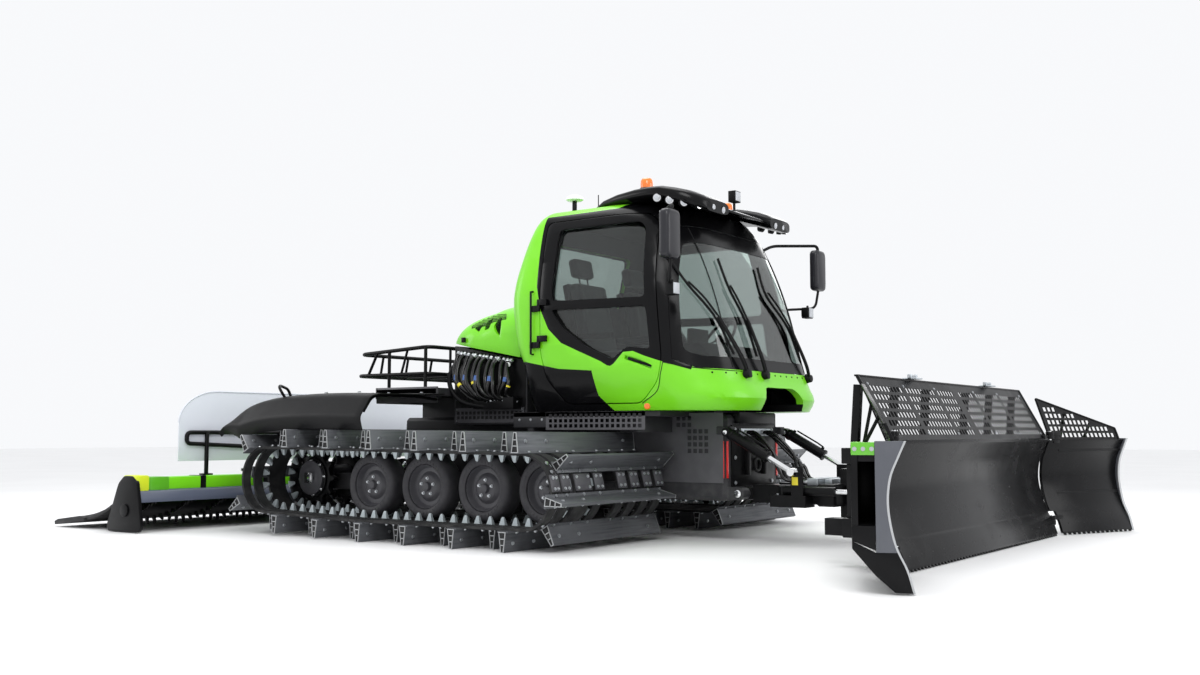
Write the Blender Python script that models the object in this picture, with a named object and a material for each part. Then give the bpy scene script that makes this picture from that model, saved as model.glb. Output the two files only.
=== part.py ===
"""Tracked snow groomer with a winged front blade and a rear tiller.

Metres, +X forward, +Y to the vehicle's left, +Z up.  The origin lies on the
ground in the middle of the vehicle's outline.
"""
import math

import bmesh
import bpy
from mathutils import Matrix, Vector

# ---------------------------------------------------------------- dimensions
GAP = 0.0003                    # between pieces that touch
MOVE_GAP = 0.012                # round pieces that move

TRACK_OUT = 2.10                # half width over the tracks
TRACK_IN = 0.50
WHEEL_X = (-0.853, -0.247, 0.359, 0.965)
WHEEL_Z = 0.43
TYRE_R = 0.26
TYRE_FACE = 1.75                # outer face of the tyres
TYRE_W = 0.20
SPROCKET_X, SPROCKET_Z = -1.855, 0.46
BELT_T = 0.02
CLEAT_H = 0.15 - GAP
CLEAT_COUNT = 30
BELTS = ((0.58, 1.20), (1.40, 2.02))

HULL_HALF = 0.44
HULL_REAR, HULL_FRONT = -1.75, 1.75
HULL_LOW, HULL_TOP = 0.32, 1.00
ENGINE_BAY = (-0.88, -0.045)
ENGINE_BAY_HALF = 0.70

DECK_REAR, DECK_FRONT, DECK_HALF = -1.565, -0.80, 1.00
DECK_LOW, DECK_TOP = 1.18, 1.25
RACK_TOP = 1.62
RACK_REAR = -1.96

CAB_LOW, CAB_TOP = 1.03, 2.71
CAB_WALL = 0.06
GLASS_T = 0.012

BLADE_HALF = 1.70
BLADE_EDGE_X = 3.70
BLADE_TOP = 0.80
GRILLE_TOP = 1.22
WING_LENGTH = 0.98
WING_ANGLE = 24.0               # forward of the blade's line
WING_PIN_X, WING_PIN_Y = 3.645, 1.715

LIFT_PIN = (1.84, 0.38)         # x, z of the push frame's pin
SWIVEL_X, FRAME_Z = 2.78, 0.38
TILT_X = 2.93
PITCH_PIN = (3.20, 0.36)

TILLER_PIN = (-1.86, 0.55)
TILLER_HALF = 2.62
BEAM_X, BEAM_Z = -2.91, 0.405
ROTOR_X, ROTOR_Z = -2.95, 0.19
ROTOR_TUBE_R, ROTOR_TOOTH_R = 0.07, 0.13
FINISHER_PIN = (-3.10, 0.28)
FINISHER_REAR = -4.1024


# ------------------------------------------------------------------- helpers
def clear_scene():
    for obj in list(bpy.data.objects):
        bpy.data.objects.remove(obj, do_unlink=True)


clear_scene()
PARTS = bpy.data.collections.new("snow_groomer")
bpy.context.scene.collection.children.link(PARTS)


def material(name, rgb, rough, metal=0.0, alpha=1.0):
    mat = bpy.data.materials.new(name)
    mat.use_nodes = True
    shader = mat.node_tree.nodes["Principled BSDF"]
    shader.inputs["Base Color"].default_value = (*rgb, 1.0)
    shader.inputs["Roughness"].default_value = rough
    shader.inputs["Metallic"].default_value = metal
    shader.inputs["Alpha"].default_value = alpha
    return mat


def obj_from(mesh_or_bm, name="piece", recalc=True):
    """Link a mesh or bmesh as a new object."""
    if isinstance(mesh_or_bm, bmesh.types.BMesh):
        mesh = bpy.data.meshes.new(name)
        if recalc:
            bmesh.ops.recalc_face_normals(mesh_or_bm, faces=mesh_or_bm.faces)
        mesh_or_bm.to_mesh(mesh)
        mesh_or_bm.free()
    else:
        mesh = mesh_or_bm
    obj = bpy.data.objects.new(name, mesh)
    PARTS.objects.link(obj)
    return obj


def evaluated_mesh(obj):
    graph = bpy.context.evaluated_depsgraph_get()
    graph.update()
    return bpy.data.meshes.new_from_object(obj.evaluated_get(graph))


def bake(obj):
    """Turn an object's modifiers or curve into world-space mesh."""
    hollow = obj.type == "MESH"
    mesh = evaluated_mesh(obj)
    mesh.transform(obj.matrix_world)
    bm = bmesh.new()
    bm.from_mesh(mesh)
    bmesh.ops.remove_doubles(bm, verts=bm.verts, dist=1e-5)
    bpy.data.objects.remove(obj, do_unlink=True)
    bpy.data.meshes.remove(mesh)
    return obj_from(bm, recalc=not hollow)


def drop(obj):
    bpy.data.objects.remove(obj, do_unlink=True)


def box(x0, x1, y0, y1, z0, z1, bevel=0.0, segments=2):
    bm = bmesh.new()
    bmesh.ops.create_cube(bm, size=1.0)
    size = Vector((x1 - x0, y1 - y0, z1 - z0))
    centre = Vector(((x0 + x1) / 2, (y0 + y1) / 2, (z0 + z1) / 2))
    for v in bm.verts:
        v.co = Vector((v.co.x * size.x, v.co.y * size.y, v.co.z * size.z)) + centre
    if bevel:
        bmesh.ops.bevel(bm, geom=list(bm.edges), offset=bevel, segments=segments,
                        affect="EDGES", profile=0.5)
    return obj_from(bm)


def rod(a, b, radius, sides=12, radius_b=None):
    """A straight round bar from a to b."""
    a, b = Vector(a), Vector(b)
    axis = b - a
    bm = bmesh.new()
    bmesh.ops.create_cone(bm, cap_ends=True, segments=sides, radius1=radius,
                          radius2=radius if radius_b is None else radius_b,
                          depth=axis.length)
    turn = axis.to_track_quat("Z", "Y").to_matrix().to_4x4()
    bmesh.ops.transform(bm, matrix=Matrix.Translation((a + b) / 2) @ turn, verts=bm.verts)
    return obj_from(bm)


def beam(a, b, width, height, roll=0.0):
    """A straight box bar from a to b, width across and height up."""
    a, b = Vector(a), Vector(b)
    axis = b - a
    bm = bmesh.new()
    bmesh.ops.create_cube(bm, size=1.0)
    across = Vector((0, 0, 1)).cross(axis)
    across = across.normalized() if across.length > 1e-6 else Vector((0, 1, 0))
    up = axis.normalized().cross(across)
    frame = Matrix((axis.normalized(), across, up)).transposed().to_4x4()
    for v in bm.verts:
        v.co = Vector((v.co.x * axis.length, v.co.y * width, v.co.z * height))
    spin = Matrix.Rotation(roll, 4, "X")
    bmesh.ops.transform(bm, matrix=Matrix.Translation((a + b) / 2) @ frame @ spin,
                        verts=bm.verts)
    return obj_from(bm)


def tube(points, radius, sides=8, cyclic=False):
    """A round bar swept through points along a polyline curve."""
    curve = bpy.data.curves.new("sweep", "CURVE")
    curve.dimensions = "3D"
    curve.bevel_depth = radius
    curve.bevel_resolution = max(0, sides // 2 - 2)
    curve.resolution_u = 1
    curve.use_fill_caps = not cyclic
    spline = curve.splines.new("POLY")
    spline.points.add(len(points) - 1)
    for slot, point in zip(spline.points, points):
        slot.co = (*point, 1.0)
    spline.use_cyclic_u = cyclic
    obj = bpy.data.objects.new("sweep", curve)
    PARTS.objects.link(obj)
    bpy.context.view_layer.update()
    return bake(obj)


def rounded(points, radius, steps=3):
    """A polyline with its inner corners rounded."""
    pts = [Vector(p) for p in points]
    out = [pts[0]]
    for before, here, after in zip(pts, pts[1:], pts[2:]):
        back, ahead = (before - here), (after - here)
        cut = min(radius, back.length * 0.45, ahead.length * 0.45)
        start, end = here + back.normalized() * cut, here + ahead.normalized() * cut
        for k in range(steps + 1):
            t = k / steps
            out.append((1 - t) ** 2 * start + 2 * t * (1 - t) * here + t * t * end)
    out.append(pts[-1])
    return out


def plate(outline, lo, hi, plane="XZ"):
    """A flat outline, thick from lo to hi across its plane."""
    curve = bpy.data.curves.new("outline", "CURVE")
    curve.dimensions = "2D"
    curve.fill_mode = "BOTH"
    curve.extrude = abs(hi - lo) / 2
    spline = curve.splines.new("POLY")
    spline.points.add(len(outline) - 1)
    for slot, (u, v) in zip(spline.points, outline):
        slot.co = (u, v, 0.0, 1.0)
    spline.use_cyclic_u = True
    obj = bpy.data.objects.new("outline", curve)
    PARTS.objects.link(obj)
    middle = (lo + hi) / 2
    if plane == "XZ":
        obj.matrix_world = Matrix(((1, 0, 0, 0), (0, 0, -1, middle), (0, 1, 0, 0), (0, 0, 0, 1)))
    elif plane == "YZ":
        obj.matrix_world = Matrix(((0, 0, 1, middle), (1, 0, 0, 0), (0, 1, 0, 0), (0, 0, 0, 1)))
    else:
        obj.matrix_world = Matrix.Translation((0, 0, middle))
    bpy.context.view_layer.update()
    return bake(obj)


def loft(rings):
    """A closed skin through rings of equal length, capped at both ends."""
    bm = bmesh.new()
    rows = [[bm.verts.new(p) for p in ring] for ring in rings]
    count = len(rows[0])
    for low, high in zip(rows, rows[1:]):
        for i in range(count):
            j = (i + 1) % count
            bm.faces.new((low[i], low[j], high[j], high[i]))
    bm.faces.new(rows[0])
    bm.faces.new(rows[-1])
    return obj_from(bm)


def revolve(profile, centre, axis="Y", steps=20):
    """Turn a closed (radius, offset) outline round an axis through centre."""
    bm = bmesh.new()
    rows = []
    for k in range(steps):
        angle = 2 * math.pi * k / steps
        rows.append([bm.verts.new((r * math.cos(angle), t, r * math.sin(angle)))
                     for r, t in profile])
    count = len(profile)
    for k in range(steps):
        here, there = rows[k], rows[(k + 1) % steps]
        for i in range(count):
            j = (i + 1) % count
            bm.faces.new((here[i], here[j], there[j], there[i]))
    bmesh.ops.remove_doubles(bm, verts=bm.verts, dist=1e-6)
    bmesh.ops.dissolve_degenerate(bm, dist=1e-6, edges=bm.edges)
    turn = Matrix.Identity(4) if axis == "Y" else Matrix.Rotation(math.radians(90), 4, "X")
    bmesh.ops.transform(bm, matrix=Matrix.Translation(centre) @ turn, verts=bm.verts)
    return obj_from(bm)


def combine(pieces):
    """Put separate solids in one mesh."""
    bm = bmesh.new()
    for piece in pieces:
        mesh = piece.data.copy()
        mesh.transform(piece.matrix_world)
        bm.from_mesh(mesh)
        drop(piece)
        bpy.data.meshes.remove(mesh)
    return obj_from(bm, recalc=False)


def boolean(target, tools, operation):
    for tool in tools:
        mod = target.modifiers.new("cut", "BOOLEAN")
        mod.operation = operation
        mod.solver = "EXACT"
        mod.object = tool
    result = bake(target)
    for tool in tools:
        drop(tool)
    return result


def fuse(pieces):
    return boolean(pieces[0], pieces[1:], "UNION") if len(pieces) > 1 else pieces[0]


def cut(target, tools):
    return boolean(target, tools, "DIFFERENCE")


def keep(target, tool):
    return boolean(target, [tool], "INTERSECT")


def mirrored(obj, name=None):
    """A copy mirrored to the vehicle's other side."""
    bm = bmesh.new()
    bm.from_mesh(obj.data)
    bmesh.ops.transform(bm, matrix=Matrix.Translation(obj.location), verts=bm.verts)
    bmesh.ops.scale(bm, vec=(1, -1, 1), verts=bm.verts)
    bmesh.ops.reverse_faces(bm, faces=bm.faces)
    return obj_from(bm, recalc=False)


def turned(obj, degrees, axis, point):
    spin = Matrix.Rotation(math.radians(degrees), 4, axis)
    about = Matrix.Translation(point) @ spin @ Matrix.Translation(-Vector(point))
    obj.data.transform(about)
    return obj


def finish(obj, name, mat, origin=(0, 0, 0), parent=None):
    """Name a piece, dress it and put its origin on its joint."""
    bm = bmesh.new()
    bm.from_mesh(obj.data)
    bmesh.ops.remove_doubles(bm, verts=bm.verts, dist=2e-5)
    bmesh.ops.dissolve_degenerate(bm, dist=2e-5, edges=bm.edges)
    bmesh.ops.dissolve_limit(bm, angle_limit=math.radians(0.3), verts=bm.verts, edges=bm.edges)
    bmesh.ops.triangulate(bm, faces=bm.faces)
    bmesh.ops.transform(bm, matrix=Matrix.Translation(-Vector(origin)), verts=bm.verts)
    bm.to_mesh(obj.data)
    bm.free()
    obj.name = obj.data.name = name
    obj.data.materials.clear()
    obj.data.materials.append(mat)
    obj.location = origin
    if parent is not None:
        bpy.context.view_layer.update()
        obj.parent = parent
        obj.matrix_parent_inverse = parent.matrix_world.inverted()
    return obj


def smooth_value(table, z):
    """Read a (z, value) table with straight lines between its rows."""
    if z <= table[0][0]:
        return table[0][1]
    for (z0, a), (z1, b) in zip(table, table[1:]):
        if z <= z1:
            return a + (b - a) * (z - z0) / (z1 - z0)
    return table[-1][1]


# ----------------------------------------------------------------- materials
GREEN = material("lime_paint", (0.25, 0.72, 0.03), 0.3)
BLACK = material("black_paint", (0.012, 0.012, 0.013), 0.45)
HULL_GREY = material("hull_grey", (0.05, 0.052, 0.056), 0.5)
RUBBER = material("track_rubber", (0.02, 0.02, 0.02), 0.8)
TYRE = material("tyre_rubber", (0.035, 0.036, 0.04), 0.75)
STEEL = material("rod_steel", (0.6, 0.61, 0.62), 0.2, 1.0)
PLASTIC = material("black_plastic", (0.015, 0.015, 0.016), 0.5)
CLOTH = material("seat_cloth", (0.03, 0.03, 0.033), 0.9)
GLASS = material("tinted_glass", (0.05, 0.06, 0.06), 0.05, 0.0, 0.35)
CLEAR = material("milky_sheet", (0.8, 0.83, 0.9), 0.25, 0.0, 0.6)
CAST = material("engine_iron", (0.12, 0.12, 0.12), 0.6, 0.6)
HOSE = material("hose_rubber", (0.01, 0.01, 0.01), 0.3)


# --------------------------------------------------------------- running gear
def loop_path(radius, arc_steps=8):
    """Closed belt line at a radius round the sprocket and the wheels."""
    circles = [(SPROCKET_X, SPROCKET_Z), (WHEEL_X[0], WHEEL_Z), (WHEEL_X[-1], WHEEL_Z)]
    points = []
    count = len(circles)
    for i in range(count):
        before, here, after = circles[i - 1], circles[i], circles[(i + 1) % count]
        lead = math.atan2(here[1] - before[1], here[0] - before[0]) - math.pi / 2
        tail = math.atan2(after[1] - here[1], after[0] - here[0]) - math.pi / 2
        while tail < lead:
            tail += 2 * math.pi
        steps = max(1, round(arc_steps * (tail - lead) / math.pi))
        step = (tail - lead) / steps
        reach = radius / math.cos(step / 2)
        for k in range(steps):
            angle = lead + step * (k + 0.5)
            points.append((here[0] + reach * math.cos(angle), here[1] + reach * math.sin(angle)))
    return points


def along(path, distance):
    """Point and outward normal at a distance along a closed path."""
    total = 0.0
    for a, b in zip(path, path[1:] + path[:1]):
        a, b = Vector(a), Vector(b)
        step = (b - a).length
        if step > 1e-9 and distance <= total + step:
            t = (distance - total) / step
            direction = (b - a) / step
            return a + (b - a) * t, Vector((direction.y, -direction.x))
        total += step
    return Vector(path[0]), Vector((0, -1))


def path_length(path):
    return sum((Vector(b) - Vector(a)).length for a, b in zip(path, path[1:] + path[:1]))


def build_track(side):
    inner_r = TYRE_R + GAP
    outer = loop_path(inner_r + BELT_T, 10)
    inner = loop_path(inner_r, 10)
    rails = []
    for near, far in BELTS:
        band = plate(outer, near, far)
        hole = plate(inner, near - 0.05, far + 0.05)
        rails.append(cut(band, [hole]))
    belts = combine(rails)
    mid = loop_path(inner_r + BELT_T, 24)
    total = path_length(mid)
    cleats = []
    for k in range(CLEAT_COUNT):
        spot, normal = along(mid, total * (k + 0.5) / CLEAT_COUNT)
        foot = spot - normal * 0.006
        tip = spot + normal * CLEAT_H
        cross = Vector((normal.y, -normal.x))
        shape = [foot - cross * 0.035, foot + cross * 0.035, tip + cross * 0.012, tip - cross * 0.012]
        short = k % 2
        far = TRACK_OUT - (0.18 if short else 0.0)
        near = TRACK_IN + (0.0 if short else 0.10)
        cleats.append(plate([tuple(p) for p in shape], near, far))
    bars = combine(cleats)
    track = boolean(belts, [bars], "UNION")
    if side < 0:
        flipped = mirrored(track)
        drop(track)
        track = flipped
    return track


def wheel(x, side):
    face = TYRE_FACE
    profile = [(0.03, face - 0.16), (0.03, face - 0.07), (0.095, face - 0.08), (0.17, face - 0.12),
               (0.195, face - 0.015), (0.235, face), (TYRE_R, face - 0.03),
               (TYRE_R, face - TYRE_W + 0.03), (0.235, face - TYRE_W)]
    profile = [(r, side * t) for r, t in profile]
    return revolve(profile, (x, 0, WHEEL_Z), steps=16)


def build_running_gear(side):
    def y(v):
        return side * v
    pieces = [box(SPROCKET_X, WHEEL_X[-1] + 0.08, *sorted((y(1.20), y(1.32))), WHEEL_Z - 0.07,
                  WHEEL_Z + 0.07, 0.015, 1)]
    for x in WHEEL_X:
        pieces.append(rod((x, y(HULL_HALF + GAP), WHEEL_Z), (x, y(TYRE_FACE - 0.10), WHEEL_Z), 0.045, 10))
        pieces.append(wheel(x, side))
    pieces.append(rod((SPROCKET_X, y(HULL_HALF + GAP), SPROCKET_Z), (SPROCKET_X, y(1.44), SPROCKET_Z), 0.115, 16))
    teeth = []
    count = 11
    for k in range(count * 4):
        angle = 2 * math.pi * k / (count * 4)
        r = TYRE_R - 0.005 if k % 4 in (0, 1) else TYRE_R - 0.055
        teeth.append((SPROCKET_X + r * math.cos(angle), SPROCKET_Z + r * math.sin(angle)))
    for y0 in (1.01, 1.53 - 0.12):
        pieces.append(plate(teeth, y(y0), y(y0 + 0.05)))
    return fuse(pieces)


# ---------------------------------------------------------------------- hull
def build_hull():
    body = fuse([
        box(HULL_REAR, HULL_FRONT, -HULL_HALF, HULL_HALF, HULL_LOW, HULL_TOP, 0.03, 1),
        plate(((ENGINE_BAY[0], 0.93), (ENGINE_BAY[1], 0.93), (ENGINE_BAY[1], hood_low(ENGINE_BAY[1]) - 0.02),
               (ENGINE_BAY[0], hood_low(ENGINE_BAY[0]) - 0.02)), -ENGINE_BAY_HALF, ENGINE_BAY_HALF),
        box(-1.55, -0.80, -0.41, 0.41, 0.90, DECK_LOW - GAP),
        box(0.15, 1.60, -0.36, 0.36, 0.90, CAB_LOW - GAP),
    ])
    cavity = box(ENGINE_BAY[0] + 0.05, ENGINE_BAY[1] - 0.05, -0.39, 0.39, 0.38, 1.80)
    upper = box(ENGINE_BAY[0] + 0.05, ENGINE_BAY[1] - 0.05, -ENGINE_BAY_HALF + 0.05,
                ENGINE_BAY_HALF - 0.05, 0.99, 1.80)
    body = cut(body, [fuse([cavity, upper])])
    ears = []
    for s in (-1, 1):
        ears.append(rod((LIFT_PIN[0], s * 0.29, LIFT_PIN[1]), (LIFT_PIN[0], s * 0.41, LIFT_PIN[1]), 0.05))
        ears.append(box(HULL_FRONT - 0.05, LIFT_PIN[0], *sorted((s * 0.29, s * 0.41)),
                        LIFT_PIN[1] - 0.05, LIFT_PIN[1] + 0.05))
        ears.append(box(1.68, 1.806, *sorted((s * 0.40, s * 0.4657)), 0.842, 0.905))
        pin_x, pin_z = TILLER_PIN
        ears.append(rod((pin_x, s * 0.12, pin_z), (pin_x, s * (0.215 - GAP), pin_z), 0.055))
        ears.append(box(pin_x, HULL_REAR + 0.05, *sorted((s * 0.12, s * (0.215 - GAP))), pin_z - 0.05,
                        pin_z + 0.05))
    for s in (-1, 1):
        ears.append(box(-1.84, HULL_REAR + 0.03, *sorted((s * 0.05, s * 0.072)), 0.88, 0.98))
    return fuse([body] + ears)



# ----------------------------------------------------------------------- cab
CAB_REAR = ((1.03, 0.16), (1.40, 0.10), (1.60, 0.02), (1.96, -0.024), (2.10, -0.01),
            (2.30, 0.034), (2.53, 0.104), (2.71, 0.18))
CAB_FRONT = ((1.03, 2.02), (1.12, 2.05), (1.26, 1.98), (1.90, 1.80), (2.51, 1.57), (2.71, 1.44))
CAB_HALF = ((1.03, 0.92), (1.12, 0.96), (1.35, 1.00), (1.95, 1.00), (2.35, 0.945), (2.60, 0.88),
            (2.71, 0.80))
CAB_LEVELS = (1.03, 1.08, 1.16, 1.28, 1.40, 1.60, 1.96, 2.15, 2.35, 2.53, 2.64, 2.69, 2.71)
DOOR_OUTLINE = ((0.33, 2.60), (1.29, 2.60), (1.375, 2.50), (1.50, 1.42), (1.47, 1.26), (1.35, 1.14),
                (1.28, 1.09), (0.58, 1.09), (0.40, 1.30), (0.335, 1.52), (0.33, 1.90))
DOOR_UPPER_LIGHT = ((0.46, 2.53), (1.24, 2.53), (1.29, 2.47), (1.355, 1.91), (0.44, 1.93))
DOOR_LOWER_LIGHT = ((0.44, 1.86), (1.362, 1.84), (1.405, 1.50), (1.19, 1.53), (1.05, 1.43),
                    (0.80, 1.54), (0.56, 1.70))
SHIELD_OUTLINE = ((1.462, 2.50), (2.40, 2.50), (2.40, 1.32), (1.75, 1.35), (1.582, 1.42))
HINGE_X, HINGE_Y = 0.325, 1.016
HINGE_LEVELS = (1.60, 1.90)


def cab_ring(z, inset=0.0):
    """Plan outline of the cab at a height, drawn in by an inset."""
    rear = smooth_value(CAB_REAR, z) + inset
    front = smooth_value(CAB_FRONT, z) - inset
    half = smooth_value(CAB_HALF, z) - inset
    long_r, wide_r, back_r = 0.52 - inset * 0.6, 0.55 - inset * 0.6, 0.14 - inset * 0.6
    ring = [(rear, -(half - back_r))]
    for k in range(1, 4):
        angle = math.pi / 2 * k / 3
        ring.append((rear + back_r * (1 - math.cos(angle)), -(half - back_r) - back_r * math.sin(angle)))
    ring.append(((rear + front) / 2, -half))
    for k in range(0, 8):
        angle = math.pi / 2 * k / 7
        ring.append((front - long_r + long_r * math.sin(angle), -(half - wide_r) - wide_r * math.cos(angle)))
    left = [(x, -y) for x, y in reversed(ring)]
    return [Vector((x, y, z)) for x, y in ring + left]


def cab_solid(inset=0.0, low=None, high=None):
    """The cab's outside, or its inside when inset."""
    low = CAB_LOW if low is None else low
    high = CAB_TOP if high is None else high
    levels = [low] + [z for z in CAB_LEVELS if low + 0.01 < z < high - 0.01] + [high]
    rings = []
    for z in levels:
        shrink = inset
        if high > CAB_TOP - 0.03 and z > CAB_TOP - 0.001:
            shrink = inset + 0.045
        elif high > CAB_TOP - 0.03 and z > CAB_TOP - 0.025:
            shrink = inset + 0.012
        rings.append(cab_ring(z, shrink))
    return loft(rings)


def cab_skin(outer, inner):
    """A skin between two insets, open at floor and roof."""
    shell = cab_solid(outer, CAB_LOW + 0.02, CAB_TOP - 0.05)
    return cut(shell, [cab_solid(inner, CAB_LOW - 0.1, CAB_TOP + 0.02)])


def grown(outline, amount):
    """An outline moved out by an amount on every side."""
    pts = [Vector(p) for p in outline]
    area = sum(a.x * b.y - b.x * a.y for a, b in zip(pts, pts[1:] + pts[:1]))
    turn = 1 if area > 0 else -1
    out = []
    for before, here, after in zip(pts[-1:] + pts[:-1], pts, pts[1:] + pts[:1]):
        d0, d1 = (here - before).normalized(), (after - here).normalized()
        n0 = Vector((d0.y, -d0.x)) * turn
        n1 = Vector((d1.y, -d1.x)) * turn
        mid = (n0 + n1).normalized()
        out.append(tuple(here + mid * (amount / max(0.35, mid.dot(n0)))))
    return out


def side_prism(outline, side, inner=0.55, outer=1.2):
    return plate(outline, *sorted((side * inner, side * outer)))


def build_cab():
    shell = cut(cab_solid(), [cab_solid(CAB_WALL, CAB_LOW + 0.06, CAB_TOP - 0.05)])
    tools = [side_prism(grown(DOOR_OUTLINE, MOVE_GAP), s) for s in (-1, 1)]
    tools.append(plate(SHIELD_OUTLINE, -1.3, 1.3))
    tools.append(box(-0.4, 0.22, -0.62, 0.62, 2.02, 2.48))
    tools.append(plate(((1.50, 0.98), (1.62, 1.13), (2.3, 1.16), (2.3, 0.98)), -0.22, 0.22))
    shell = cut(shell, tools)
    fittings = []
    for s in (-1, 1):
        for z in HINGE_LEVELS:
            fittings += hinge_leaf(s, z - 0.05, z - GAP, -1)
        fittings.append(box(-0.072, 0.02, *sorted((s * 0.30, s * (0.35 - GAP))), 1.985, 2.015))
    return fuse([shell] + fittings)


def hinge_leaf(side, z0, z1, way):
    """Half a door hinge; way is +1 on the door and -1 on the cab."""
    y = side * HINGE_Y
    reach = HINGE_X + way * 0.085
    return [rod((HINGE_X, y, z0), (HINGE_X, y, z1), 0.014, 10),
            box(*sorted((HINGE_X, reach)), *sorted((side * 1.007, side * 1.026)), z0, z1),
            box(*sorted((HINGE_X + way * 0.022, reach)), *sorted((side * 0.975, side * 1.02)), z0, z1)]


def build_door(side):
    panel = keep(cab_skin(0.0, CAB_WALL), side_prism(DOOR_OUTLINE, side))
    lights = [side_prism(o, side) for o in (DOOR_UPPER_LIGHT, DOOR_LOWER_LIGHT)]
    door = cut(panel, lights)
    leaves = []
    for z in HINGE_LEVELS:
        leaves += hinge_leaf(side, z, z + 0.05, 1)
    return fuse([door] + leaves)


def build_door_glass(side):
    around = ((0.42, 2.56), (1.26, 2.56), (1.32, 2.49), (1.44, 1.47), (1.19, 1.50), (1.05, 1.40),
              (0.78, 1.51), (0.52, 1.68), (0.41, 1.87))
    return keep(cab_skin(CAB_WALL + GAP, CAB_WALL + GAP + GLASS_T), side_prism(around, side, 0.5))


def build_windshield():
    return keep(cab_skin(0.0, 0.02), plate(grown(SHIELD_OUTLINE, -GAP), -1.29, 1.29))


def build_rear_window():
    return keep(cab_skin(0.01, 0.03), box(-0.39, 0.21, -0.62 + GAP, 0.62 - GAP, 2.02 + GAP, 2.48 - GAP))


def build_roof_visor():
    pieces = []
    for s in (-1, 1):
        pod = loft([
            [Vector((x, s * y, z)) for y, z in ((a, low), (b, low), (b + 0.01, (low + high) / 2),
                                                (b - 0.03, high), (a, high))]
            for x, a, b, low, high in ((0.62, 0.48, 0.66, CAB_TOP + GAP, CAB_TOP + 0.03),
                                       (0.95, 0.40, 0.80, CAB_TOP + GAP, 2.80),
                                       (1.30, 0.36, 0.88, CAB_TOP + GAP, 2.815),
                                       (1.46, 0.34, 0.90, CAB_TOP + GAP, 2.80))])
        nose = loft([
            [Vector((x, s * y, z)) for y, z in ((a, low), (b, low), (b + 0.01, (low + high) / 2),
                                                (b - 0.03, high), (a, high))]
            for x, a, b, low, high in ((1.44, 0.34, 0.90, CAB_TOP + GAP, 2.80),
                                       (1.62, 0.34, 0.86, 2.62, 2.755),
                                       (1.76, 0.36, 0.70, 2.58, 2.69))])
        pieces += [pod, nose]
        pieces.append(rod((1.16, s * 0.66, 2.78), (1.16, s * 0.66, 2.835), 0.062, 14))
        pieces.append(rod((1.16, s * 0.66, 2.83), (1.16, s * 0.66, 2.92), 0.052, 14, 0.044))
    pieces.append(box(1.36, 1.50, -0.45, 0.45, CAB_TOP + GAP, CAB_TOP + 0.05))
    pieces.append(box(1.48, 1.72, -0.45, 0.45, 2.655, 2.70))
    pieces.append(box(1.20, 1.40, -0.45, 0.45, CAB_TOP + GAP, CAB_TOP + 0.035))
    pieces.append(box(0.30, 0.70, -0.62, -0.54, CAB_TOP + GAP, CAB_TOP + 0.014))
    pieces.append(rod((0.37, -0.58, CAB_TOP + 0.01), (0.37, -0.58, 2.84), 0.02, 10))
    pieces.append(rod((0.37, -0.58, 2.83), (0.37, -0.58, 2.885), 0.075, 14, 0.045))
    pieces.append(rod((0.62, -0.58, CAB_TOP + 0.005), (0.62, -0.58, 2.86), 0.007, 6))
    pieces.append(rod((1.60, 0.0, 2.69), (1.60, 0.0, 2.79), 0.014, 8))
    pieces.append(box(1.56, 1.65, -0.05, 0.05, 2.77, 2.87, 0.01, 1))
    return fuse(pieces)


def seat_pieces(y):
    tilt = Vector((-0.14, 0, 0.62))
    base = Vector((0.50, y, 1.50))
    pieces = [box(0.42, 0.92, y - 0.25, y + 0.25, 1.40, 1.52, 0.03, 1),
              beam(base, base + tilt, 0.46, 0.12),
              beam(base + tilt * 0.94, base + tilt * 1.16, 0.10, 0.04),
              beam(base + tilt * 1.10, base + tilt * 1.36, 0.27, 0.09),
              box(0.50, 0.84, y - 0.17, y + 0.17, 1.10, 1.42),
              box(0.52, 0.86, y - 0.33, y - 0.24, 1.62, 1.68, 0.012, 1),
              box(0.52, 0.86, y + 0.24, y + 0.33, 1.62, 1.68, 0.012, 1),
              box(0.47, 0.54, y - 0.31, y + 0.31, 1.60, 1.66)]
    return pieces


def build_seats():
    pieces = [box(0.38, 0.95, -0.72, 0.72, CAB_LOW + 0.06 + GAP, 1.12)]
    return fuse(pieces + seat_pieces(-0.42) + seat_pieces(0.38))


def build_console():
    dash = plate(((1.36, 1.0903), (1.48, 1.42), (1.40, 1.50), (1.55, 1.58), (1.70, 1.42), (1.66, 1.0903)),
                 -0.52, 0.52)
    pieces = [dash, beam((1.47, 0.38, 1.476), (1.215, 0.38, 1.682), 0.062, 0.058)]
    centre, normal = Vector((1.23, 0.38, 1.67)), Vector((-0.78, 0, 0.62)).normalized()
    across = Vector((0, 1, 0))
    up = normal.cross(across)
    rim = [centre + (across * math.cos(a) + up * math.sin(a)) * 0.19
           for a in [2 * math.pi * k / 16 for k in range(16)]]
    pieces.append(tube(rim, 0.014, 6, True))
    for a in (0.52, 2.62, 4.70):
        pieces.append(rod(centre, centre + (across * math.cos(a) + up * math.sin(a)) * 0.19, 0.011, 6))
    pieces.append(box(1.38, 1.44, -0.42, -0.16, 1.50, 1.70, 0.01, 1))
    pieces.append(box(1.38, 1.52, -0.32, -0.26, 1.44, 1.54))
    return fuse(pieces)


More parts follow.
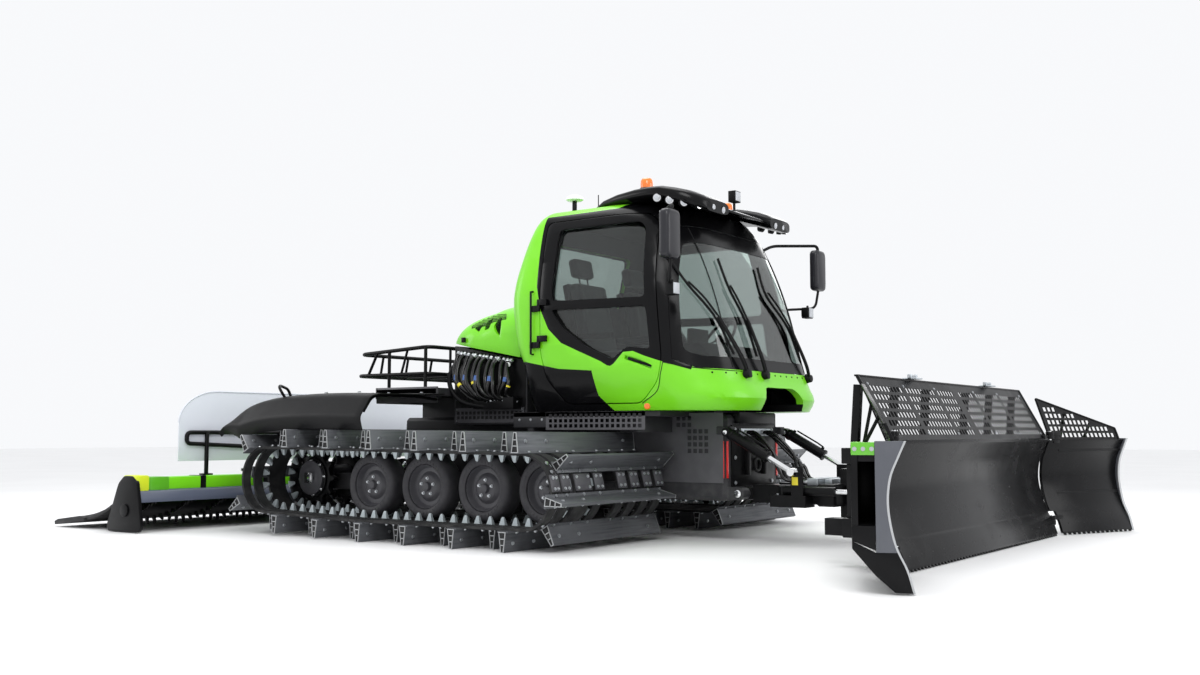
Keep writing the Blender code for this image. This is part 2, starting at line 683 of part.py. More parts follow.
def build_mirror(side):
    def p(x, y, z):
        return (x, side * y, z)
    head = box(*sorted((1.72, 1.80)), *sorted((side * 1.17, side * 1.36)), 2.14, 2.51, 0.025, 2)
    arms = [tube(rounded([p(1.38, 0.72, 2.47), p(1.46, 0.95, 2.54), p(1.76, 1.24, 2.55),
                          p(1.76, 1.265, 2.48)], 0.05), 0.014, 6),
            tube(rounded([p(1.76, 1.265, 2.18), p(1.74, 1.24, 1.98), p(1.58, 1.02, 1.96),
                          p(1.40, 0.80, 1.94)], 0.05), 0.012, 6)]
    lamp = box(1.66, 1.75, *sorted((side * 1.10, side * 1.20)), 1.88, 1.985, 0.012, 1)
    return cut(fuse([head, lamp] + arms), [cab_solid(-GAP)])


def shield_point(z, y, lift):
    """A point just off the windshield at a height and a sideways place."""
    ring = cab_ring(z, -lift)
    side = [v for v in ring[4:len(ring) // 2]]
    side.reverse()
    target = -abs(y)
    for a, b in zip(side, side[1:]):
        if min(a.y, b.y) <= target <= max(a.y, b.y):
            t = (target - a.y) / (b.y - a.y)
            spot = a.lerp(b, t)
            return Vector((spot.x, spot.y if y < 0 else -spot.y, z))
    return Vector((side[0].x, y, z))


def build_wipers():
    cowl = [shield_point(1.30, -0.84 + 1.68 * k / 16, 0.022) for k in range(17)]
    pieces = [tube(cowl, 0.016, 6)]
    for foot, mid, head in ((-0.50, -0.70, -0.86), (0.62, 0.42, 0.20), (-0.20, -0.32, -0.45)):
        path = [shield_point(1.30, foot, 0.022), shield_point(1.45, (foot * 2 + mid) / 3, 0.045),
                shield_point(1.75, mid, 0.045), shield_point(2.05, head, 0.045)]
        pieces.append(tube(path, 0.011, 6))
        blade = [shield_point(1.48, (foot + mid) / 2, 0.022), shield_point(1.75, mid, 0.022),
                 shield_point(2.00, head * 0.97, 0.022), shield_point(2.22, head * 1.02, 0.022)]
        pieces.append(tube(blade, 0.014, 6))
        a, b = shield_point(1.75, mid, 0.045), shield_point(1.75, mid, 0.018)
        pieces.append(rod(a, b, 0.016, 6))
    return fuse(pieces)


# ---------------------------------------------------------------- engine hood
HOOD_TOP = ((-0.905, 1.69), (-0.87, 1.76), (-0.81, 1.82), (-0.67, 1.89), (-0.52, 1.94), (-0.376, 1.975),
            (-0.20, 1.99), (-0.075, 1.995))
HOOD_HINGE = (-0.055, 2.00)


def hood_low(x):
    """Height of the hood's lower edge."""
    return 1.66 - 0.16 * (x + 0.905) / 0.84


def hood_ring(x, inset, low_extra):
    top = smooth_value(HOOD_TOP, x) - inset
    low = hood_low(x) - low_extra
    half = 0.76 - 0.10 * max(0.0, (-0.60 - x) / 0.30) ** 2 - inset
    shoulder = min(0.28, (top - low) * 0.8)
    pts = [(-half, low)]
    for k in range(7):
        angle = math.pi / 2 * k / 6
        pts.append((-half + shoulder * 1.2 * (1 - math.cos(angle)), top - shoulder * (1 - math.sin(angle))))
    pts += [(-y, z) for y, z in reversed(pts)]
    return [Vector((x, y, z)) for y, z in pts]


def build_hood():
    stations = (-0.90, -0.87, -0.81, -0.67, -0.52, -0.36, -0.20, -0.075)
    outer = loft([hood_ring(x, 0.0, 0.0) for x in stations])
    inside = (-0.865, -0.81, -0.67, -0.52, -0.36, -0.20, -0.11)
    inner = loft([hood_ring(x, 0.03, 0.12) for x in inside])
    slots = []
    for s in (-1, 1):
        for x in (-0.60, -0.36):
            slots.append(box(x, x + 0.17, *sorted((s * 0.60, s * 0.90)), 1.72, 1.80))
        slots.append(box(-0.095, -0.05, *sorted((s * 0.285, s * 0.357)), 1.94, 2.03))
    hood = cut(outer, [inner] + slots)
    ears = []
    for s in (-1, 1):
        ears.append(rod((HOOD_HINGE[0], s * 0.35, HOOD_HINGE[1]), (HOOD_HINGE[0], s * 0.42, HOOD_HINGE[1]),
                        0.014, 10))
        ears.append(box(-0.11, HOOD_HINGE[0], *sorted((s * 0.36, s * 0.41)), 1.975, 2.008))
    return fuse([hood] + ears)


def build_hoses():
    y = -ENGINE_BAY_HALF - GAP
    top = box(-0.76, -0.12, y - 0.05, y, 1.405, 1.455, 0.008, 1)
    base = box(-0.55, -0.10, y - 0.12, y, 1.06, 1.16, 0.01, 1)
    pieces = [top, base]
    for k in range(6):
        t = k / 5
        bulge = 0.13 + 0.07 * math.sin(math.pi * t)
        a = (-0.72 + 0.54 * t, y - 0.03, 1.42)
        b = (-0.50 + 0.36 * t, y - 0.06, 1.12)
        path = [a, (a[0] - 0.03, y - bulge * 0.85, 1.37), (a[0] - 0.05 + 0.05 * t, y - bulge, 1.27),
                (b[0] - 0.04, y - bulge * 0.9, 1.18), b]
        pieces.append(tube(rounded(path, 0.08, 2), 0.021, 6))
    return fuse(pieces)


# ------------------------------------------------------------- deck and fenders
def build_deck():
    wing = ENGINE_BAY_HALF + 0.10
    outline = ((DECK_REAR, -DECK_HALF), (DECK_FRONT, -DECK_HALF), (DECK_FRONT, -wing),
               (ENGINE_BAY[0] - 0.06, -wing), (ENGINE_BAY[0] - 0.06, wing), (DECK_FRONT, wing),
               (DECK_FRONT, DECK_HALF), (DECK_REAR, DECK_HALF))
    return plate(outline, DECK_LOW, DECK_TOP, "XY")


def build_rack():
    half = DECK_HALF - 0.05
    front = -0.97
    low = DECK_TOP + 0.13
    ring = [(RACK_REAR + 0.10, -half), (front, -half), (front, half), (RACK_REAR + 0.10, half)]
    top = [(RACK_REAR + 0.14, -half), (front, -half), (front, half), (RACK_REAR + 0.14, half)]
    pieces = [tube(rounded([(x, y, low) for x, y in ring], 0.08) +
                   [Vector((RACK_REAR + 0.10, -half, low))], 0.018, 6)]
    pieces.append(tube(rounded([(x, y, RACK_TOP - 0.05 + 0.05 * (x - RACK_REAR)) for x, y in top], 0.08) +
                       [Vector((RACK_REAR + 0.14, -half, RACK_TOP - 0.04))], 0.018, 6))
    for s in (-1, 1):
        for x in (-1.45, -1.0):
            pieces.append(rod((x, s * half, DECK_TOP + GAP), (x, s * half, RACK_TOP - 0.01), 0.016, 6))
        pieces.append(rod((-1.72, s * half, low), (-1.60, s * half, RACK_TOP - 0.03), 0.014, 6))
    for y in (-0.33, 0.33):
        pieces.append(rod((RACK_REAR + 0.10, y, low), (RACK_REAR + 0.14, y, RACK_TOP - 0.04), 0.014, 6))
        pieces.append(rod((front, y, low), (front, y, RACK_TOP - 0.01), 0.014, 6))
        pieces.append(rod((RACK_REAR + 0.11, y, low), (front, y, low), 0.014, 6))
    return fuse(pieces)


def build_fender(side):
    """A moulded guard over the rear of a track, crowned and turned down outside."""
    line = ((-2.50, 0.90), (-2.44, 0.985), (-2.33, 1.07), (-2.20, 1.125), (-2.00, 1.165), (-1.75, 1.185),
            (-1.45, 1.195), (-1.10, 1.195), (-0.72, 1.185))
    t = 0.012
    rings = []
    for x, z in line:
        drop = min(0.20, 0.04 + (x + 2.50) * 0.6)
        lip = min(0.30, 0.07 + (x + 2.50) * 0.9)
        section = [(DECK_HALF + GAP, z + 0.012), (1.30, z), (1.78, z - 0.005), (1.88, z - 0.03),
                   (2.0, z - drop), (1.97, z - lip)]
        under = [(y - 0.013, v + 0.0) if i > 3 else (y, v - t) for i, (y, v) in enumerate(section)]
        under[3] = (1.872, z - 0.03 - t)
        under[0] = (DECK_HALF + GAP, z)
        rings.append([Vector((x, side * y, v)) for y, v in section + under[::-1]])
    skin = loft(rings)
    stay = [tube(rounded([(-0.80, side * 1.02, 1.145), (-0.80, side * 1.30, 1.172),
                          (-0.80, side * 1.78, 1.168), (-0.80, side * 1.88, 1.03)], 0.08), 0.014, 6),
            tube(rounded([(-1.98, side * 1.62, 1.150), (-1.98, side * 1.66, 1.24), (-1.93, side * 1.80, 1.27),
                          (-1.86, side * 1.86, 1.24), (-1.86, side * 1.80, 1.165)], 0.04), 0.013, 6)]
    return fuse([skin] + stay)


# --------------------------------------------------------------------- blade
FACE = ((0.0, 0.02), (-0.035, 0.12), (-0.10, 0.25), (-0.14, 0.38), (-0.155, 0.50), (-0.14, 0.62),
        (-0.105, 0.71), (-0.06, BLADE_TOP))
FACE_T = 0.03


def face_outline():
    front = list(FACE)
    back = [(x - FACE_T, z) for x, z in reversed(FACE)]
    back[-1] = (back[-1][0], FACE[0][1])
    return front + back


def teeth_outline(y0, y1, count, top, tip):
    points = [(y0, top)]
    pitch = (y1 - y0) / count
    for k in range(count):
        points += [(y0 + pitch * (k + 0.15), tip), (y0 + pitch * (k + 0.5), tip),
                   (y0 + pitch * (k + 0.85), top - 0.01)]
    points.append((y1, top))
    return points


def blade_panel(y0, y1):
    panel = plate([(BLADE_EDGE_X + x, z) for x, z in face_outline()], y0, y1)
    knife = plate([(y0 + 0.001, 0.09), (y1 - 0.001, 0.09), (y1 - 0.001, 0.024), (y0 + 0.001, 0.024)],
                  BLADE_EDGE_X - 0.045, BLADE_EDGE_X - 0.025, "YZ")
    return [panel, knife]


def build_blade():
    x = BLADE_EDGE_X
    pieces = blade_panel(-BLADE_HALF, BLADE_HALF)
    grille = [(x - 0.088, BLADE_TOP - 0.02), (x - 0.062, BLADE_TOP - 0.01), (x - 0.30, GRILLE_TOP),
              (x - 0.32, GRILLE_TOP)]
    pieces.append(plate(grille, -BLADE_HALF + 0.003, BLADE_HALF - 0.003))
    pieces.append(box(x - 0.42, x - 0.155, -BLADE_HALF + 0.02, BLADE_HALF - 0.02, 0.66, 0.76))
    pieces.append(box(x - 0.42, x - 0.125, -BLADE_HALF + 0.02, BLADE_HALF - 0.02, 0.20, 0.32))
    for y in (-1.60, -1.0, -0.42, 0.42, 1.0, 1.60):
        pieces.append(box(x - 0.41, x - 0.16, y - 0.025, y + 0.025, 0.25, 0.72))
        pieces.append(beam((x - 0.36, y, 0.74), (x - 0.33, y, GRILLE_TOP - 0.06), 0.05, 0.05))
    for y in (-0.42, 0.42):
        ends = sorted((y - math.copysign(0.05, y), math.copysign(0.48 - GAP, y)))
        pieces.append(rod((PITCH_PIN[0], ends[0], PITCH_PIN[1]), (PITCH_PIN[0], ends[1], PITCH_PIN[1]), 0.07))
        pieces.append(box(PITCH_PIN[0] + 0.01, x - 0.30, y - 0.043, y + 0.043, 0.305, 0.415))
    notches = []
    for s in (-1, 1):
        pieces += wing_knuckle(s, 0.803, 0.835, -1)
        notches.append(box(x - 0.2, x + 0.1, *sorted((s * 1.672, s * 1.75)), -0.05, 0.20))
        pieces.append(beam((x - 0.40, s * 1.45, 0.25), (x - 0.62, s * 1.45, 0.25), 0.12, 0.11))
        pieces.append(box(x - 0.34, x - 0.22, s * 0.80 - 0.07, s * 0.80 + 0.07, GRILLE_TOP - 0.02,
                          GRILLE_TOP + 0.035, 0.01, 1))
    blade = cut(fuse(pieces), notches)
    lower = []
    for s in (-1, 1):
        lower += [rod((WING_PIN_X, s * WING_PIN_Y, 0.09), (WING_PIN_X, s * WING_PIN_Y, 0.13), 0.03, 12),
                  box(x - 0.075, x - 0.042, *sorted((s * 1.60, s * WING_PIN_Y)), 0.09, 0.13)]
    return fuse([blade] + lower)


def wing_knuckle(side, z0, z1, way):
    """Half a wing hinge on a panel's top edge; way is +1 on the wing."""
    x, y = WING_PIN_X, WING_PIN_Y
    out = [rod((x, side * y, z0), (x, side * y, z1), 0.034, 12),
           box(x - 0.034, x, *sorted((side * y, side * (y + way * 0.14))), z0, z1),
           box(x - 0.040, x - 0.008, *sorted((side * (y + way * 0.06), side * (y + way * 0.135))), 0.77, z1)]
    return out


def wing_frame(side):
    """Matrix that swings a straight wing to its place on the hinge."""
    pin = Vector((WING_PIN_X, side * WING_PIN_Y, 0))
    spin = Matrix.Rotation(math.radians(side * -WING_ANGLE), 4, "Z")
    return Matrix.Translation(pin) @ spin @ Matrix.Translation(-pin)


def build_wing(side):
    x = BLADE_EDGE_X
    y0, y1 = WING_PIN_Y + 0.006, WING_PIN_Y + WING_LENGTH
    pieces = blade_panel(y0, y1)
    end = [(x + 0.004, 0.014), (x - 0.03, 0.13), (x - 0.085, 0.25), (x - 0.115, 0.38), (x - 0.125, 0.50),
           (x - 0.11, 0.62), (x - 0.07, 0.72), (x - 0.03, BLADE_TOP + 0.01), (x - 0.32, BLADE_TOP + 0.01),
           (x - 0.32, 0.26), (x - 0.20, 0.10), (x - 0.10, 0.014)]
    pieces.append(plate(end, y1 - 0.01, y1 + 0.012))
    pieces.append(plate([(y0 + 0.16, 0.70), (y1 - 0.005, 0.70), (y1 - 0.005, 0.80), (y0 + 0.16, 0.80)],
                        x - 0.31, x - 0.10, "YZ"))
    pieces.append(box(x - 0.31, x - 0.13, y0 + 0.16, y1 - 0.005, 0.28, 0.36))
    pieces.append(box(x - 0.31, x - 0.29, y0 + 0.165, y1 - 0.005, 0.30, 0.75))
    pieces.append(box(x - 0.305, x - 0.16, y0 + 0.16, y0 + 0.19, 0.30, 0.75))
    slope = plate([(y0 + 0.05, BLADE_TOP - 0.03), (y1 - 0.03, BLADE_TOP - 0.03), (y1 - 0.03, 0.90),
                   (y0 + 0.05, 1.15)],
                  -0.011, 0.011, "YZ")
    lean = math.radians(-22)
    slope.data.transform(Matrix.Translation((x - 0.083, 0, BLADE_TOP - 0.03)) @
                         Matrix.Rotation(lean, 4, "Y") @ Matrix.Translation((0, 0, -BLADE_TOP + 0.03)))
    pieces.append(slope)
    pieces += wing_knuckle(1, 0.835 + GAP, 0.865, 1)
    wing = cut(fuse(pieces), [box(x - 0.3, x + 0.1, y0 - 0.05, y0 + 0.062, -0.05, 0.20)])
    wing = fuse([wing, rod((WING_PIN_X, WING_PIN_Y, 0.13 + GAP), (WING_PIN_X, WING_PIN_Y, 0.165), 0.03, 12),
                 box(x - 0.075, x - 0.042, WING_PIN_Y, y0 + 0.12, 0.13 + GAP, 0.165)])
    if side < 0:
        flipped = mirrored(wing)
        drop(wing)
        wing = flipped
    wing.data.transform(wing_frame(side))
    return wing


def build_push_frame():
    z = FRAME_Z
    pieces = []
    for s in (-1, 1):
        pieces.append(rod((LIFT_PIN[0], s * 0.165, z), (LIFT_PIN[0], s * (0.29 - GAP), z), 0.055))
        pieces.append(beam((LIFT_PIN[0] + 0.06, s * 0.225, z), (2.50, s * 0.225, z), 0.11, 0.14))
        pieces.append(box(1.84, 1.95, *sorted((s * 0.17, s * 0.28)), z - 0.045, z + 0.045))
        pieces.append(box(2.12, 2.42, *sorted((s * 0.26, s * 0.42)), z - 0.09, z))
        pieces.append(box(2.30, 2.40, *sorted((s * 0.408, s * 0.42)), z - 0.08, 0.60))
        pieces.append(box(2.56, SWIVEL_X + 0.05, -0.08, 0.08, z + s * 0.15 - 0.05, z + s * 0.15 + 0.05))
    pieces.append(box(2.44, 2.60, -0.28, 0.28, z - 0.085, z + 0.085, 0.015, 1))
    pieces.append(box(2.55, 2.63, -0.08, 0.08, z - 0.20, z + 0.20))
    return fuse(pieces)


def build_swivel():
    z = FRAME_Z
    return fuse([rod((SWIVEL_X, 0, z - 0.10 + GAP), (SWIVEL_X, 0, z + 0.10 - GAP), 0.07, 14),
                 box(SWIVEL_X + 0.02, TILT_X - GAP, -0.10, 0.10, z - 0.075, z + 0.075),
                 box(SWIVEL_X + 0.04, SWIVEL_X + 0.12, -0.41, 0.41, z - 0.07, z)])


def build_tilt_yoke():
    z = FRAME_Z
    pieces = [rod((TILT_X, 0, z), (TILT_X + 0.10, 0, z), 0.11, 16),
              box(TILT_X + 0.07, TILT_X + 0.17, -0.56, 0.56, z - 0.07, z + 0.07)]
    for s in (-1, 1):
        pieces.append(box(TILT_X + 0.15, PITCH_PIN[0], s * 0.52 - 0.034, s * 0.52 + 0.034,
                          PITCH_PIN[1] - 0.045, PITCH_PIN[1] + 0.045))
        pieces.append(rod((PITCH_PIN[0], s * 0.52 - 0.04, PITCH_PIN[1]),
                          (PITCH_PIN[0], s * 0.52 + 0.04, PITCH_PIN[1]), 0.06))
    return fuse(pieces)


# ------------------------------------------------------------------ cylinders
def cylinder_pair(a, b, radius, across, barrel_end, rod_start, eye_a, eye_b):
    """Barrel hinged at a and rod with its eye at b, both eyes lying across.

    The barrel ends and the rod starts at the given distances from a.  Each
    eye runs between two offsets along the across direction.
    """
    a, b, across = Vector(a), Vector(b), Vector(across)
    way = (b - a).normalized()
    barrel = rod(a + way * 0.02, a + way * barrel_end, radius, 14)
    bore = rod(a + way * 0.062, a + way * (barrel_end + 0.02), radius * 0.5 + 0.0005, 12)
    collar = rod(a + across * eye_a[0], a + across * eye_a[1], radius * 0.85, 12)
    bar = rod(a + way * rod_start, b, radius * 0.5, 12)
    eye = rod(b + across * eye_b[0], b + across * eye_b[1], radius * 0.72, 12)
    return fuse([cut(barrel, [bore]), collar]), fuse([bar, eye])


LIFT_CYL = ((1.80, 0.50, 0.86), (2.35, 0.50, 0.56))
ANGLE_CYL = ((2.20, 0.36, FRAME_Z + 0.0345), (SWIVEL_X + 0.08, 0.36, FRAME_Z + 0.0345))
TILLER_CYL = ((-1.80, 0.0, 0.93), (-2.40, 0.0, 0.60))


# -------------------------------------------------------------------- tiller
def build_tiller_frame():
    z = TILLER_PIN[1]
    pieces = []
    for s in (-1, 1):
        pieces.append(beam((TILLER_PIN[0] - 0.05, s * 0.26, z), (-2.62, s * 0.34, 0.46), 0.09, 0.12))
        pieces.append(rod((TILLER_PIN[0], s * 0.215, z), (TILLER_PIN[0], s * 0.305, z), 0.055))
        pieces.append(box(TILLER_PIN[0] - 0.10, TILLER_PIN[0], *sorted((s * 0.22, s * 0.30)), z - 0.05, z + 0.05))
    pieces.append(box(-2.76, -2.58, -0.45, 0.45, 0.39, 0.53, 0.012, 1))
    pieces.append(box(-2.45, -2.35, -0.34, 0.34, 0.44, 0.54))
    for s in (-1, 1):
        pieces.append(box(-2.44, -2.36, *sorted((s * 0.05, s * 0.072)), 0.50, 0.64))
    return fuse(pieces)


def build_tiller_beam():
    pieces = [rod((BEAM_X, 0, 0.455), (-2.76 - GAP, 0, 0.455), 0.06, 12),
              box(BEAM_X - 0.085, BEAM_X + 0.085, -TILLER_HALF + 0.05, TILLER_HALF - 0.05, BEAM_Z - 0.05,
                  BEAM_Z + 0.065, 0.02, 2)]
    for s in (-1, 1):
        end = [(-2.80, 0.44), (-2.86, 0.485), (-2.98, 0.485), (-3.06, 0.42), (-3.22, 0.05), (-3.20, 0.005),
               (-2.76, 0.005), (-2.72, 0.05)]
        pieces.append(plate(end, *sorted((s * (TILLER_HALF - 0.055), s * (TILLER_HALF - 0.02)))))
        pieces.append(box(BEAM_X - 0.10, BEAM_X + 0.10, *sorted((s * (TILLER_HALF - 0.16), s * (TILLER_HALF - 0.03))),
                          BEAM_Z - 0.06, BEAM_Z + 0.085, 0.02, 1))
    front = plate([(-2.84, 0.37), (-2.80, 0.35), (-2.765, 0.27), (-2.775, 0.27), (-2.81, 0.345), (-2.845, 0.355)],
                  -TILLER_HALF + 0.05, TILLER_HALF - 0.05)
    back = plate([(-2.98, 0.37), (-3.03, 0.355), (-3.09, 0.31), (-3.09, 0.32), (-3.03, 0.37), (-2.98, 0.385)],
                 -TILLER_HALF + 0.05, TILLER_HALF - 0.05)
    return fuse(pieces + [front, back])


def build_rotor():
    half = TILLER_HALF - 0.075
    shaft = rod((ROTOR_X, -half, ROTOR_Z), (ROTOR_X, half, ROTOR_Z), ROTOR_TUBE_R, 12)
    teeth = []
    count = 30
    for k in range(count):
        y = -half + 0.06 + (2 * half - 0.12) * k / (count - 1)
        for turn in (0.0, math.pi):
            angle = k * 0.7 + turn
            a = Vector((math.cos(angle), 0, math.sin(angle)))
            root = Vector((ROTOR_X, y, ROTOR_Z)) + a * (ROTOR_TUBE_R - 0.02)
            teeth.append(rod(root, root + a * (ROTOR_TOOTH_R - ROTOR_TUBE_R + 0.02), 0.022, 4, 0.010))
    stub = rod((ROTOR_X, -TILLER_HALF + 0.055 + GAP, ROTOR_Z), (ROTOR_X, TILLER_HALF - 0.055 - GAP, ROTOR_Z),
               0.03, 10)
    return boolean(fuse([shaft, stub]), [combine(teeth)], "UNION")


def build_finisher():
    x0, z0 = FINISHER_PIN
    half = TILLER_HALF - 0.075
    side = [(x0 - 0.01, z0 + 0.012), (x0 - 0.12, z0 - 0.045), (-3.55, 0.115), (FINISHER_REAR, 0.045),
            (FINISHER_REAR, 0.015), (-3.55, 0.085), (x0 - 0.12, z0 - 0.075), (x0 - 0.01, z0 - 0.012)]
    pieces = [plate(side, -half, half)]
    ribs = []
    count = 16
    for k in range(count):
        y = -half + 0.10 + (2 * half - 0.20) * k / (count - 1)
        ribs.append(plate([(-3.30, 0.19), (-3.55, 0.14), (-4.02, 0.07), (-4.04, 0.035), (-3.55, 0.10),
                           (-3.30, 0.17)], y - 0.03, y + 0.03))
    pieces.append(combine(ribs))
    reach = TILLER_HALF - 0.055 - GAP
    pieces.append(rod((x0, -reach, z0), (x0, reach, z0), 0.016, 8))
    return fuse(pieces)


def build_splash_guard():
    x = -3.02
    pieces = []
    outline = [(-2.03, 0.60), (-2.03, 0.95)]
    for k in range(6):
        angle = math.pi / 2 * k / 5
        outline.append((-2.03 + 0.42 * (1 - math.cos(angle)), 0.95 + 0.29 * math.sin(angle)))
    outline += [(-y, z) for y, z in reversed(outline)]
    sheet = plate(outline, x - 0.012, x, "YZ")
    pieces.append(sheet)
    for s in (-1, 1):
        pieces.append(tube(rounded([(x + 0.02, s * 0.30, 0.86), (x + 0.02, s * 1.96, 0.86),
                                    (x + 0.02, s * 1.96, 0.76), (x + 0.02, s * 0.30, 0.68)], 0.05), 0.022, 6))
        for y in (0.9, 1.75):
            pieces.append(rod((x + 0.03, s * y, BEAM_Z + 0.065 + GAP), (x + 0.03, s * y, 0.87), 0.022, 8))
    return fuse(pieces)


# ------------------------------------------------------------------ assemble
def main():
    finish(build_hull(), "chassis_hull", HULL_GREY)
    finish(box(ENGINE_BAY[0] + 0.08, ENGINE_BAY[1] - 0.08, -0.33, 0.33, 0.38 + GAP, 1.30, 0.02, 1),
           "engine_block", CAST)
    for s, tag in ((-1, "right"), (1, "left")):
        finish(build_track(s), "track_" + tag, RUBBER)
        finish(build_running_gear(s), "running_gear_" + tag, TYRE)
        hinge = (HINGE_X, s * HINGE_Y, 1.85)
        door = finish(build_door(s), "door_" + tag, GREEN, hinge)
        finish(build_door_glass(s), "door_glass_" + tag, GLASS, hinge, door)
        finish(build_mirror(s), "mirror_" + tag, PLASTIC)
        finish(build_fender(s), "fender_" + tag, PLASTIC)
    finish(build_cab(), "cab_shell", GREEN)
    finish(build_windshield(), "windshield", GLASS)
    finish(build_rear_window(), "rear_window", GLASS)
    finish(build_roof_visor(), "roof_visor", PLASTIC)
    finish(build_seats(), "cab_seats", CLOTH)
    finish(build_console(), "driver_console", PLASTIC)
    finish(build_wipers(), "wipers", PLASTIC)
    finish(build_hood(), "engine_hood", GREEN, (HOOD_HINGE[0], 0, HOOD_HINGE[1]))
    finish(build_hoses(), "hose_bundle", HOSE)
    finish(build_deck(), "rear_deck", HULL_GREY)
    finish(build_rack(), "deck_rack", BLACK)

    push = finish(build_push_frame(), "push_frame", BLACK, (LIFT_PIN[0], 0, LIFT_PIN[1]))
    swivel = finish(build_swivel(), "swivel_head", BLACK, (SWIVEL_X, 0, FRAME_Z), push)
    yoke = finish(build_tilt_yoke(), "tilt_yoke", BLACK, (TILT_X, 0, FRAME_Z), swivel)
    blade = finish(build_blade(), "blade_center", BLACK, (PITCH_PIN[0], 0, PITCH_PIN[1]), yoke)
    for s, tag in ((-1, "right"), (1, "left")):
        finish(build_wing(s), "blade_wing_" + tag, BLACK, (WING_PIN_X, s * WING_PIN_Y, 0.45), blade)
        sideways = (0, s, 0)
        a, b = [(p[0], s * p[1], p[2]) for p in LIFT_CYL]
        barrel, bar = cylinder_pair(a, b, 0.042, sideways, 0.395, 0.27, (-0.034, 0.034),
                                    (-0.08 + GAP, 0.03))
        barrel = finish(barrel, "lift_cylinder_" + tag, BLACK, a)
        finish(bar, "lift_rod_" + tag, STEEL, a, barrel)
        a, b = [(p[0], s * p[1], p[2]) for p in ANGLE_CYL]
        barrel, bar = cylinder_pair(a, b, 0.034, (0, 0, 1), 0.44, 0.238, (-0.0345 + GAP, 0.034),
                                    (-0.0345 + GAP, 0.034))
        barrel = finish(barrel, "angle_cylinder_" + tag, BLACK, a, push)
        finish(bar, "angle_rod_" + tag, STEEL, a, barrel)

    frame = finish(build_tiller_frame(), "tiller_lift_frame", BLACK, (TILLER_PIN[0], 0, TILLER_PIN[1]))
    tiller = finish(build_tiller_beam(), "tiller_beam", GREEN, (-2.76, 0, 0.455), frame)
    finish(build_rotor(), "tiller_rotor", BLACK, (ROTOR_X, 0, ROTOR_Z), tiller)
    finish(build_finisher(), "tiller_finisher", RUBBER, (FINISHER_PIN[0], 0, FINISHER_PIN[1]), tiller)
    finish(build_splash_guard(), "splash_guard", CLEAR, (-3.0, 0, 0.5), tiller)
    a, b = TILLER_CYL
    barrel, bar = cylinder_pair(a, b, 0.045, (0, 1, 0), 0.425, 0.30, (-0.05 + GAP, 0.05 - GAP),
                                (-0.05 + GAP, 0.05 - GAP))
    barrel = finish(barrel, "tiller_cylinder", BLACK, a)
    finish(bar, "tiller_rod", STEEL, a, barrel)


main()
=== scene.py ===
"""Looks of a tracked snow groomer: cab, tracks, winged blade and rear tiller.

Metres, +X forward, +Y to the vehicle's left, +Z up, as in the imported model.
"""
from __future__ import annotations

import logging
import math
from dataclasses import dataclass, field
from enum import Enum
from typing import Any, Iterable, Optional, Sequence

import bmesh
import bpy
from mathutils import Matrix, Vector


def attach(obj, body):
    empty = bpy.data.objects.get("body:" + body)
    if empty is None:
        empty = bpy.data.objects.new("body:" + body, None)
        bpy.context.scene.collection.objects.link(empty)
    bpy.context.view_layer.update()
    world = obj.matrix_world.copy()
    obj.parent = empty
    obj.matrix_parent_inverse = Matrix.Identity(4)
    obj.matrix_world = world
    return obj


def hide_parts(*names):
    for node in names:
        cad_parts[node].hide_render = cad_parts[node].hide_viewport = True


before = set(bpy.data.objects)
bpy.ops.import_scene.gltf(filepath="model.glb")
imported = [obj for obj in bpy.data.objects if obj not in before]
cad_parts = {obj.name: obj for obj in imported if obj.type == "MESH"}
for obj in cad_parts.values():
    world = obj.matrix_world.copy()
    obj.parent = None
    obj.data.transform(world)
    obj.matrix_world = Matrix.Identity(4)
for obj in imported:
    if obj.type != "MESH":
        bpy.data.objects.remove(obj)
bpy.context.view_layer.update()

LOG = logging.getLogger("groomer")
SIDES = ((-1, "right"), (1, "left"))

Colour = tuple[float, float, float]
Point = Sequence[float]


# ------------------------------------------------------------------- shaders
class Value:
    """A shader value that ordinary arithmetic works on."""

    def __init__(self, graph: "Graph", socket: Any) -> None:
        """Wrap an output socket of a graph."""
        self.graph, self.socket = graph, socket

    def _math(self, operation: str, first: Any, second: Any) -> "Value":
        """Add a Math node for one operation."""
        node = self.graph.node("ShaderNodeMath", {"operation": operation}, {0: first, 1: second})
        return Value(self.graph, node.outputs[0])

    def __add__(self, other: Any) -> "Value":
        """Sum."""
        return self._math("ADD", self, other)

    __radd__ = __add__

    def __sub__(self, other: Any) -> "Value":
        """Difference."""
        return self._math("SUBTRACT", self, other)

    def __rsub__(self, other: Any) -> "Value":
        """Difference the other way round."""
        return self._math("SUBTRACT", other, self)

    def __mul__(self, other: Any) -> "Value":
        """Product."""
        return self._math("MULTIPLY", self, other)

    __rmul__ = __mul__

    def over(self, edge: float) -> "Value":
        """One where the value is above an edge, zero elsewhere."""
        return self._math("GREATER_THAN", self, edge)

    def softly(self, low: float, high: float) -> "Value":
        """Zero below low, one above high, a smooth slope between.

        Args:
            low: where it starts to rise.
            high: where it is one.

        Returns:
            The new value.
        """
        node = self.graph.node("ShaderNodeMapRange", {"interpolation_type": "SMOOTHSTEP"},
                               {"Value": self, "From Min": low, "From Max": high})
        return Value(self.graph, node.outputs[0])


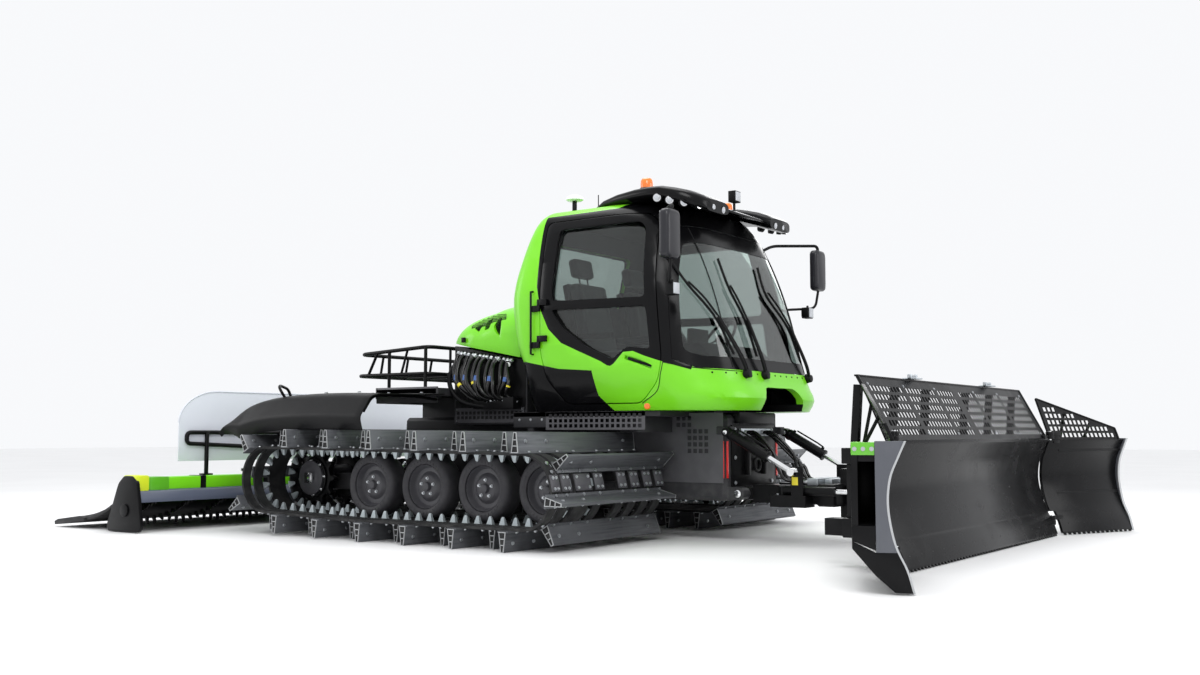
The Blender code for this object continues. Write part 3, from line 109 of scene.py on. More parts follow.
class Graph:
    """The node tree of one new material."""

    def __init__(self, name: str) -> None:
        """Start an empty Principled material."""
        self.material = bpy.data.materials.new(name)
        self.material.use_nodes = True
        self.tree = self.material.node_tree
        self.shader = self.tree.nodes["Principled BSDF"]

    def node(self, kind: str, settings: Optional[dict[str, Any]] = None,
             inputs: Optional[dict[Any, Any]] = None) -> Any:
        """Add a node.

        Args:
            kind: the node's type.
            settings: attributes that are set first; "stops" fills a ramp.
            inputs: a value or link for each named or numbered socket.

        Returns:
            The new node.
        """
        node = self.tree.nodes.new(kind)
        for key, value in (settings or {}).items():
            if key == "stops":
                for element, (spot, colour) in zip(node.color_ramp.elements, value):
                    element.position, element.color = spot, (*colour, 1.0)
            else:
                setattr(node, key, value)
        for key, value in (inputs or {}).items():
            self.put(node.inputs[key], value)
        return node

    def put(self, socket: Any, value: Any) -> None:
        """Link a value to a socket, or set a constant on it.

        Args:
            socket: where it goes.
            value: a value, a link or a constant.
        """
        if isinstance(value, Value):
            self.tree.links.new(value.socket, socket)
        elif hasattr(value, "is_output"):
            self.tree.links.new(value, socket)
        else:
            socket.default_value = value

    def coords(self, stretch: Point = (1.0, 1.0, 1.0)) -> Any:
        """Object coordinates, stretched along each axis.

        Args:
            stretch: a factor for each axis.

        Returns:
            The coordinates.
        """
        source = self.node("ShaderNodeTexCoord")
        return self.node("ShaderNodeMapping", {}, {"Vector": source.outputs["Object"],
                                                   "Scale": tuple(stretch)}).outputs[0]

    def noise(self, scale: float, detail: float = 3.0, stretch: Point = (1.0, 1.0, 1.0)) -> Value:
        """Cloudy noise between zero and one.

        Args:
            scale: how fine it is.
            detail: how many layers it has.
            stretch: a factor for each axis.

        Returns:
            The noise.
        """
        node = self.node("ShaderNodeTexNoise", {}, {"Vector": self.coords(stretch), "Scale": scale,
                                                    "Detail": detail})
        return Value(self, node.outputs[0])

    def cells(self, scale: float) -> Value:
        """Distance to the nearest of scattered points."""
        node = self.node("ShaderNodeTexVoronoi", {}, {"Vector": self.coords(), "Scale": scale})
        return Value(self, node.outputs["Distance"])

    def bands(self, scale: float, direction: str) -> Value:
        """Straight even bands across one axis.

        Args:
            scale: how fine they are.
            direction: X, Y or Z.

        Returns:
            The bands.
        """
        node = self.node("ShaderNodeTexWave", {"bands_direction": direction},
                         {"Vector": self.coords(), "Scale": scale})
        return Value(self, node.outputs["Fac"])

    def mix(self, factor: Any, first: Any, second: Any) -> Any:
        """Blend two colours by a factor.

        Args:
            factor: how much of the second colour.
            first: the first colour.
            second: the second colour.

        Returns:
            The mixed colour.
        """
        node = self.node("ShaderNodeMix", {"data_type": "RGBA"})
        self.put(node.inputs[0], factor)
        self.put(node.inputs[6], (*first, 1.0) if isinstance(first, tuple) else first)
        self.put(node.inputs[7], (*second, 1.0) if isinstance(second, tuple) else second)
        return node.outputs[2]

    def height(self) -> Value:
        """Height above the ground."""
        node = self.node("ShaderNodeSeparateXYZ", {}, {0: self.coords()})
        return Value(self, node.outputs[2])

    def bump(self, relief: Value, strength: float, distance: float = 0.002) -> Any:
        """A normal bent by a relief."""
        return self.node("ShaderNodeBump", {}, {"Height": relief, "Strength": strength,
                                                "Distance": distance}).outputs[0]


class Grain(Enum):
    """How a surface is textured at close range."""

    SPECKLE = "speckle"
    BRUSHED = "brushed"
    WEAVE = "weave"
    PEBBLE = "pebble"
    RIBBED = "ribbed"


@dataclass(frozen=True)
class Finish:
    """One surface finish and the node material that shows it."""

    name: str
    colour: Colour
    worn: Colour
    roughness: float
    spread: float = 0.12
    metallic: float = 0.0
    coat: float = 0.0
    grain: Grain = Grain.SPECKLE
    grain_scale: float = 220.0
    relief: float = 0.12
    wear: float = 0.25
    dust: float = 0.0
    along: Point = (1.0, 1.0, 1.0)
    clear: float = 0.0
    glow: float = 0.0
    alpha: float = 1.0
    shine: float = 0.5
    slot: str = ""

    def relief_of(self, graph: Graph) -> Value:
        """The close-range relief of this grain.

        Args:
            graph: the material's graph.

        Returns:
            The relief.
        """
        scale = self.grain_scale
        if self.grain is Grain.BRUSHED:
            return graph.noise(scale, 2.0, self.along)
        if self.grain is Grain.WEAVE:
            return graph.bands(scale, "X") * graph.bands(scale, "Y") + graph.bands(scale, "Z")
        if self.grain is Grain.PEBBLE:
            return graph.cells(scale)
        if self.grain is Grain.RIBBED:
            return graph.bands(scale, "Y") + 0.3 * graph.noise(90.0)
        return graph.noise(scale, 4.0)

    def build(self) -> Any:
        """Make the material, or give back the one made before.

        Returns:
            The material.
        """
        made = bpy.data.materials.get(self.name)
        if made is not None:
            return made
        graph = Graph(self.name)
        cloud = graph.noise(2.7, 4.0)
        streak = graph.noise(9.0, 5.0, self.along)
        relief = self.relief_of(graph)
        worn = (cloud * 0.55 + streak * 0.45).softly(0.42, 0.72) * self.wear
        colour = graph.mix(worn, self.colour, self.worn)
        if self.dust:
            low = 1.0 - graph.height().softly(0.05, 0.9)
            dusty = low * graph.noise(14.0, 6.0).softly(0.35, 0.75) * self.dust
            colour = graph.mix(dusty, colour, (0.3, 0.29, 0.28))
        shader = graph.shader
        graph.put(shader.inputs["Base Color"], colour)
        graph.put(shader.inputs["Roughness"], (streak - 0.5) * self.spread + worn * 0.12 + self.roughness)
        graph.put(shader.inputs["Metallic"], self.metallic)
        graph.put(shader.inputs["Coat Weight"], self.coat)
        graph.put(shader.inputs["Specular IOR Level"], self.shine)
        graph.put(shader.inputs["Coat Roughness"], 0.06)
        graph.put(shader.inputs["Transmission Weight"], self.clear)
        graph.put(shader.inputs["Alpha"], self.alpha)
        graph.put(shader.inputs["Normal"], graph.bump(relief, self.relief))
        if self.grain is Grain.WEAVE:
            graph.put(shader.inputs["Sheen Weight"], 0.4)
        if self.glow:
            graph.put(shader.inputs["Emission Color"], (*self.colour, 1.0))
            graph.put(shader.inputs["Emission Strength"], self.glow)
        return graph.material


LIME = Finish("lime_coat", (0.175, 0.64, 0.01), (0.195, 0.68, 0.018), 0.34, 0.08, coat=0.2, shine=0.35,
              grain_scale=420.0, relief=0.035, wear=0.6, slot="lime_paint")
# A darker copy of the lime paint that stands for lime in shade: painted shade, used on the wing end band and the
# tiller beam sleeves.
LIME_PAINTED_SHADE = Finish("lime_coat_shaded", (0.1, 0.42, 0.015), (0.12, 0.48, 0.02), 0.34, coat=0.4, relief=0.05,
                    slot="lime_paint")
YELLOW = Finish("yellow_cap_paint", (0.62, 0.72, 0.02), (0.5, 0.6, 0.03), 0.4, relief=0.06,
                slot="lime_paint")
BLACK = Finish("satin_black_coat", (0.0045, 0.0045, 0.005), (0.012, 0.012, 0.013), 0.34, 0.14, shine=0.14,
               grain_scale=300.0, relief=0.06, wear=0.55, slot="black_paint")
BLADE_BLACK = Finish("mouldboard_coat", (0.0035, 0.0035, 0.004), (0.008, 0.008, 0.009), 0.24, 0.1, shine=0.13,
                     grain_scale=260.0, relief=0.012, wear=0.5, along=(1.0, 0.6, 0.8), slot="black_paint")
END_PLATE = Finish("wing_end_coat", (0.085, 0.09, 0.105), (0.13, 0.135, 0.15), 0.34, 0.12, shine=0.4,
                   relief=0.06, wear=0.7, along=(1.0, 1.0, 0.3), slot="black_paint")
HULL = Finish("hull_coat", (0.03, 0.03, 0.033), (0.045, 0.045, 0.049), 0.46, 0.12, relief=0.1, shine=0.3,
              wear=0.6, dust=0.12, slot="hull_grey")
CHANNEL = Finish("deck_channel_coat", (0.085, 0.084, 0.092), (0.12, 0.118, 0.128), 0.42, 0.12, 0.2,
                 relief=0.1, wear=0.7, slot="hull_grey")
MOULDED = Finish("moulded_black", (0.005, 0.005, 0.0055), (0.01, 0.01, 0.011), 0.44, 0.1, shine=0.15,
                 grain=Grain.PEBBLE, grain_scale=420.0, relief=0.16, wear=0.5, slot="black_plastic")
GLOSS = Finish("gloss_black_moulding", (0.003, 0.003, 0.0035), (0.006, 0.006, 0.007), 0.2, 0.06, shine=0.16,
               relief=0.03, slot="black_plastic")
GREY_HOUSING = Finish("mirror_housing", (0.018, 0.018, 0.022), (0.028, 0.028, 0.033), 0.3, 0.08, shine=0.3,
                      relief=0.05, slot="black_plastic")
CLEAT = Finish("cleat_aluminium", (0.115, 0.12, 0.13), (0.06, 0.063, 0.07), 0.46, 0.22, 0.55, shine=0.35,
               grain=Grain.BRUSHED, grain_scale=60.0, relief=0.2, wear=0.9, dust=0.05,
               along=(8.0, 0.35, 8.0), slot="track_rubber")
CUT_EDGE = Finish("cut_aluminium", (0.46, 0.47, 0.48), (0.26, 0.27, 0.28), 0.36, 0.2, 0.6,
                  grain_scale=160.0, relief=0.1, slot="track_rubber")
BOLT = Finish("zinc_bolt", (0.5, 0.52, 0.54), (0.3, 0.31, 0.32), 0.32, 0.2, 0.85, relief=0.15,
              grain_scale=150.0, slot="rod_steel")
HORN = Finish("guide_horn_metal", (0.42, 0.47, 0.49), (0.27, 0.3, 0.32), 0.42, 0.2, 0.5, relief=0.15,
              slot="track_rubber")
BELT = Finish("belt_rubber", (0.01, 0.01, 0.011), (0.026, 0.027, 0.027), 0.72, 0.16, shine=0.3,
              grain=Grain.RIBBED, grain_scale=26.0, relief=0.25, wear=0.8, dust=0.1, slot="track_rubber")
TYRE = Finish("tyre_rubber_skin", (0.034, 0.033, 0.038), (0.056, 0.055, 0.061), 0.58, 0.16, shine=0.35,
              grain=Grain.PEBBLE, grain_scale=160.0, relief=0.25, wear=0.8, dust=0.08, slot="tyre_rubber")
DISC = Finish("wheel_disc_coat", (0.06, 0.059, 0.067), (0.082, 0.081, 0.09), 0.4, 0.12, shine=0.4,
              relief=0.1, wear=0.7, dust=0.06, slot="tyre_rubber")
CHROME = Finish("polished_rod", (0.82, 0.83, 0.84), (0.66, 0.67, 0.68), 0.1, 0.06, 1.0,
                grain=Grain.BRUSHED, grain_scale=140.0, relief=0.04, slot="rod_steel")
GALVANISED = Finish("galvanised_steel", (0.56, 0.6, 0.63), (0.4, 0.43, 0.46), 0.42, 0.2, 0.8,
                    grain=Grain.PEBBLE, grain_scale=60.0, relief=0.15, wear=0.9, slot="rod_steel")
HOSE = Finish("glossy_hose", (0.005, 0.005, 0.005), (0.012, 0.012, 0.013), 0.2, 0.1, shine=0.4,
              grain_scale=240.0, relief=0.1, slot="hose_rubber")
CAST = Finish("cast_block", (0.11, 0.11, 0.115), (0.17, 0.165, 0.16), 0.62, 0.15, 0.5,
              grain=Grain.PEBBLE, grain_scale=90.0, relief=0.35, wear=0.7, slot="engine_iron")
CLOTH = Finish("seat_weave", (0.026, 0.027, 0.03), (0.055, 0.056, 0.062), 0.86, 0.1,
               grain=Grain.WEAVE, grain_scale=120.0, relief=0.35, wear=0.6, slot="seat_cloth")
FINISHER = Finish("comb_rubber", (0.008, 0.008, 0.009), (0.022, 0.022, 0.024), 0.5, 0.16, shine=0.35,
                  grain=Grain.RIBBED, grain_scale=9.0, relief=0.3, wear=0.7, dust=0.05,
                  slot="finisher_rubber")
TINTED = Finish("tinted_pane", (0.44, 0.5, 0.48), (0.41, 0.47, 0.45), 0.012, 0.004, relief=0.0,
                clear=1.0, slot="tinted_glass")
LENS = Finish("lamp_lens", (0.45, 0.47, 0.5), (0.34, 0.36, 0.38), 0.1, 0.05, grain=Grain.RIBBED,
              grain_scale=24.0, relief=0.5, coat=0.4, glow=0.05, slot="tinted_glass")
REFLECTOR = Finish("lamp_bowl", (0.75, 0.76, 0.78), (0.6, 0.6, 0.62), 0.12, 0.06, 1.0, relief=0.1,
                   slot="rod_steel")
AMBER = Finish("amber_lens", (0.85, 0.19, 0.015), (0.65, 0.13, 0.01), 0.18, 0.08, coat=0.6,
               grain=Grain.RIBBED, grain_scale=14.0, relief=0.45, glow=0.1, slot="tinted_glass")
# Its faint glow is painted light on the hull reflector strips; on the rear red lamps it is lamp light.
RED = Finish("red_reflector", (0.72, 0.012, 0.012), (0.55, 0.01, 0.01), 0.3, 0.1, coat=0.4,
             grain=Grain.PEBBLE, grain_scale=180.0, relief=0.4, glow=0.06, slot="tinted_glass")
WHITE = Finish("white_cover", (0.82, 0.83, 0.84), (0.72, 0.73, 0.74), 0.32, 0.08, coat=0.3, relief=0.04,
               slot="black_plastic")
STICKER = Finish("plain_yellow_sticker", (0.8, 0.68, 0.03), (0.68, 0.58, 0.03), 0.42, relief=0.03,
                 slot="black_paint")
BLUE_BAND = Finish("blue_hose_band", (0.03, 0.1, 0.32), (0.05, 0.14, 0.38), 0.4, relief=0.05,
                   slot="hose_rubber")
MILKY = Finish("milky_guard", (0.78, 0.81, 0.88), (0.7, 0.73, 0.81), 0.3, 0.1, coat=0.2,
               relief=0.03, alpha=0.8, slot="milky_sheet")
STRIP = Finish("smoky_skirt", (0.09, 0.105, 0.15), (0.13, 0.145, 0.19), 0.3, 0.1, coat=0.2,
               relief=0.05, alpha=0.93, slot="milky_sheet")
SCREEN = Finish("screen_face", (0.02, 0.03, 0.035), (0.03, 0.05, 0.06), 0.1, 0.05, coat=0.5, relief=0.0,
                glow=0.2, slot="black_plastic")


# -------------------------------------------------------------------- shapes
def rounded(points: Sequence[Point], radius: float, steps: int = 6) -> list[Vector]:
    """Round the inner corners of a polyline.

    Args:
        points: the corners.
        radius: how far each corner is cut back.
        steps: pieces in each rounded corner.

    Returns:
        The rounded polyline.
    """
    corners = [Vector(p) for p in points]
    out = [corners[0]]
    for before, here, after in zip(corners, corners[1:], corners[2:]):
        back, ahead = before - here, after - here
        cut = min(radius, back.length * 0.45, ahead.length * 0.45)
        start, end = here + back.normalized() * cut, here + ahead.normalized() * cut
        for k in range(steps + 1):
            t = k / steps
            out.append((1 - t) ** 2 * start + 2 * t * (1 - t) * here + t * t * end)
    out.append(corners[-1])
    return out


def flowing(points: Sequence[Point], steps: int = 8) -> list[Vector]:
    """A smooth curve through points, with a number of steps for each span.

    Args:
        points: what the curve passes through.
        steps: steps in each span.

    Returns:
        The points of the curve.
    """
    pts = [Vector(p) for p in points]
    pts = [pts[0] * 2 - pts[1]] + pts + [pts[-1] * 2 - pts[-2]]
    out = []
    for a, b, c, d in zip(pts, pts[1:], pts[2:], pts[3:]):
        for k in range(steps):
            t = k / steps
            out.append(0.5 * ((2 * b) + (c - a) * t + (2 * a - 5 * b + 4 * c - d) * t * t
                              + (3 * b - a - 3 * c + d) * t ** 3))
    out.append(pts[-2])
    return out


def eased(table: Sequence[tuple[float, float]], at: float) -> float:
    """Read a table of places and values with a smooth curve between its rows.

    Args:
        table: rows of a place and a value.
        at: the place.

    Returns:
        The value there.
    """
    if at <= table[0][0]:
        return table[0][1]
    slopes = [(b[1] - a[1]) / (b[0] - a[0]) for a, b in zip(table, table[1:])]
    ends = [slopes[0]] + [2 * a * b / (a + b) if a * b > 0 else 0.0 for a, b in zip(slopes, slopes[1:])]
    ends.append(slopes[-1])
    for i, (a, b) in enumerate(zip(table, table[1:])):
        if at <= b[0]:
            h = b[0] - a[0]
            t = (at - a[0]) / h
            return ((2 * t ** 3 - 3 * t * t + 1) * a[1] + (t ** 3 - 2 * t * t + t) * h * ends[i]
                    + (3 * t * t - 2 * t ** 3) * b[1] + (t ** 3 - t * t) * h * ends[i + 1])
    return table[-1][1]


class Shape:
    """A mesh that grows piece by piece and ends as one dressed object."""

    def __init__(self) -> None:
        """Start empty."""
        self.bm = bmesh.new()

    def box(self, x: Point, y: Point, z: Point) -> "Shape":
        """Add a box between two values on each axis.

        Args:
            x: two values.
            y: two values.
            z: two values.

        Returns:
            This shape.
        """
        made = bmesh.ops.create_cube(self.bm, size=1.0)
        low = Vector((min(x), min(y), min(z)))
        high = Vector((max(x), max(y), max(z)))
        for v in made["verts"]:
            v.co = Vector([low[i] + (v.co[i] + 0.5) * (high[i] - low[i]) for i in range(3)])
        return self

    def beam(self, a: Point, b: Point, width: float, height: float) -> "Shape":
        """Add a straight box bar from a to b.

        Args:
            a: one end.
            b: the other end.
            width: its sideways width.
            height: its height.

        Returns:
            This shape.
        """
        a, b = Vector(a), Vector(b)
        axis = b - a
        across = Vector((0, 0, 1)).cross(axis)
        across = across.normalized() if across.length > 1e-6 else Vector((0, 1, 0))
        turn = Matrix((axis.normalized(), across, axis.normalized().cross(across))).transposed().to_4x4()
        made = bmesh.ops.create_cube(self.bm, size=1.0)["verts"]
        for v in made:
            v.co = Vector((v.co.x * axis.length, v.co.y * width, v.co.z * height))
        bmesh.ops.transform(self.bm, matrix=Matrix.Translation((a + b) / 2) @ turn, verts=made)
        return self

    def rod(self, a: Point, b: Point, radius: float, sides: int = 20, end: Optional[float] = None) -> "Shape":
        """Add a straight round bar, which may taper to an end radius.

        Args:
            a: one end.
            b: the other end.
            radius: its radius.
            sides: how many sides it has.
            end: its radius at b, if it tapers.

        Returns:
            This shape.
        """
        a, b = Vector(a), Vector(b)
        axis = b - a
        made = bmesh.ops.create_cone(self.bm, cap_ends=True, segments=sides, radius1=radius,
                                     radius2=radius if end is None else end, depth=axis.length)["verts"]
        turn = axis.to_track_quat("Z", "Y").to_matrix().to_4x4()
        bmesh.ops.transform(self.bm, matrix=Matrix.Translation((a + b) / 2) @ turn, verts=made)
        return self

    def tube(self, points: Sequence[Point], radius: float, sides: int = 10, closed: bool = False) -> "Shape":
        """Sweep a round section along points.

        Args:
            points: the middle line.
            radius: its radius.
            sides: how many sides it has.
            closed: whether it joins its start.

        Returns:
            This shape.
        """
        pts = [Vector(p) for p in points]
        count = len(pts)
        rings = []
        normal = None
        for i, p in enumerate(pts):
            before = pts[i - 1] if i or closed else p
            after = pts[(i + 1) % count] if i < count - 1 or closed else p
            way = (after - before).normalized()
            if normal is None:
                normal = way.orthogonal().normalized()
            normal = (normal - way * normal.dot(way)).normalized()
            side = way.cross(normal)
            rings.append([p + (normal * math.cos(2 * math.pi * k / sides)
                               + side * math.sin(2 * math.pi * k / sides)) * radius for k in range(sides)])
        return self.loft(rings, around=True, joined=closed)

    def loft(self, rings: Sequence[Sequence[Point]], around: bool = True, joined: bool = False) -> "Shape":
        """Add a skin through rings.

        Args:
            rings: points, as many in each ring.
            around: whether each ring closes on itself; then the ends are capped.
            joined: whether the last ring joins the first.

        Returns:
            This shape.
        """
        rows = [[self.bm.verts.new(p) for p in ring] for ring in rings]
        count = len(rows[0])
        pairs = list(zip(rows, rows[1:])) + ([(rows[-1], rows[0])] if joined else [])
        for low, high in pairs:
            for i in range(count if around else count - 1):
                j = (i + 1) % count
                self.bm.faces.new((low[i], low[j], high[j], high[i]))
        if around and not joined:
            self.bm.faces.new(rows[0][::-1])
            self.bm.faces.new(rows[-1])
        return self

    def plate(self, outline: Sequence[Point], lo: float, hi: float, plane: str = "XZ") -> "Shape":
        """Add a flat outline, thick from lo to hi across its plane.

        Args:
            outline: its points.
            lo: where its thickness starts.
            hi: where its thickness ends.
            plane: XZ, YZ or XY.

        Returns:
            This shape.
        """
        put = {"XZ": lambda u, v, w: (u, w, v), "YZ": lambda u, v, w: (w, u, v),
               "XY": lambda u, v, w: (u, v, w)}[plane]
        return self.loft([[put(u, v, w) for u, v in outline] for w in (lo, hi)])

    def revolve(self, profile: Sequence[Point], centre: Point, steps: int = 48,
                axis: str = "Y") -> "Shape":
        """Turn a closed (radius, offset) outline round an axis through a centre.

        Args:
            profile: the outline.
            centre: the middle.
            steps: steps in a full turn.
            axis: X, Y or Z.

        Returns:
            This shape.
        """
        c = Vector(centre)
        rings = []
        for k in range(steps):
            s, t = math.sin(2 * math.pi * k / steps), math.cos(2 * math.pi * k / steps)
            place = {"Y": lambda r, o: (r * t, o, r * s), "Z": lambda r, o: (r * t, r * s, o),
                     "X": lambda r, o: (o, r * t, r * s)}[axis]
            rings.append([c + Vector(place(r, o)) for r, o in profile])
        return self.loft(rings, True, True)

    def sheet(self, at: Any, us: Sequence[float], vs: Sequence[float], kept: Any) -> "Shape":
        """Add a perforated sheet.

        Args:
            at: maps a (u, v) to a point.
            us: the grid lines one way.
            vs: the grid lines the other way.
            kept: says whether cell (i, j) is solid.

        Returns:
            This shape.
        """
        verts: dict[tuple[int, int], Any] = {}

        def corner(i: int, j: int) -> Any:
            """The vertex at a grid crossing."""
            if (i, j) not in verts:
                verts[i, j] = self.bm.verts.new(at(us[i], vs[j]))
            return verts[i, j]

        for i in range(len(us) - 1):
            for j in range(len(vs) - 1):
                if kept(i, j):
                    self.bm.faces.new((corner(i, j), corner(i + 1, j), corner(i + 1, j + 1), corner(i, j + 1)))
        return self

    def bolt(self, spot: Point, way: Point, size: float = 0.012, tall: float = 0.008) -> "Shape":
        """Add a hexagon bolt head with its washer, standing along a direction.

        Args:
            spot: where it stands.
            way: the direction.
            size: its radius.
            tall: how far it stands out.

        Returns:
            This shape.
        """
        spot, way = Vector(spot), Vector(way).normalized()
        self.rod(spot - way * 0.001, spot + way * 0.002, size * 1.35, 14)
        return self.rod(spot, spot + way * tall, size, 6)

    def turn(self, matrix: Matrix) -> "Shape":
        """Move all that has been added so far."""
        bmesh.ops.transform(self.bm, matrix=matrix, verts=self.bm.verts)
        return self

    def mirror(self, side: int) -> "Shape":
        """Mirror what has been added to the right side when side is -1.

        Args:
            side: -1 for right, 1 for left.

        Returns:
            This shape.
        """
        if side < 0:
            bmesh.ops.scale(self.bm, vec=(1, -1, 1), verts=self.bm.verts)
            bmesh.ops.reverse_faces(self.bm, faces=self.bm.faces)
        return self

    def solid(self, name: str = "solid", recalc: bool = True) -> Any:
        """Give the mesh as a plain object and start over.

        Args:
            name: the object's name.
            recalc: whether faces are turned outwards.

        Returns:
            The object.
        """
        if recalc:
            bmesh.ops.recalc_face_normals(self.bm, faces=self.bm.faces)
        mesh = bpy.data.meshes.new(name)
        self.bm.to_mesh(mesh)
        self.bm.free()
        self.bm = bmesh.new()
        obj = bpy.data.objects.new(name, mesh)
        bpy.context.scene.collection.objects.link(obj)
        return obj

    def piece(self, name: str, finish: Finish, body: str = "chassis", bevel: float = 0.0, angle: float = 32.0,
              thick: float = 0.0, replaces: Sequence[str] = ()) -> Any:
        """End as a finished piece that rides on a body.

        Args:
            name: the piece's name.
            finish: what it is dressed in.
            body: the body that it rides on.
            bevel: width of its rounded edges.
            angle: edges sharper than this many degrees stay sharp.
            thick: wall given to an open sheet.
            replaces: the nodes that it stands for.

        Returns:
            The object.
        """
        obj = self.solid(name, recalc=not thick)
        return dress(obj, name, finish, body, bevel, angle, thick, replaces)


def shapes(count: int) -> list[Shape]:
    """As many empty shapes."""
    return [Shape() for _ in range(count)]


def dress(obj: Any, name: str, finish: Finish, body: str = "chassis", bevel: float = 0.0, angle: float = 32.0,
          thick: float = 0.0, replaces: Sequence[str] = ()) -> Any:
    """Name, smooth, round and paint an object, and let it ride on a body.

    Args:
        obj: the object.
        name: the piece's name.
        finish: its finish.
        body: the body that it rides on.
        bevel: width of its rounded edges.
        angle: edges sharper than this many degrees stay sharp.
        thick: wall given to an open sheet.
        replaces: the nodes that it stands for.

    Returns:
        The object.
    """
    obj.name = obj.data.name = name
    if thick:
        wall = obj.modifiers.new("wall", "SOLIDIFY")
        wall.thickness, wall.offset = thick, 0.0
    bevelled(obj, bevel, 30)
    bake(obj)
    obj.data.shade_smooth()
    obj.data.set_sharp_from_angle(angle=math.radians(angle))
    obj.data.materials.clear()
    obj.data.materials.append(finish.build())
    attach(obj, body)
    if replaces:
        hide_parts(*replaces)
    LOG.info("piece %s on %s", name, body)
    return obj


def bevelled(obj: Any, width: float, angle: float) -> None:
    """Round the edges that are sharper than an angle.

    Args:
        obj: the object.
        width: how wide the rounding is; none at zero.
        angle: the angle in degrees.
    """
    if width:
        edge = obj.modifiers.new("edges", "BEVEL")
        edge.width, edge.segments, edge.limit_method = width, 2, "ANGLE"
        edge.angle_limit = math.radians(angle)


def bake(obj: Any) -> None:
    """Turn an object's modifiers into its mesh.

    Args:
        obj: the object.
    """
    if not obj.modifiers:
        return
    bpy.context.view_layer.update()
    graph = bpy.context.evaluated_depsgraph_get()
    mesh = bpy.data.meshes.new_from_object(obj.evaluated_get(graph))
    obj.modifiers.clear()
    old, obj.data = obj.data, mesh
    bpy.data.meshes.remove(old)


def boolean(target: Any, tools: Iterable[Any], operation: str) -> Any:
    """Cut, join or meet a target with tools and bake the result.

    Args:
        target: the object that changes.
        tools: the objects that work on it, which are used up.
        operation: DIFFERENCE, UNION or INTERSECT.

    Returns:
        The target.
    """
    tools = list(tools)
    for tool in tools:
        mod = target.modifiers.new("cut", "BOOLEAN")
        mod.operation, mod.solver, mod.object = operation, "EXACT", tool
    bake(target)
    for tool in tools:
        bpy.data.objects.remove(tool)
    return target


def twin(obj: Any) -> Any:
    """A copy of an object with its own mesh.

    Args:
        obj: the object.

    Returns:
        The copy.
    """
    copy = obj.copy()
    copy.data = obj.data.copy()
    bpy.context.scene.collection.objects.link(copy)
    return copy


def hexed(count: int, radius: float, phase: float = 0.0) -> list[tuple[float, float]]:
    """Points evenly round a circle in a plane."""
    return [(radius * math.cos(2 * math.pi * k / count + phase), radius * math.sin(2 * math.pi * k / count + phase))
            for k in range(count)]


def dress_node(node: str, finish: Finish, bevel: float = 0.004) -> None:
    """Dress a node that stays in sight and round its edges.

    Args:
        node: the node's name.
        finish: its finish.
        bevel: width of its rounded edges.
    """
    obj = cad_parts[node]
    obj.data.materials.clear()
    obj.data.materials.append(finish.build())
    weld = obj.modifiers.new("weld", "WELD")
    weld.merge_threshold = 0.00005
    bevelled(obj, bevel, 35)


# ------------------------------------------------------------- tracks and hull
WHEEL_X = (-0.853, -0.247, 0.359, 0.965)
WHEEL_Z, TYRE_R, TYRE_FACE, TYRE_WIDE = 0.43, 0.26, 1.75, 0.2
SPROCKET = (-1.855, 0.46)
BELT_OUT, BELT_IN = 0.2803, 0.2603


def belt_line(radius: float, arc_steps: int = 24) -> list[tuple[float, float]]:
    """Closed line at a radius round the sprocket and the end wheels.

    Args:
        radius: distance from the wheels' middles.
        arc_steps: steps in half a turn.

    Returns:
        The line's (x, z) points.
    """
    circles = [SPROCKET, (WHEEL_X[0], WHEEL_Z), (WHEEL_X[-1], WHEEL_Z)]
    points = []
    for i in range(3):
        before, here, after = circles[i - 1], circles[i], circles[(i + 1) % 3]
        lead = math.atan2(here[1] - before[1], here[0] - before[0]) - math.pi / 2
        tail = math.atan2(after[1] - here[1], after[0] - here[0]) - math.pi / 2
        while tail < lead:
            tail += 2 * math.pi
        steps = max(1, round(arc_steps * (tail - lead) / math.pi))
        step = (tail - lead) / steps
        reach = radius / math.cos(step / 2)
        points += [(here[0] + reach * math.cos(lead + step * (k + 0.5)),
                    here[1] + reach * math.sin(lead + step * (k + 0.5))) for k in range(steps)]
    return points


def walk(line: Sequence[Point], distance: float) -> tuple[Vector, Vector]:
    """Point and outward normal at a distance along a closed line.

    Args:
        line: the line's points.
        distance: how far from its first point.

    Returns:
        The point and the normal.
    """
    for a, b in zip(line, list(line[1:]) + [line[0]]):
        a, b = Vector(a), Vector(b)
        length = (b - a).length
        if length > 1e-9 and distance <= length:
            way = (b - a) / length
            return a + way * distance, Vector((way.y, -way.x))
        distance -= length
    return Vector(line[0]), Vector((0, -1))


def line_length(line: Sequence[Point]) -> float:
    """Length of a closed line."""
    return sum((Vector(b) - Vector(a)).length for a, b in zip(line, list(line[1:]) + [line[0]]))


@dataclass
class Sided:
    """A sub-assembly that is drawn on the left and ends on its own side."""

    side: int
    tag: str

    def end(self, shape: Shape, name: str, finish: Finish, bevel: float = 0.0, angle: float = 32.0,
            replaces: str = "") -> None:
        """End a shape as a piece of this side.

        Args:
            shape: what was drawn.
            name: the piece's name, with a star where the side goes.
            finish: what it is dressed in.
            bevel: width of its rounded edges.
            angle: edges sharper than this many degrees stay sharp.
            replaces: the node that it stands for, with a star.
        """
        nodes = [replaces.replace("*", self.tag)] if replaces else ()
        shape.mirror(self.side).piece(name.replace("*", self.tag), finish, "chassis", bevel, angle, replaces=nodes)


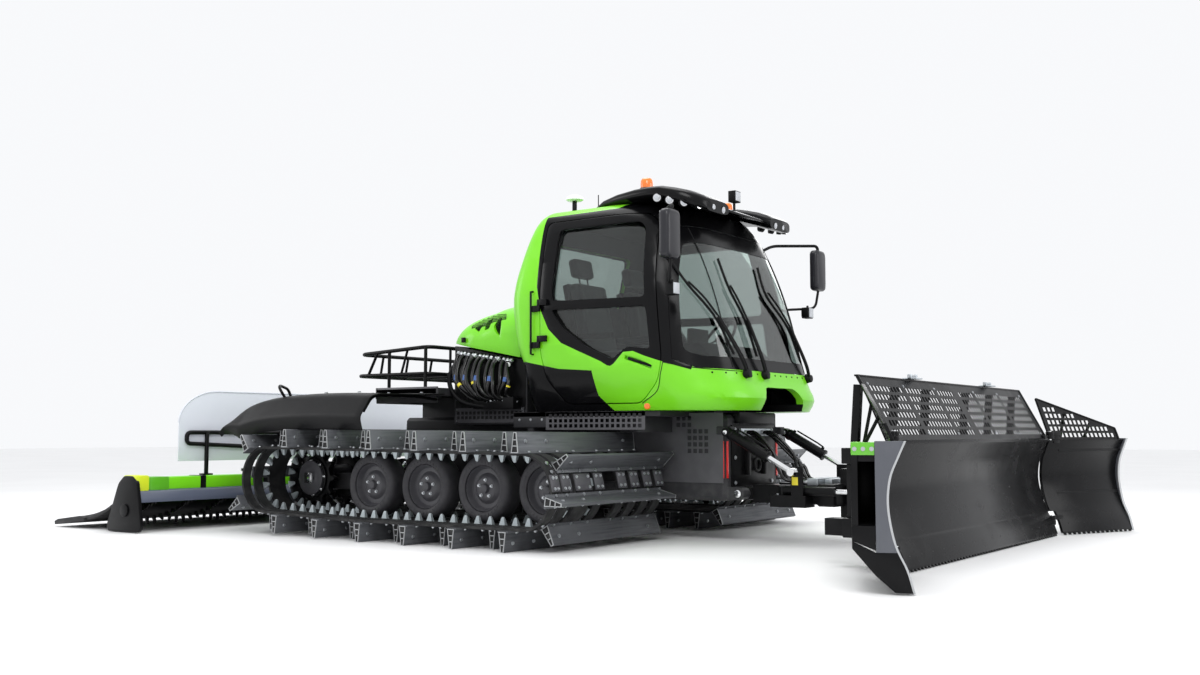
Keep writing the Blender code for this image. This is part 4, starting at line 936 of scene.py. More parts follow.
@dataclass
class Track(Sided):
    """One fixed track: belts, cleats with framed ends, bolts and guide horns."""

    cleats: int = 30
    belts: tuple[tuple[float, float], ...] = ((0.58, 0.68), (0.75, 0.85), (0.93, 1.03), (1.1, 1.2),
                                             (1.4, 1.5), (1.56, 1.74), (1.81, 1.9), (1.94, 2.02))
    line: list[tuple[float, float]] = field(default_factory=lambda: belt_line(BELT_OUT))

    def spot(self, k: float) -> tuple[Vector, Vector, Vector]:
        """Place, outward normal and direction of travel at a cleat number."""
        spot, normal = walk(self.line, line_length(self.line) * ((k + 0.5) / self.cleats % 1.0))
        return spot, normal, Vector((-normal.y, normal.x))

    def ends(self, k: int) -> tuple[float, float]:
        """Inner and outer end of a cleat."""
        return (0.5, 1.92) if k % 2 else (0.6, 2.1)

    def build_belts(self) -> None:
        """Narrow rubber belts that run under the tyres."""
        shape = Shape()
        outer, inner = belt_line(BELT_OUT, 40), belt_line(BELT_IN, 40)
        for near, far in self.belts:
            shape.loft([[(a[0], near, a[1]), (a[0], far, a[1]), (b[0], far, b[1]), (b[0], near, b[1])]
                        for a, b in zip(outer, inner)], True, True)
        self.end(shape, "track_*_belts", BELT, replaces="track_*")

    def build_cleats(self) -> None:
        """Tapered aluminium bars with a foot on the belts."""
        bars, frames, hole_shade, bolts = shapes(4)
        for k in range(self.cleats):
            spot, out, way = self.spot(k)
            near, far = self.ends(k)

            def put(u: float, v: float, y: float) -> tuple[float, float, float]:
                """A point across the bar: u along the travel, v up the bar."""
                p = spot + way * u + out * v
                return (p.x, y, p.y)

            section = ((-0.05, -0.004), (0.05, -0.004), (0.05, 0.006), (0.026, 0.01), (0.0125, 0.1415),
                       (0.008, 0.149), (-0.008, 0.149), (-0.0125, 0.1415), (-0.026, 0.01), (-0.05, 0.006))
            bars.loft([[put(u, v, y) for u, v in section] for y in (near + 0.006, far - 0.006)])
            for y, lip in ((near, 1), (far, -1)):
                ring = ((-0.032, 0.002), (0.032, 0.002), (0.0125, 0.1485), (-0.0125, 0.1485))
                hole = ((-0.0265, 0.007), (0.0265, 0.007), (0.0085, 0.1435), (-0.0085, 0.1435))
                for i in range(4):
                    j = (i + 1) % 4
                    frames.loft([[put(*ring[i], y + d), put(*ring[j], y + d), put(*hole[j], y + d),
                                  put(*hole[i], y + d)] for d in (0.0, lip * 0.007)])
                for v in (0.048, 0.092):
                    half = 0.03 - v * 0.13
                    frames.loft([[put(-half, v, y + d), put(half, v, y + d), put(half, v + 0.006, y + d),
                                  put(-half, v + 0.006, y + d)] for d in (0.0, lip * 0.006)])
                # Black plugs fill the end holes: painted shadow that stands for the shade inside the hollow bars.
                hole_shade.loft([[put(u, v, y + d) for u, v in hole] for d in (lip * 0.0045, lip * 0.02)])
            for a, b in self.belts:
                for u in (-0.038, 0.038):
                    p = put(u, 0.006, (a + b) / 2)
                    bolts.bolt(p, (out.x, 0, out.y), 0.0105, 0.009)
            for y in (far - 0.1, far - 0.34, near + 0.16):
                for s in (-1, 1):
                    p = put(s * 0.0175, 0.085, y)
                    bolts.bolt(p, (s * way.x, 0, s * way.y), 0.0115, 0.01)
        self.end(bars, "track_*_cleats", CLEAT, 0.0018)
        self.end(frames, "track_*_cleat_ends", CUT_EDGE)
        # The black plugs in the end holes are painted shadow.
        self.end(hole_shade, "track_*_cleat_cores", BELT)
        self.end(bolts, "track_*_bolts", BOLT)

    def build_horns(self) -> None:
        """Guide horns on both sides of the tyres."""
        horns = Shape()
        for k in range(self.cleats * 2):
            spot, out, way = self.spot(k / 2)
            for y in (1.505, 1.79):
                def put(u: float, v: float, w: float) -> tuple[float, float, float]:
                    """A point on the horn: u along the belt, v towards the wheel."""
                    p = spot + way * u - out * v
                    return (p.x, y + w, p.y)
                horns.loft([[put(-0.03, 0.012, -0.017), put(0.03, 0.012, -0.017), put(0.03, 0.012, 0.017),
                             put(-0.03, 0.012, 0.017)],
                            [put(-0.013, 0.07, -0.008), put(0.013, 0.07, -0.008), put(0.013, 0.07, 0.008),
                             put(-0.013, 0.07, 0.008)],
                            [put(-0.007, 0.079, -0.005), put(0.007, 0.079, -0.005), put(0.007, 0.079, 0.005),
                             put(-0.007, 0.079, 0.005)]])
        self.end(horns, "track_*_horns", HORN)

    def build_joint(self) -> None:
        """Connector plates across the belts' ends, in one row at the front."""
        plates, bolts = shapes(2)
        front = max(range(self.cleats), key=lambda k: self.spot(k + 0.5)[0].x)
        spot, out, way = self.spot(front + 0.5)
        for a, b in self.belts:
            rings = []
            for lift in (-0.001, 0.01):
                ring = [spot + way * u + out * lift for u in (-0.062, 0.062)]
                rings.append([(ring[0].x, a - 0.006, ring[0].y), (ring[1].x, a - 0.006, ring[1].y),
                              (ring[1].x, b + 0.006, ring[1].y), (ring[0].x, b + 0.006, ring[0].y)])
            plates.loft(rings)
            for u in (-0.04, 0.04):
                for y in (a + 0.022, b - 0.022):
                    p = spot + way * u + out * 0.01
                    bolts.bolt((p.x, y, p.y), (out.x, 0, out.y), 0.009, 0.008)
        self.end(plates, "track_*_joint_plates", DISC, 0.002)
        self.end(bolts, "track_*_joint_bolts", BOLT)

    def build(self) -> None:
        """Make the whole track."""
        self.build_belts()
        self.build_cleats()
        self.build_horns()
        self.build_joint()


@dataclass
class RunningGear(Sided):
    """Road wheels, their beam and axles, and the drive sprocket of one side."""

    teeth: int = 11

    def build_wheels(self) -> None:
        """Tyres with recessed steel discs and hubs."""
        tyres, discs, bolts, hubs = shapes(4)
        f, w = TYRE_FACE, TYRE_WIDE
        tread = [(0.176, f - 0.03), (0.18, f - 0.012), (0.192, f - 0.004), (0.215, f - 0.001),
                 (0.234, f - 0.006), (0.247, f - 0.016), (0.257, f - 0.034), (0.2595, f - 0.06)]
        tyre = tread + [(r, 2 * (f - w / 2) - t) for r, t in reversed(tread)]
        disc = [(0.178, f - 0.028), (0.172, f - 0.022), (0.166, f - 0.03), (0.16, f - 0.06), (0.15, f - 0.072),
                (0.12, f - 0.074), (0.096, f - 0.052), (0.088, f - 0.046), (0.03, f - 0.046),
                (0.03, f - 0.16), (0.15, f - 0.16), (0.178, f - 0.1)]
        for x in WHEEL_X:
            centre = (x, 0, WHEEL_Z)
            tyres.revolve(tyre, centre, 64)
            for k in range(36):
                a = 2 * math.pi * k / 36
                tyres.beam((x + 0.196 * math.cos(a), f - 0.0025, WHEEL_Z + 0.196 * math.sin(a)),
                           (x + 0.212 * math.cos(a), f - 0.0005, WHEEL_Z + 0.212 * math.sin(a)), 0.004, 0.004)
            discs.revolve(disc, centre, 56)
            hubs.revolve([(0.0005, f - 0.05), (0.0005, f - 0.014), (0.022, f - 0.014), (0.034, f - 0.02),
                          (0.04, f - 0.05)], centre, 28)
            for u, v in hexed(5, 0.066, 0.3):
                bolts.bolt((x + u, f - 0.046, WHEEL_Z + v), (0, 1, 0), 0.01, 0.014)
            for u, v in hexed(5, 0.135, 0.9):
                discs.rod((x + u, f - 0.082, WHEEL_Z + v), (x + u, f - 0.0735, WHEEL_Z + v), 0.016, 18)
        self.end(tyres, "wheels_*_tyres", TYRE, replaces="running_gear_*")
        self.end(discs, "wheels_*_discs", DISC, angle=40)
        self.end(hubs, "wheels_*_hubs", DISC, angle=40)
        self.end(bolts, "wheels_*_bolts", BOLT)

    def build_beam(self) -> None:
        """The beam that joins the axles, with the axles and their brackets."""
        beam, bolts = shapes(2)
        beam.box((SPROCKET[0], WHEEL_X[-1] + 0.08), (1.2, 1.32), (WHEEL_Z - 0.07, WHEEL_Z + 0.07))
        for x in WHEEL_X:
            beam.rod((x, 0.44, WHEEL_Z), (x, TYRE_FACE - 0.08, WHEEL_Z), 0.044, 24)
            beam.rod((x, 1.15, WHEEL_Z), (x, 1.37, WHEEL_Z), 0.078, 28)
            for u, v in hexed(6, 0.06, 0.2):
                bolts.bolt((x + u, 1.37, WHEEL_Z + v), (0, 1, 0), 0.008, 0.008)
        for x in (-1.3, -0.55, 0.06, 0.66):
            beam.box((x - 0.03, x + 0.03), (1.192, 1.328), (WHEEL_Z - 0.078, WHEEL_Z + 0.078))
        self.end(beam, "running_beam_*", HULL, 0.006)
        self.end(bolts, "running_beam_bolts_*", BOLT)

    def build_sprocket(self) -> None:
        """Drum, toothed plates and the bright square hub of the drive."""
        drum, wheel, centre = shapes(3)
        x0, z0 = SPROCKET
        drum.rod((x0, 0.44, z0), (x0, 1.44, z0), 0.112, 40)
        drum.rod((x0, 0.5, z0), (x0, 0.7, z0), 0.15, 40)
        drum.revolve([(0.05, 1.46), (0.125, 1.46), (0.15, 1.475), (0.15, 1.5), (0.05, 1.5)],
                     (x0, 0, z0), 40)
        outline = []
        for k in range(self.teeth):
            for part, r in ((-0.3, 0.205), (-0.2, 0.214), (-0.11, 0.248), (-0.05, 0.2565), (0.05, 0.2565),
                            (0.11, 0.248), (0.2, 0.214), (0.3, 0.205)):
                a = 2 * math.pi * (k + part) / self.teeth
                outline.append((x0 + r * math.cos(a), z0 + r * math.sin(a)))
        for y in (1.01, 1.41):
            wheel.plate(outline, y, y + 0.05)
            wheel.rod((x0, y - 0.02, z0), (x0, y + 0.07, z0), 0.175, 40)
        centre.box((x0 - 0.045, x0 + 0.045), (1.495, 1.53), (z0 - 0.045, z0 + 0.045))
        for u, v in hexed(8, 0.15, 0.1):
            centre.bolt((x0 + u, 1.48, z0 + v), (0, 1, 0), 0.011, 0.012)
        self.end(drum, "sprocket_drum_*", DISC, 0.003)
        self.end(wheel, "sprocket_teeth_*", BLACK, 0.003)
        self.end(centre, "sprocket_hub_*", CHROME, 0.003)

    def build(self) -> None:
        """Make the whole running gear."""
        self.build_wheels()
        self.build_beam()
        self.build_sprocket()


def holed(i: int, j: int) -> bool:
    """Whether a grid's cell is solid when every second one both ways is a hole."""
    return not (i % 2 and j % 2)


def stepped(start: float, end: float, hole: float, web: float) -> list[float]:
    """Grid lines from start to end, a web first and last and holes between.

    Args:
        start: the first line.
        end: the last line.
        hole: width of a hole.
        web: width between holes.

    Returns:
        The lines.
    """
    count = max(1, int((end - start - web) / (hole + web)))
    edge = (end - start - count * hole - (count - 1) * web) / 2
    lines, at = [start], start + edge
    for k in range(count):
        lines += [at, at + hole]
        at += hole + web
    return lines + [end]


@dataclass
class Hull:
    """Tub, rear deck, engine block and the sheets beside them."""

    def build_side_panels(self) -> None:
        """Perforated grey sheets along the tub and the engine bay."""
        for s, tag in SIDES:
            sheet, bolts, dark = shapes(3)
            y = s * 0.7085
            us, vs = stepped(-0.86, -0.07, 0.03, 0.0175), stepped(0.945, 1.075, 0.026, 0.015)
            sheet.sheet(lambda u, v: (u, y, v), us, vs, holed)
            for x in (-0.84, -0.09):
                for z in (0.96, 1.06):
                    bolts.bolt((x, y, z), (0, s, 0), 0.008, 0.006)
            y2 = s * 0.446
            us, vs = stepped(0.75, 1.73, 0.034, 0.018), stepped(0.46, 1.015, 0.034, 0.018)

            def kept(i: int, j: int) -> bool:
                """Solid outside two fields of holes."""
                u, v = us[i], vs[j]
                field = (1.38 < u < 1.6 and 0.68 < v < 0.9) or (1.3 < u < 1.42 and 0.9 < v < 1.0)
                return holed(i, j) or not field

            sheet.sheet(lambda u, v: (u, y2, v), us, vs, kept)
            # A black sheet just behind the holes: painted shade seen through the perforations.
            dark.box((-0.86, -0.07), (s * 0.7005, s * 0.706), (0.945, 1.075))
            sheet.piece(f"hull_grille_{tag}", CHANNEL, thick=0.004)
            dark.piece(f"hull_grille_hole_shade_{tag}", BELT)
            bolts.piece(f"hull_grille_bolts_{tag}", BOLT)

    def build_channels(self) -> None:
        """Grey ledges between the tub and the cab over each track's inner edge."""
        for s, tag in SIDES:
            rail, bolts, strips = shapes(3)
            rail.box((-0.045, 1.42), (s * 0.36, s * 0.88), (0.985, 1.028))
            rail.box((-0.045, 0.3), (s * 0.86, s * 0.88), (0.9, 1.028))
            us, vs = stepped(0.3, 1.28, 0.032, 0.02), stepped(0.88, 1.028, 0.028, 0.014)
            Shape().sheet(lambda u, v: (u, s * 0.878, v), us, vs, holed).piece(
                f"sill_grille_{tag}", CHANNEL, thick=0.004)
            rail.box((0.1, 0.16), (s * 0.44, s * 0.87), (0.86, 0.99))
            rail.box((1.2, 1.26), (s * 0.44, s * 0.87), (0.86, 0.99))
            for k in range(3):
                bolts.bolt((0.02 + 0.12 * k, s * 0.88, 0.965), (0, s, 0), 0.008, 0.007)
            strips.box((1.7505, 1.756), (s * 0.405, s * 0.432), (0.5, 0.79))
            strips.box((1.7, 1.735), (s * 0.4405, s * 0.4445), (0.5, 0.79))
            rail.piece(f"cab_sill_{tag}", HULL, bevel=0.004)
            bolts.piece(f"cab_sill_bolts_{tag}", BOLT)
            # The reflector strips' faint glow is painted light; they are no lamps.
            strips.piece(f"hull_reflector_{tag}", RED, bevel=0.001)

    def build_front(self) -> None:
        """Plates, bars and a towing eye on the tub's front."""
        front, bolts = shapes(2)
        front.box((1.75, 1.762), (-0.36, 0.36), (0.42, 0.92))
        front.box((1.6, 1.8), (-0.3, 0.3), (0.93, 1.02))
        for s in (-1, 1):
            front.box((1.755, 1.8), (s * 0.12, s * 0.16), (0.52, 0.8))
            front.beam((1.79, s * 0.14, 0.76), (1.7, s * 0.14, 0.98), 0.04, 0.03)
            for z in (0.46, 0.66, 0.88):
                bolts.bolt((1.762, s * 0.31, z), (1, 0, 0), 0.012, 0.009)
        front.tube([Vector((1.79, 0.05 * math.cos(a), 0.6 + 0.05 * math.sin(a))) for a in
                    [2 * math.pi * k / 24 for k in range(24)]], 0.013, 12, True)
        front.piece("hull_front_plates", BLACK, bevel=0.003)
        bolts.piece("hull_front_bolts", BOLT)

    def build_rear(self) -> None:
        """Lamps, plates and bars on the tub's rear and the deck's edge."""
        plates, lamps, red, bolts = shapes(4)
        plates.box((-1.764, -1.75), (-0.4, 0.4), (0.42, 0.94))
        plates.box((-1.575, -1.565), (-0.98, 0.98), (1.12, 1.245))
        for s in (-1, 1):
            plates.box((-1.62, -1.575), (s * 0.62, s * 0.9), (1.135, 1.235))
            red.rod((-1.62, s * 0.69, 1.185), (-1.634, s * 0.69, 1.185), 0.034, 28)
            lamps.rod((-1.62, s * 0.79, 1.185), (-1.634, s * 0.79, 1.185), 0.034, 28)
            red.rod((-1.62, s * 0.86, 1.185), (-1.63, s * 0.86, 1.185), 0.02, 20)
            for z in (0.46, 0.9):
                for y in (0.12, 0.36):
                    bolts.bolt((-1.764, s * y, z), (-1, 0, 0), 0.012, 0.009)
        for k in range(9):
            bolts.bolt((-1.575, -0.56 + 0.14 * k, 1.225), (-1, 0, 0), 0.008, 0.006)
        plates.piece("hull_rear_plates", HULL, bevel=0.003)
        lamps.piece("rear_flashers", AMBER, bevel=0.003)
        red.piece("rear_red_lamps", RED, bevel=0.003)
        bolts.piece("hull_rear_bolts", BOLT)

    def build_deck(self) -> None:
        """Tread bars and edge rails on the rear deck."""
        tread, rail = shapes(2)
        for i in range(24):
            for j in range(9):
                x, y = -1.52 + 0.07 * j, -0.9 + 0.078 * i
                way = 0.018 if (i + j) % 2 else -0.018
                if -0.82 < y < 0.82 or x < -0.98:
                    tread.beam((x - 0.016, y - way, 1.2515), (x + 0.016, y + way, 1.2515), 0.006, 0.004)
        for s in (-1, 1):
            rail.box((-1.56, -0.82), (s * 0.975, s * 1.0), (1.12, 1.262))
        rail.box((-1.57, -1.545), (-1.0, 1.0), (1.16, 1.262))
        tread.piece("deck_tread", HULL)
        rail.piece("deck_edge_rails", CHANNEL, bevel=0.003)

    def build(self) -> None:
        """Make the hull's looks."""
        dress_node("chassis_hull", HULL, 0.006)
        dress_node("rear_deck", HULL, 0.005)
        dress_node("engine_block", CAST, 0.012)
        self.build_side_panels()
        self.build_channels()
        self.build_front()
        self.build_rear()
        self.build_deck()


# ------------------------------------------------------------- blade and wings
EDGE_X, BLADE_HALF, BLADE_TOP, GRILLE_TOP = 3.7, 1.7, 0.8, 1.22
FACE = ((0.0, 0.02), (-0.035, 0.12), (-0.1, 0.25), (-0.14, 0.38), (-0.155, 0.5), (-0.14, 0.62),
        (-0.105, 0.71), (-0.06, BLADE_TOP))
WING_PIN = (3.645, 1.715)


def face_line(thick: float = 0.026) -> list[tuple[float, float]]:
    """Closed side outline of the curved face sheet."""
    front = [(EDGE_X + p.x, p.y) for p in flowing([(x, z, 0) for x, z in FACE], 6)]
    return front + [(x - thick, z) for x, z in reversed(front)]


def saw_line(y0: float, y1: float, pitch: float = 0.06) -> list[tuple[float, float]]:
    """Outline of a cutting edge with small pointed teeth.

    Args:
        y0: one end.
        y1: the other end.
        pitch: about one tooth's width.

    Returns:
        The outline.
    """
    count = round((y1 - y0) / pitch)
    step = (y1 - y0) / count
    points = [(y0, 0.118), (y0, 0.044)]
    for k in range(count):
        a = y0 + step * k
        points += [(a + step * 0.12, 0.044), (a + step * 0.36, 0.004), (a + step * 0.64, 0.004),
                   (a + step * 0.88, 0.044)]
    return points + [(y1, 0.044), (y1, 0.118)]


def edge_parts(y0: float, y1: float) -> tuple[Shape, Shape]:
    """Cutting edge and its bolts for a run of blade.

    Args:
        y0: one end.
        y1: the other end.

    Returns:
        The edge and its bolts.
    """
    knife, bolts = shapes(2)
    rings = []
    for shift in (0.0, -0.016):
        rings.append([(EDGE_X - 0.004 - (z - 0.02) * 0.34 + shift, y, z) for y, z in saw_line(y0, y1)])
    knife.loft(rings)
    for k in range(round((y1 - y0) / 0.2)):
        y = y0 + 0.1 + 0.2 * k
        bolts.rod((EDGE_X - 0.034, y, 0.088), (EDGE_X - 0.024, y, 0.09), 0.014, 18)
    return knife, bolts


@dataclass
class Blade:
    """The middle of the front blade: curved face, frame, guard grille and brackets."""

    ribs: tuple[float, ...] = (-1.6, -1.0, -0.42, 0.42, 1.0, 1.6)

    def build_face(self) -> None:
        """Curved sheet, cutting edge and folded top."""
        face = Shape()
        face.plate(face_line(), -BLADE_HALF, BLADE_HALF)
        face.box((EDGE_X - 0.105, EDGE_X - 0.058), (-BLADE_HALF, BLADE_HALF), (0.785, 0.812))
        cut = [Shape().box((3.5, 3.8), (s * 1.672, s * 1.75), (-0.05, 0.2)).solid() for s in (-1, 1)]
        panel = face.solid("blade_face")
        boolean(panel, cut, "DIFFERENCE")
        dress(panel, "blade_face", BLADE_BLACK, "blade", 0.002, 24, replaces=["blade_center"])
        knife, bolts = edge_parts(-BLADE_HALF + 0.032, BLADE_HALF - 0.032)
        knife.piece("blade_cutting_edge", BLADE_BLACK, "blade", 0.0015)
        bolts.piece("blade_edge_bolts", BLACK, "blade", 0.002)

    def build_frame(self) -> None:
        """Box tubes, ribs and pin eyes behind the face."""
        x, (frame_shape, pins) = EDGE_X, shapes(2)
        frame_shape.box((x - 0.42, x - 0.155), (-BLADE_HALF + 0.02, BLADE_HALF - 0.02), (0.66, 0.76))
        frame_shape.box((x - 0.42, x - 0.125), (-BLADE_HALF + 0.02, BLADE_HALF - 0.02), (0.2, 0.32))
        for y in self.ribs:
            frame_shape.box((x - 0.41, x - 0.16), (y - 0.025, y + 0.025), (0.25, 0.72))
            frame_shape.beam((x - 0.36, y, 0.74), (x - 0.33, y, GRILLE_TOP - 0.06), 0.05, 0.05)
        for y in (-1.3, -0.72, 0.72, 1.3):
            frame_shape.plate(((x - 0.38, 0.32), (x - 0.13, 0.32), (x - 0.165, 0.45), (x - 0.18, 0.55),
                               (x - 0.165, 0.66), (x - 0.38, 0.66), (x - 0.3, 0.49)), y - 0.008, y + 0.008)
        for y in (-0.42, 0.42):
            inner, outer = y - math.copysign(0.05, y), math.copysign(0.4797, y)
            frame_shape.rod((3.2, inner, 0.36), (3.2, outer, 0.36), 0.07, 32)
            frame_shape.box((3.21, x - 0.3), (y - 0.043, y + 0.043), (0.305, 0.415))
            pins.rod((3.2, inner - math.copysign(0.012, y), 0.36), (3.2, inner, 0.36), 0.034, 24)
        for s in (-1, 1):
            frame_shape.beam((x - 0.4, s * 1.45, 0.25), (x - 0.62, s * 1.45, 0.25), 0.12, 0.11)
            frame_shape.beam((x - 0.5, s * 1.45, 0.3), (x - 0.4, s * 1.45, 0.4), 0.02, 0.02)
            frame_shape.rod((WING_PIN[0], s * WING_PIN[1], 0.803), (WING_PIN[0], s * WING_PIN[1], 0.835), 0.034, 28)
            frame_shape.box((x - 0.089, x - 0.055), (s * WING_PIN[1], s * (WING_PIN[1] - 0.14)), (0.803, 0.835))
            frame_shape.rod((WING_PIN[0], s * WING_PIN[1], 0.09), (WING_PIN[0], s * WING_PIN[1], 0.13), 0.03, 28)
            frame_shape.box((x - 0.075, x - 0.042), (s * 1.6, s * WING_PIN[1]), (0.09, 0.13))
        frame_shape.piece("blade_frame", BLACK, "blade", 0.005)
        pins.piece("blade_pins", CHROME, "blade", 0.002)

    def build_grille(self) -> None:
        """Perforated guard over the face, with its rail and posts."""
        low, high = Vector((EDGE_X - 0.075, BLADE_TOP)), Vector((EDGE_X - 0.3, GRILLE_TOP - 0.006))
        us, vs = stepped(-BLADE_HALF + 0.02, BLADE_HALF - 0.02, 0.036, 0.019), stepped(0.03, 0.93, 0.086, 0.048)
        vs[0], vs[-1] = 0.0, 1.0
        posts = tuple(self.ribs) + (0.0,)

        def kept(i: int, j: int) -> bool:
            """Solid where webs or posts run."""
            return holed(i, j) or any(abs((us[i] + us[i + 1]) / 2 - y) < 0.028 for y in posts)

        def at(u: float, v: float) -> tuple[float, float, float]:
            """A place on the leaning sheet."""
            p = low.lerp(high, v)
            return (p.x, u, p.y)

        Shape().sheet(at, us, vs, kept).piece("blade_guard", BLACK, "blade", thick=0.006)
        rail, zinc, bolts = shapes(3)
        rail.box((high.x - 0.018, high.x + 0.01), (-BLADE_HALF + 0.005, BLADE_HALF - 0.005),
                 (GRILLE_TOP - 0.012, GRILLE_TOP))
        for s in (-1, 1):
            rail.beam((low.x, s * (BLADE_HALF - 0.012), low.y), (high.x, s * (BLADE_HALF - 0.012), high.y), 0.022,
                      0.02)
            zinc.box((EDGE_X - 0.33, EDGE_X - 0.23), (s * 0.8 - 0.06, s * 0.8 + 0.06),
                     (GRILLE_TOP, GRILLE_TOP + 0.01))
            zinc.box((EDGE_X - 0.295, EDGE_X - 0.265), (s * 0.8 - 0.06, s * 0.8 - 0.04),
                     (GRILLE_TOP, GRILLE_TOP + 0.035))
            zinc.box((EDGE_X - 0.295, EDGE_X - 0.265), (s * 0.8 + 0.04, s * 0.8 + 0.06),
                     (GRILLE_TOP, GRILLE_TOP + 0.035))
            bolts.rod((EDGE_X - 0.28, s * 0.8 - 0.07, GRILLE_TOP + 0.022),
                      (EDGE_X - 0.28, s * 0.8 + 0.07, GRILLE_TOP + 0.022), 0.01, 16)
        for y in self.ribs:
            for v in (0.12, 0.88):
                p = low.lerp(high, v)
                bolts.bolt((p.x + 0.003, y, p.y), (0.85, 0, 0.45), 0.008, 0.006)
        rail.piece("blade_guard_rail", BLACK, "blade", 0.003)
        zinc.piece("blade_guard_brackets", GALVANISED, "blade", 0.003)
        bolts.piece("blade_guard_bolts", BOLT, "blade")

    def build(self) -> None:
        """Make the whole blade."""
        self.build_face()
        self.build_frame()
        self.build_grille()


@dataclass
class Wing:
    """One hinged end of the blade: face, end plate, frame and sloping guard."""

    side: int
    tag: str
    start: float = WING_PIN[1] + 0.006
    end: float = WING_PIN[1] + 0.98
    swing: float = 24.0

    def placed(self, shape: Shape) -> Shape:
        """Mirror a shape to its side and swing it forward about the hinge.

        Args:
            shape: the shape.

        Returns:
            The shape.
        """
        pin = Vector((WING_PIN[0], self.side * WING_PIN[1], 0))
        spin = Matrix.Rotation(math.radians(-self.side * self.swing), 4, "Z")
        return shape.mirror(self.side).turn(Matrix.Translation(pin) @ spin @ Matrix.Translation(-pin))

    def build_face(self) -> None:
        """Curved sheet, cutting edge and the broad end plate."""
        body, x = f"wing_{self.tag}", EDGE_X
        face = self.placed(Shape().plate(face_line(), self.start, self.end)).solid()
        notch = self.placed(Shape().box((x - 0.3, x + 0.1), (self.start - 0.05, self.start + 0.062),
                                        (-0.05, 0.2))).solid()
        boolean(face, [notch], "DIFFERENCE")
        dress(face, f"wing_face_{self.tag}", BLADE_BLACK, body, 0.002, 24,
              replaces=[f"blade_wing_{self.tag}"])
        knife, bolts = edge_parts(self.start + 0.062, self.end - 0.004)
        self.placed(knife).piece(f"wing_cutting_edge_{self.tag}", BLADE_BLACK, body, 0.0015)
        self.placed(bolts).piece(f"wing_edge_bolts_{self.tag}", BLACK, body, 0.002)
        front = flowing([(0.004, 0.01, 0), (-0.03, 0.13, 0), (-0.085, 0.25, 0), (-0.115, 0.38, 0),
                         (-0.125, 0.5, 0), (-0.11, 0.62, 0), (-0.07, 0.72, 0), (-0.03, 0.81, 0)], 5)
        upper = [(x + p.x, p.y) for p in front if p.y > 0.22]
        lower = [(x + p.x, p.y) for p in front if p.y <= 0.22]
        near, far = self.end - 0.008, self.end + 0.01
        end_plate = Shape().plate([(upper[0][0] - 0.004, 0.22)] + upper + [(x - 0.195, 0.81), (x - 0.195, 0.22)], near,
                                  far)
        self.placed(end_plate).piece(f"wing_end_plate_{self.tag}", END_PLATE, body, 0.003)
        toe = Shape().plate(lower + [(upper[0][0] - 0.004, 0.2195), (x - 0.195, 0.2195), (x - 0.32, 0.28),
                                     (x - 0.32, 0.24), (x - 0.2, 0.1), (x - 0.1, 0.012)], near, far)
        toe.plate([(x - 0.1955, 0.23), (x - 0.1955, 0.36), (x - 0.32, 0.36), (x - 0.32, 0.28)], near, far - 0.004)
        toe.plate([(x - 0.285, 0.36), (x - 0.285, 0.735), (x - 0.32, 0.735), (x - 0.32, 0.36)], near, far - 0.004)
        self.placed(toe).piece(f"wing_toe_{self.tag}", BLACK, body, 0.003)
        band, studs = shapes(2)
        band.box((x - 0.318, x - 0.1955), (near, far - 0.004), (0.735, 0.803))
        for u in (-0.3, -0.255, -0.21):
            studs.bolt((x + u, far - 0.004, 0.768), (0, 1, 0), 0.009, 0.007)
        # The side-facing band takes the shaded copy of the lime paint (painted shade); the top stripe stays lime.
        self.placed(band).piece(f"wing_green_band_{self.tag}", LIME_PAINTED_SHADE, body, 0.002)
        self.placed(studs).piece(f"wing_band_bolts_{self.tag}", BOLT, body)
        lip = Shape()
        strip = [(x + p.x + 0.0005, p.y) for p in front]
        a, b = self.end - 0.012, self.end + 0.011
        lip.loft([[(u, a, v), (u, b, v), (u - 0.012, b, v), (u - 0.012, a, v)] for u, v in strip])
        self.placed(lip).piece(f"wing_end_lip_{self.tag}", CUT_EDGE, body, 0.001)

    def build_frame(self) -> None:
        """Tubes behind the face and the halves of the hinge."""
        body, x, y0, y1 = f"wing_{self.tag}", EDGE_X, self.start, self.end
        back, stripe = shapes(2)
        back.box((x - 0.31, x - 0.1), (y0 + 0.16, y1 - 0.008), (0.7, 0.796))
        back.box((x - 0.31, x - 0.13), (y0 + 0.16, y1 - 0.008), (0.28, 0.36))
        back.box((x - 0.31, x - 0.29), (y0 + 0.165, y1 - 0.008), (0.3, 0.75))
        back.box((x - 0.305, x - 0.16), (y0 + 0.16, y0 + 0.19), (0.3, 0.75))
        for k in range(3):
            back.box((x - 0.318, x - 0.308), (y0 + 0.26 + 0.24 * k, y0 + 0.3 + 0.24 * k), (0.36, 0.7))
        px, py = WING_PIN
        back.rod((px, py, 0.8353), (px, py, 0.865), 0.034, 28)
        back.box((px - 0.034, px), (py, py + 0.14), (0.8353, 0.865))
        back.box((px - 0.04, px - 0.008), (py + 0.06, py + 0.135), (0.77, 0.865))
        back.rod((px, py, 0.1303), (px, py, 0.165), 0.03, 28)
        back.box((x - 0.075, x - 0.042), (py, y0 + 0.12), (0.1303, 0.165))
        stripe.box((x - 0.316, x - 0.12), (y0 + 0.2, y1 - 0.01), (0.7962, 0.801))
        stripe.box((x - 0.3165, x - 0.31), (y0 + 0.2, y1 - 0.01), (0.735, 0.801))
        self.placed(back).piece(f"wing_frame_{self.tag}", BLACK, body, 0.004)
        self.placed(stripe).piece(f"wing_stripe_{self.tag}", LIME, body, 0.001)
        pin = Shape().rod((px, py, 0.795), (px, py, 0.872), 0.014, 20).rod((px, py, 0.08), (px, py, 0.17), 0.014, 20)
        self.placed(pin).piece(f"wing_pins_{self.tag}", CHROME, body)

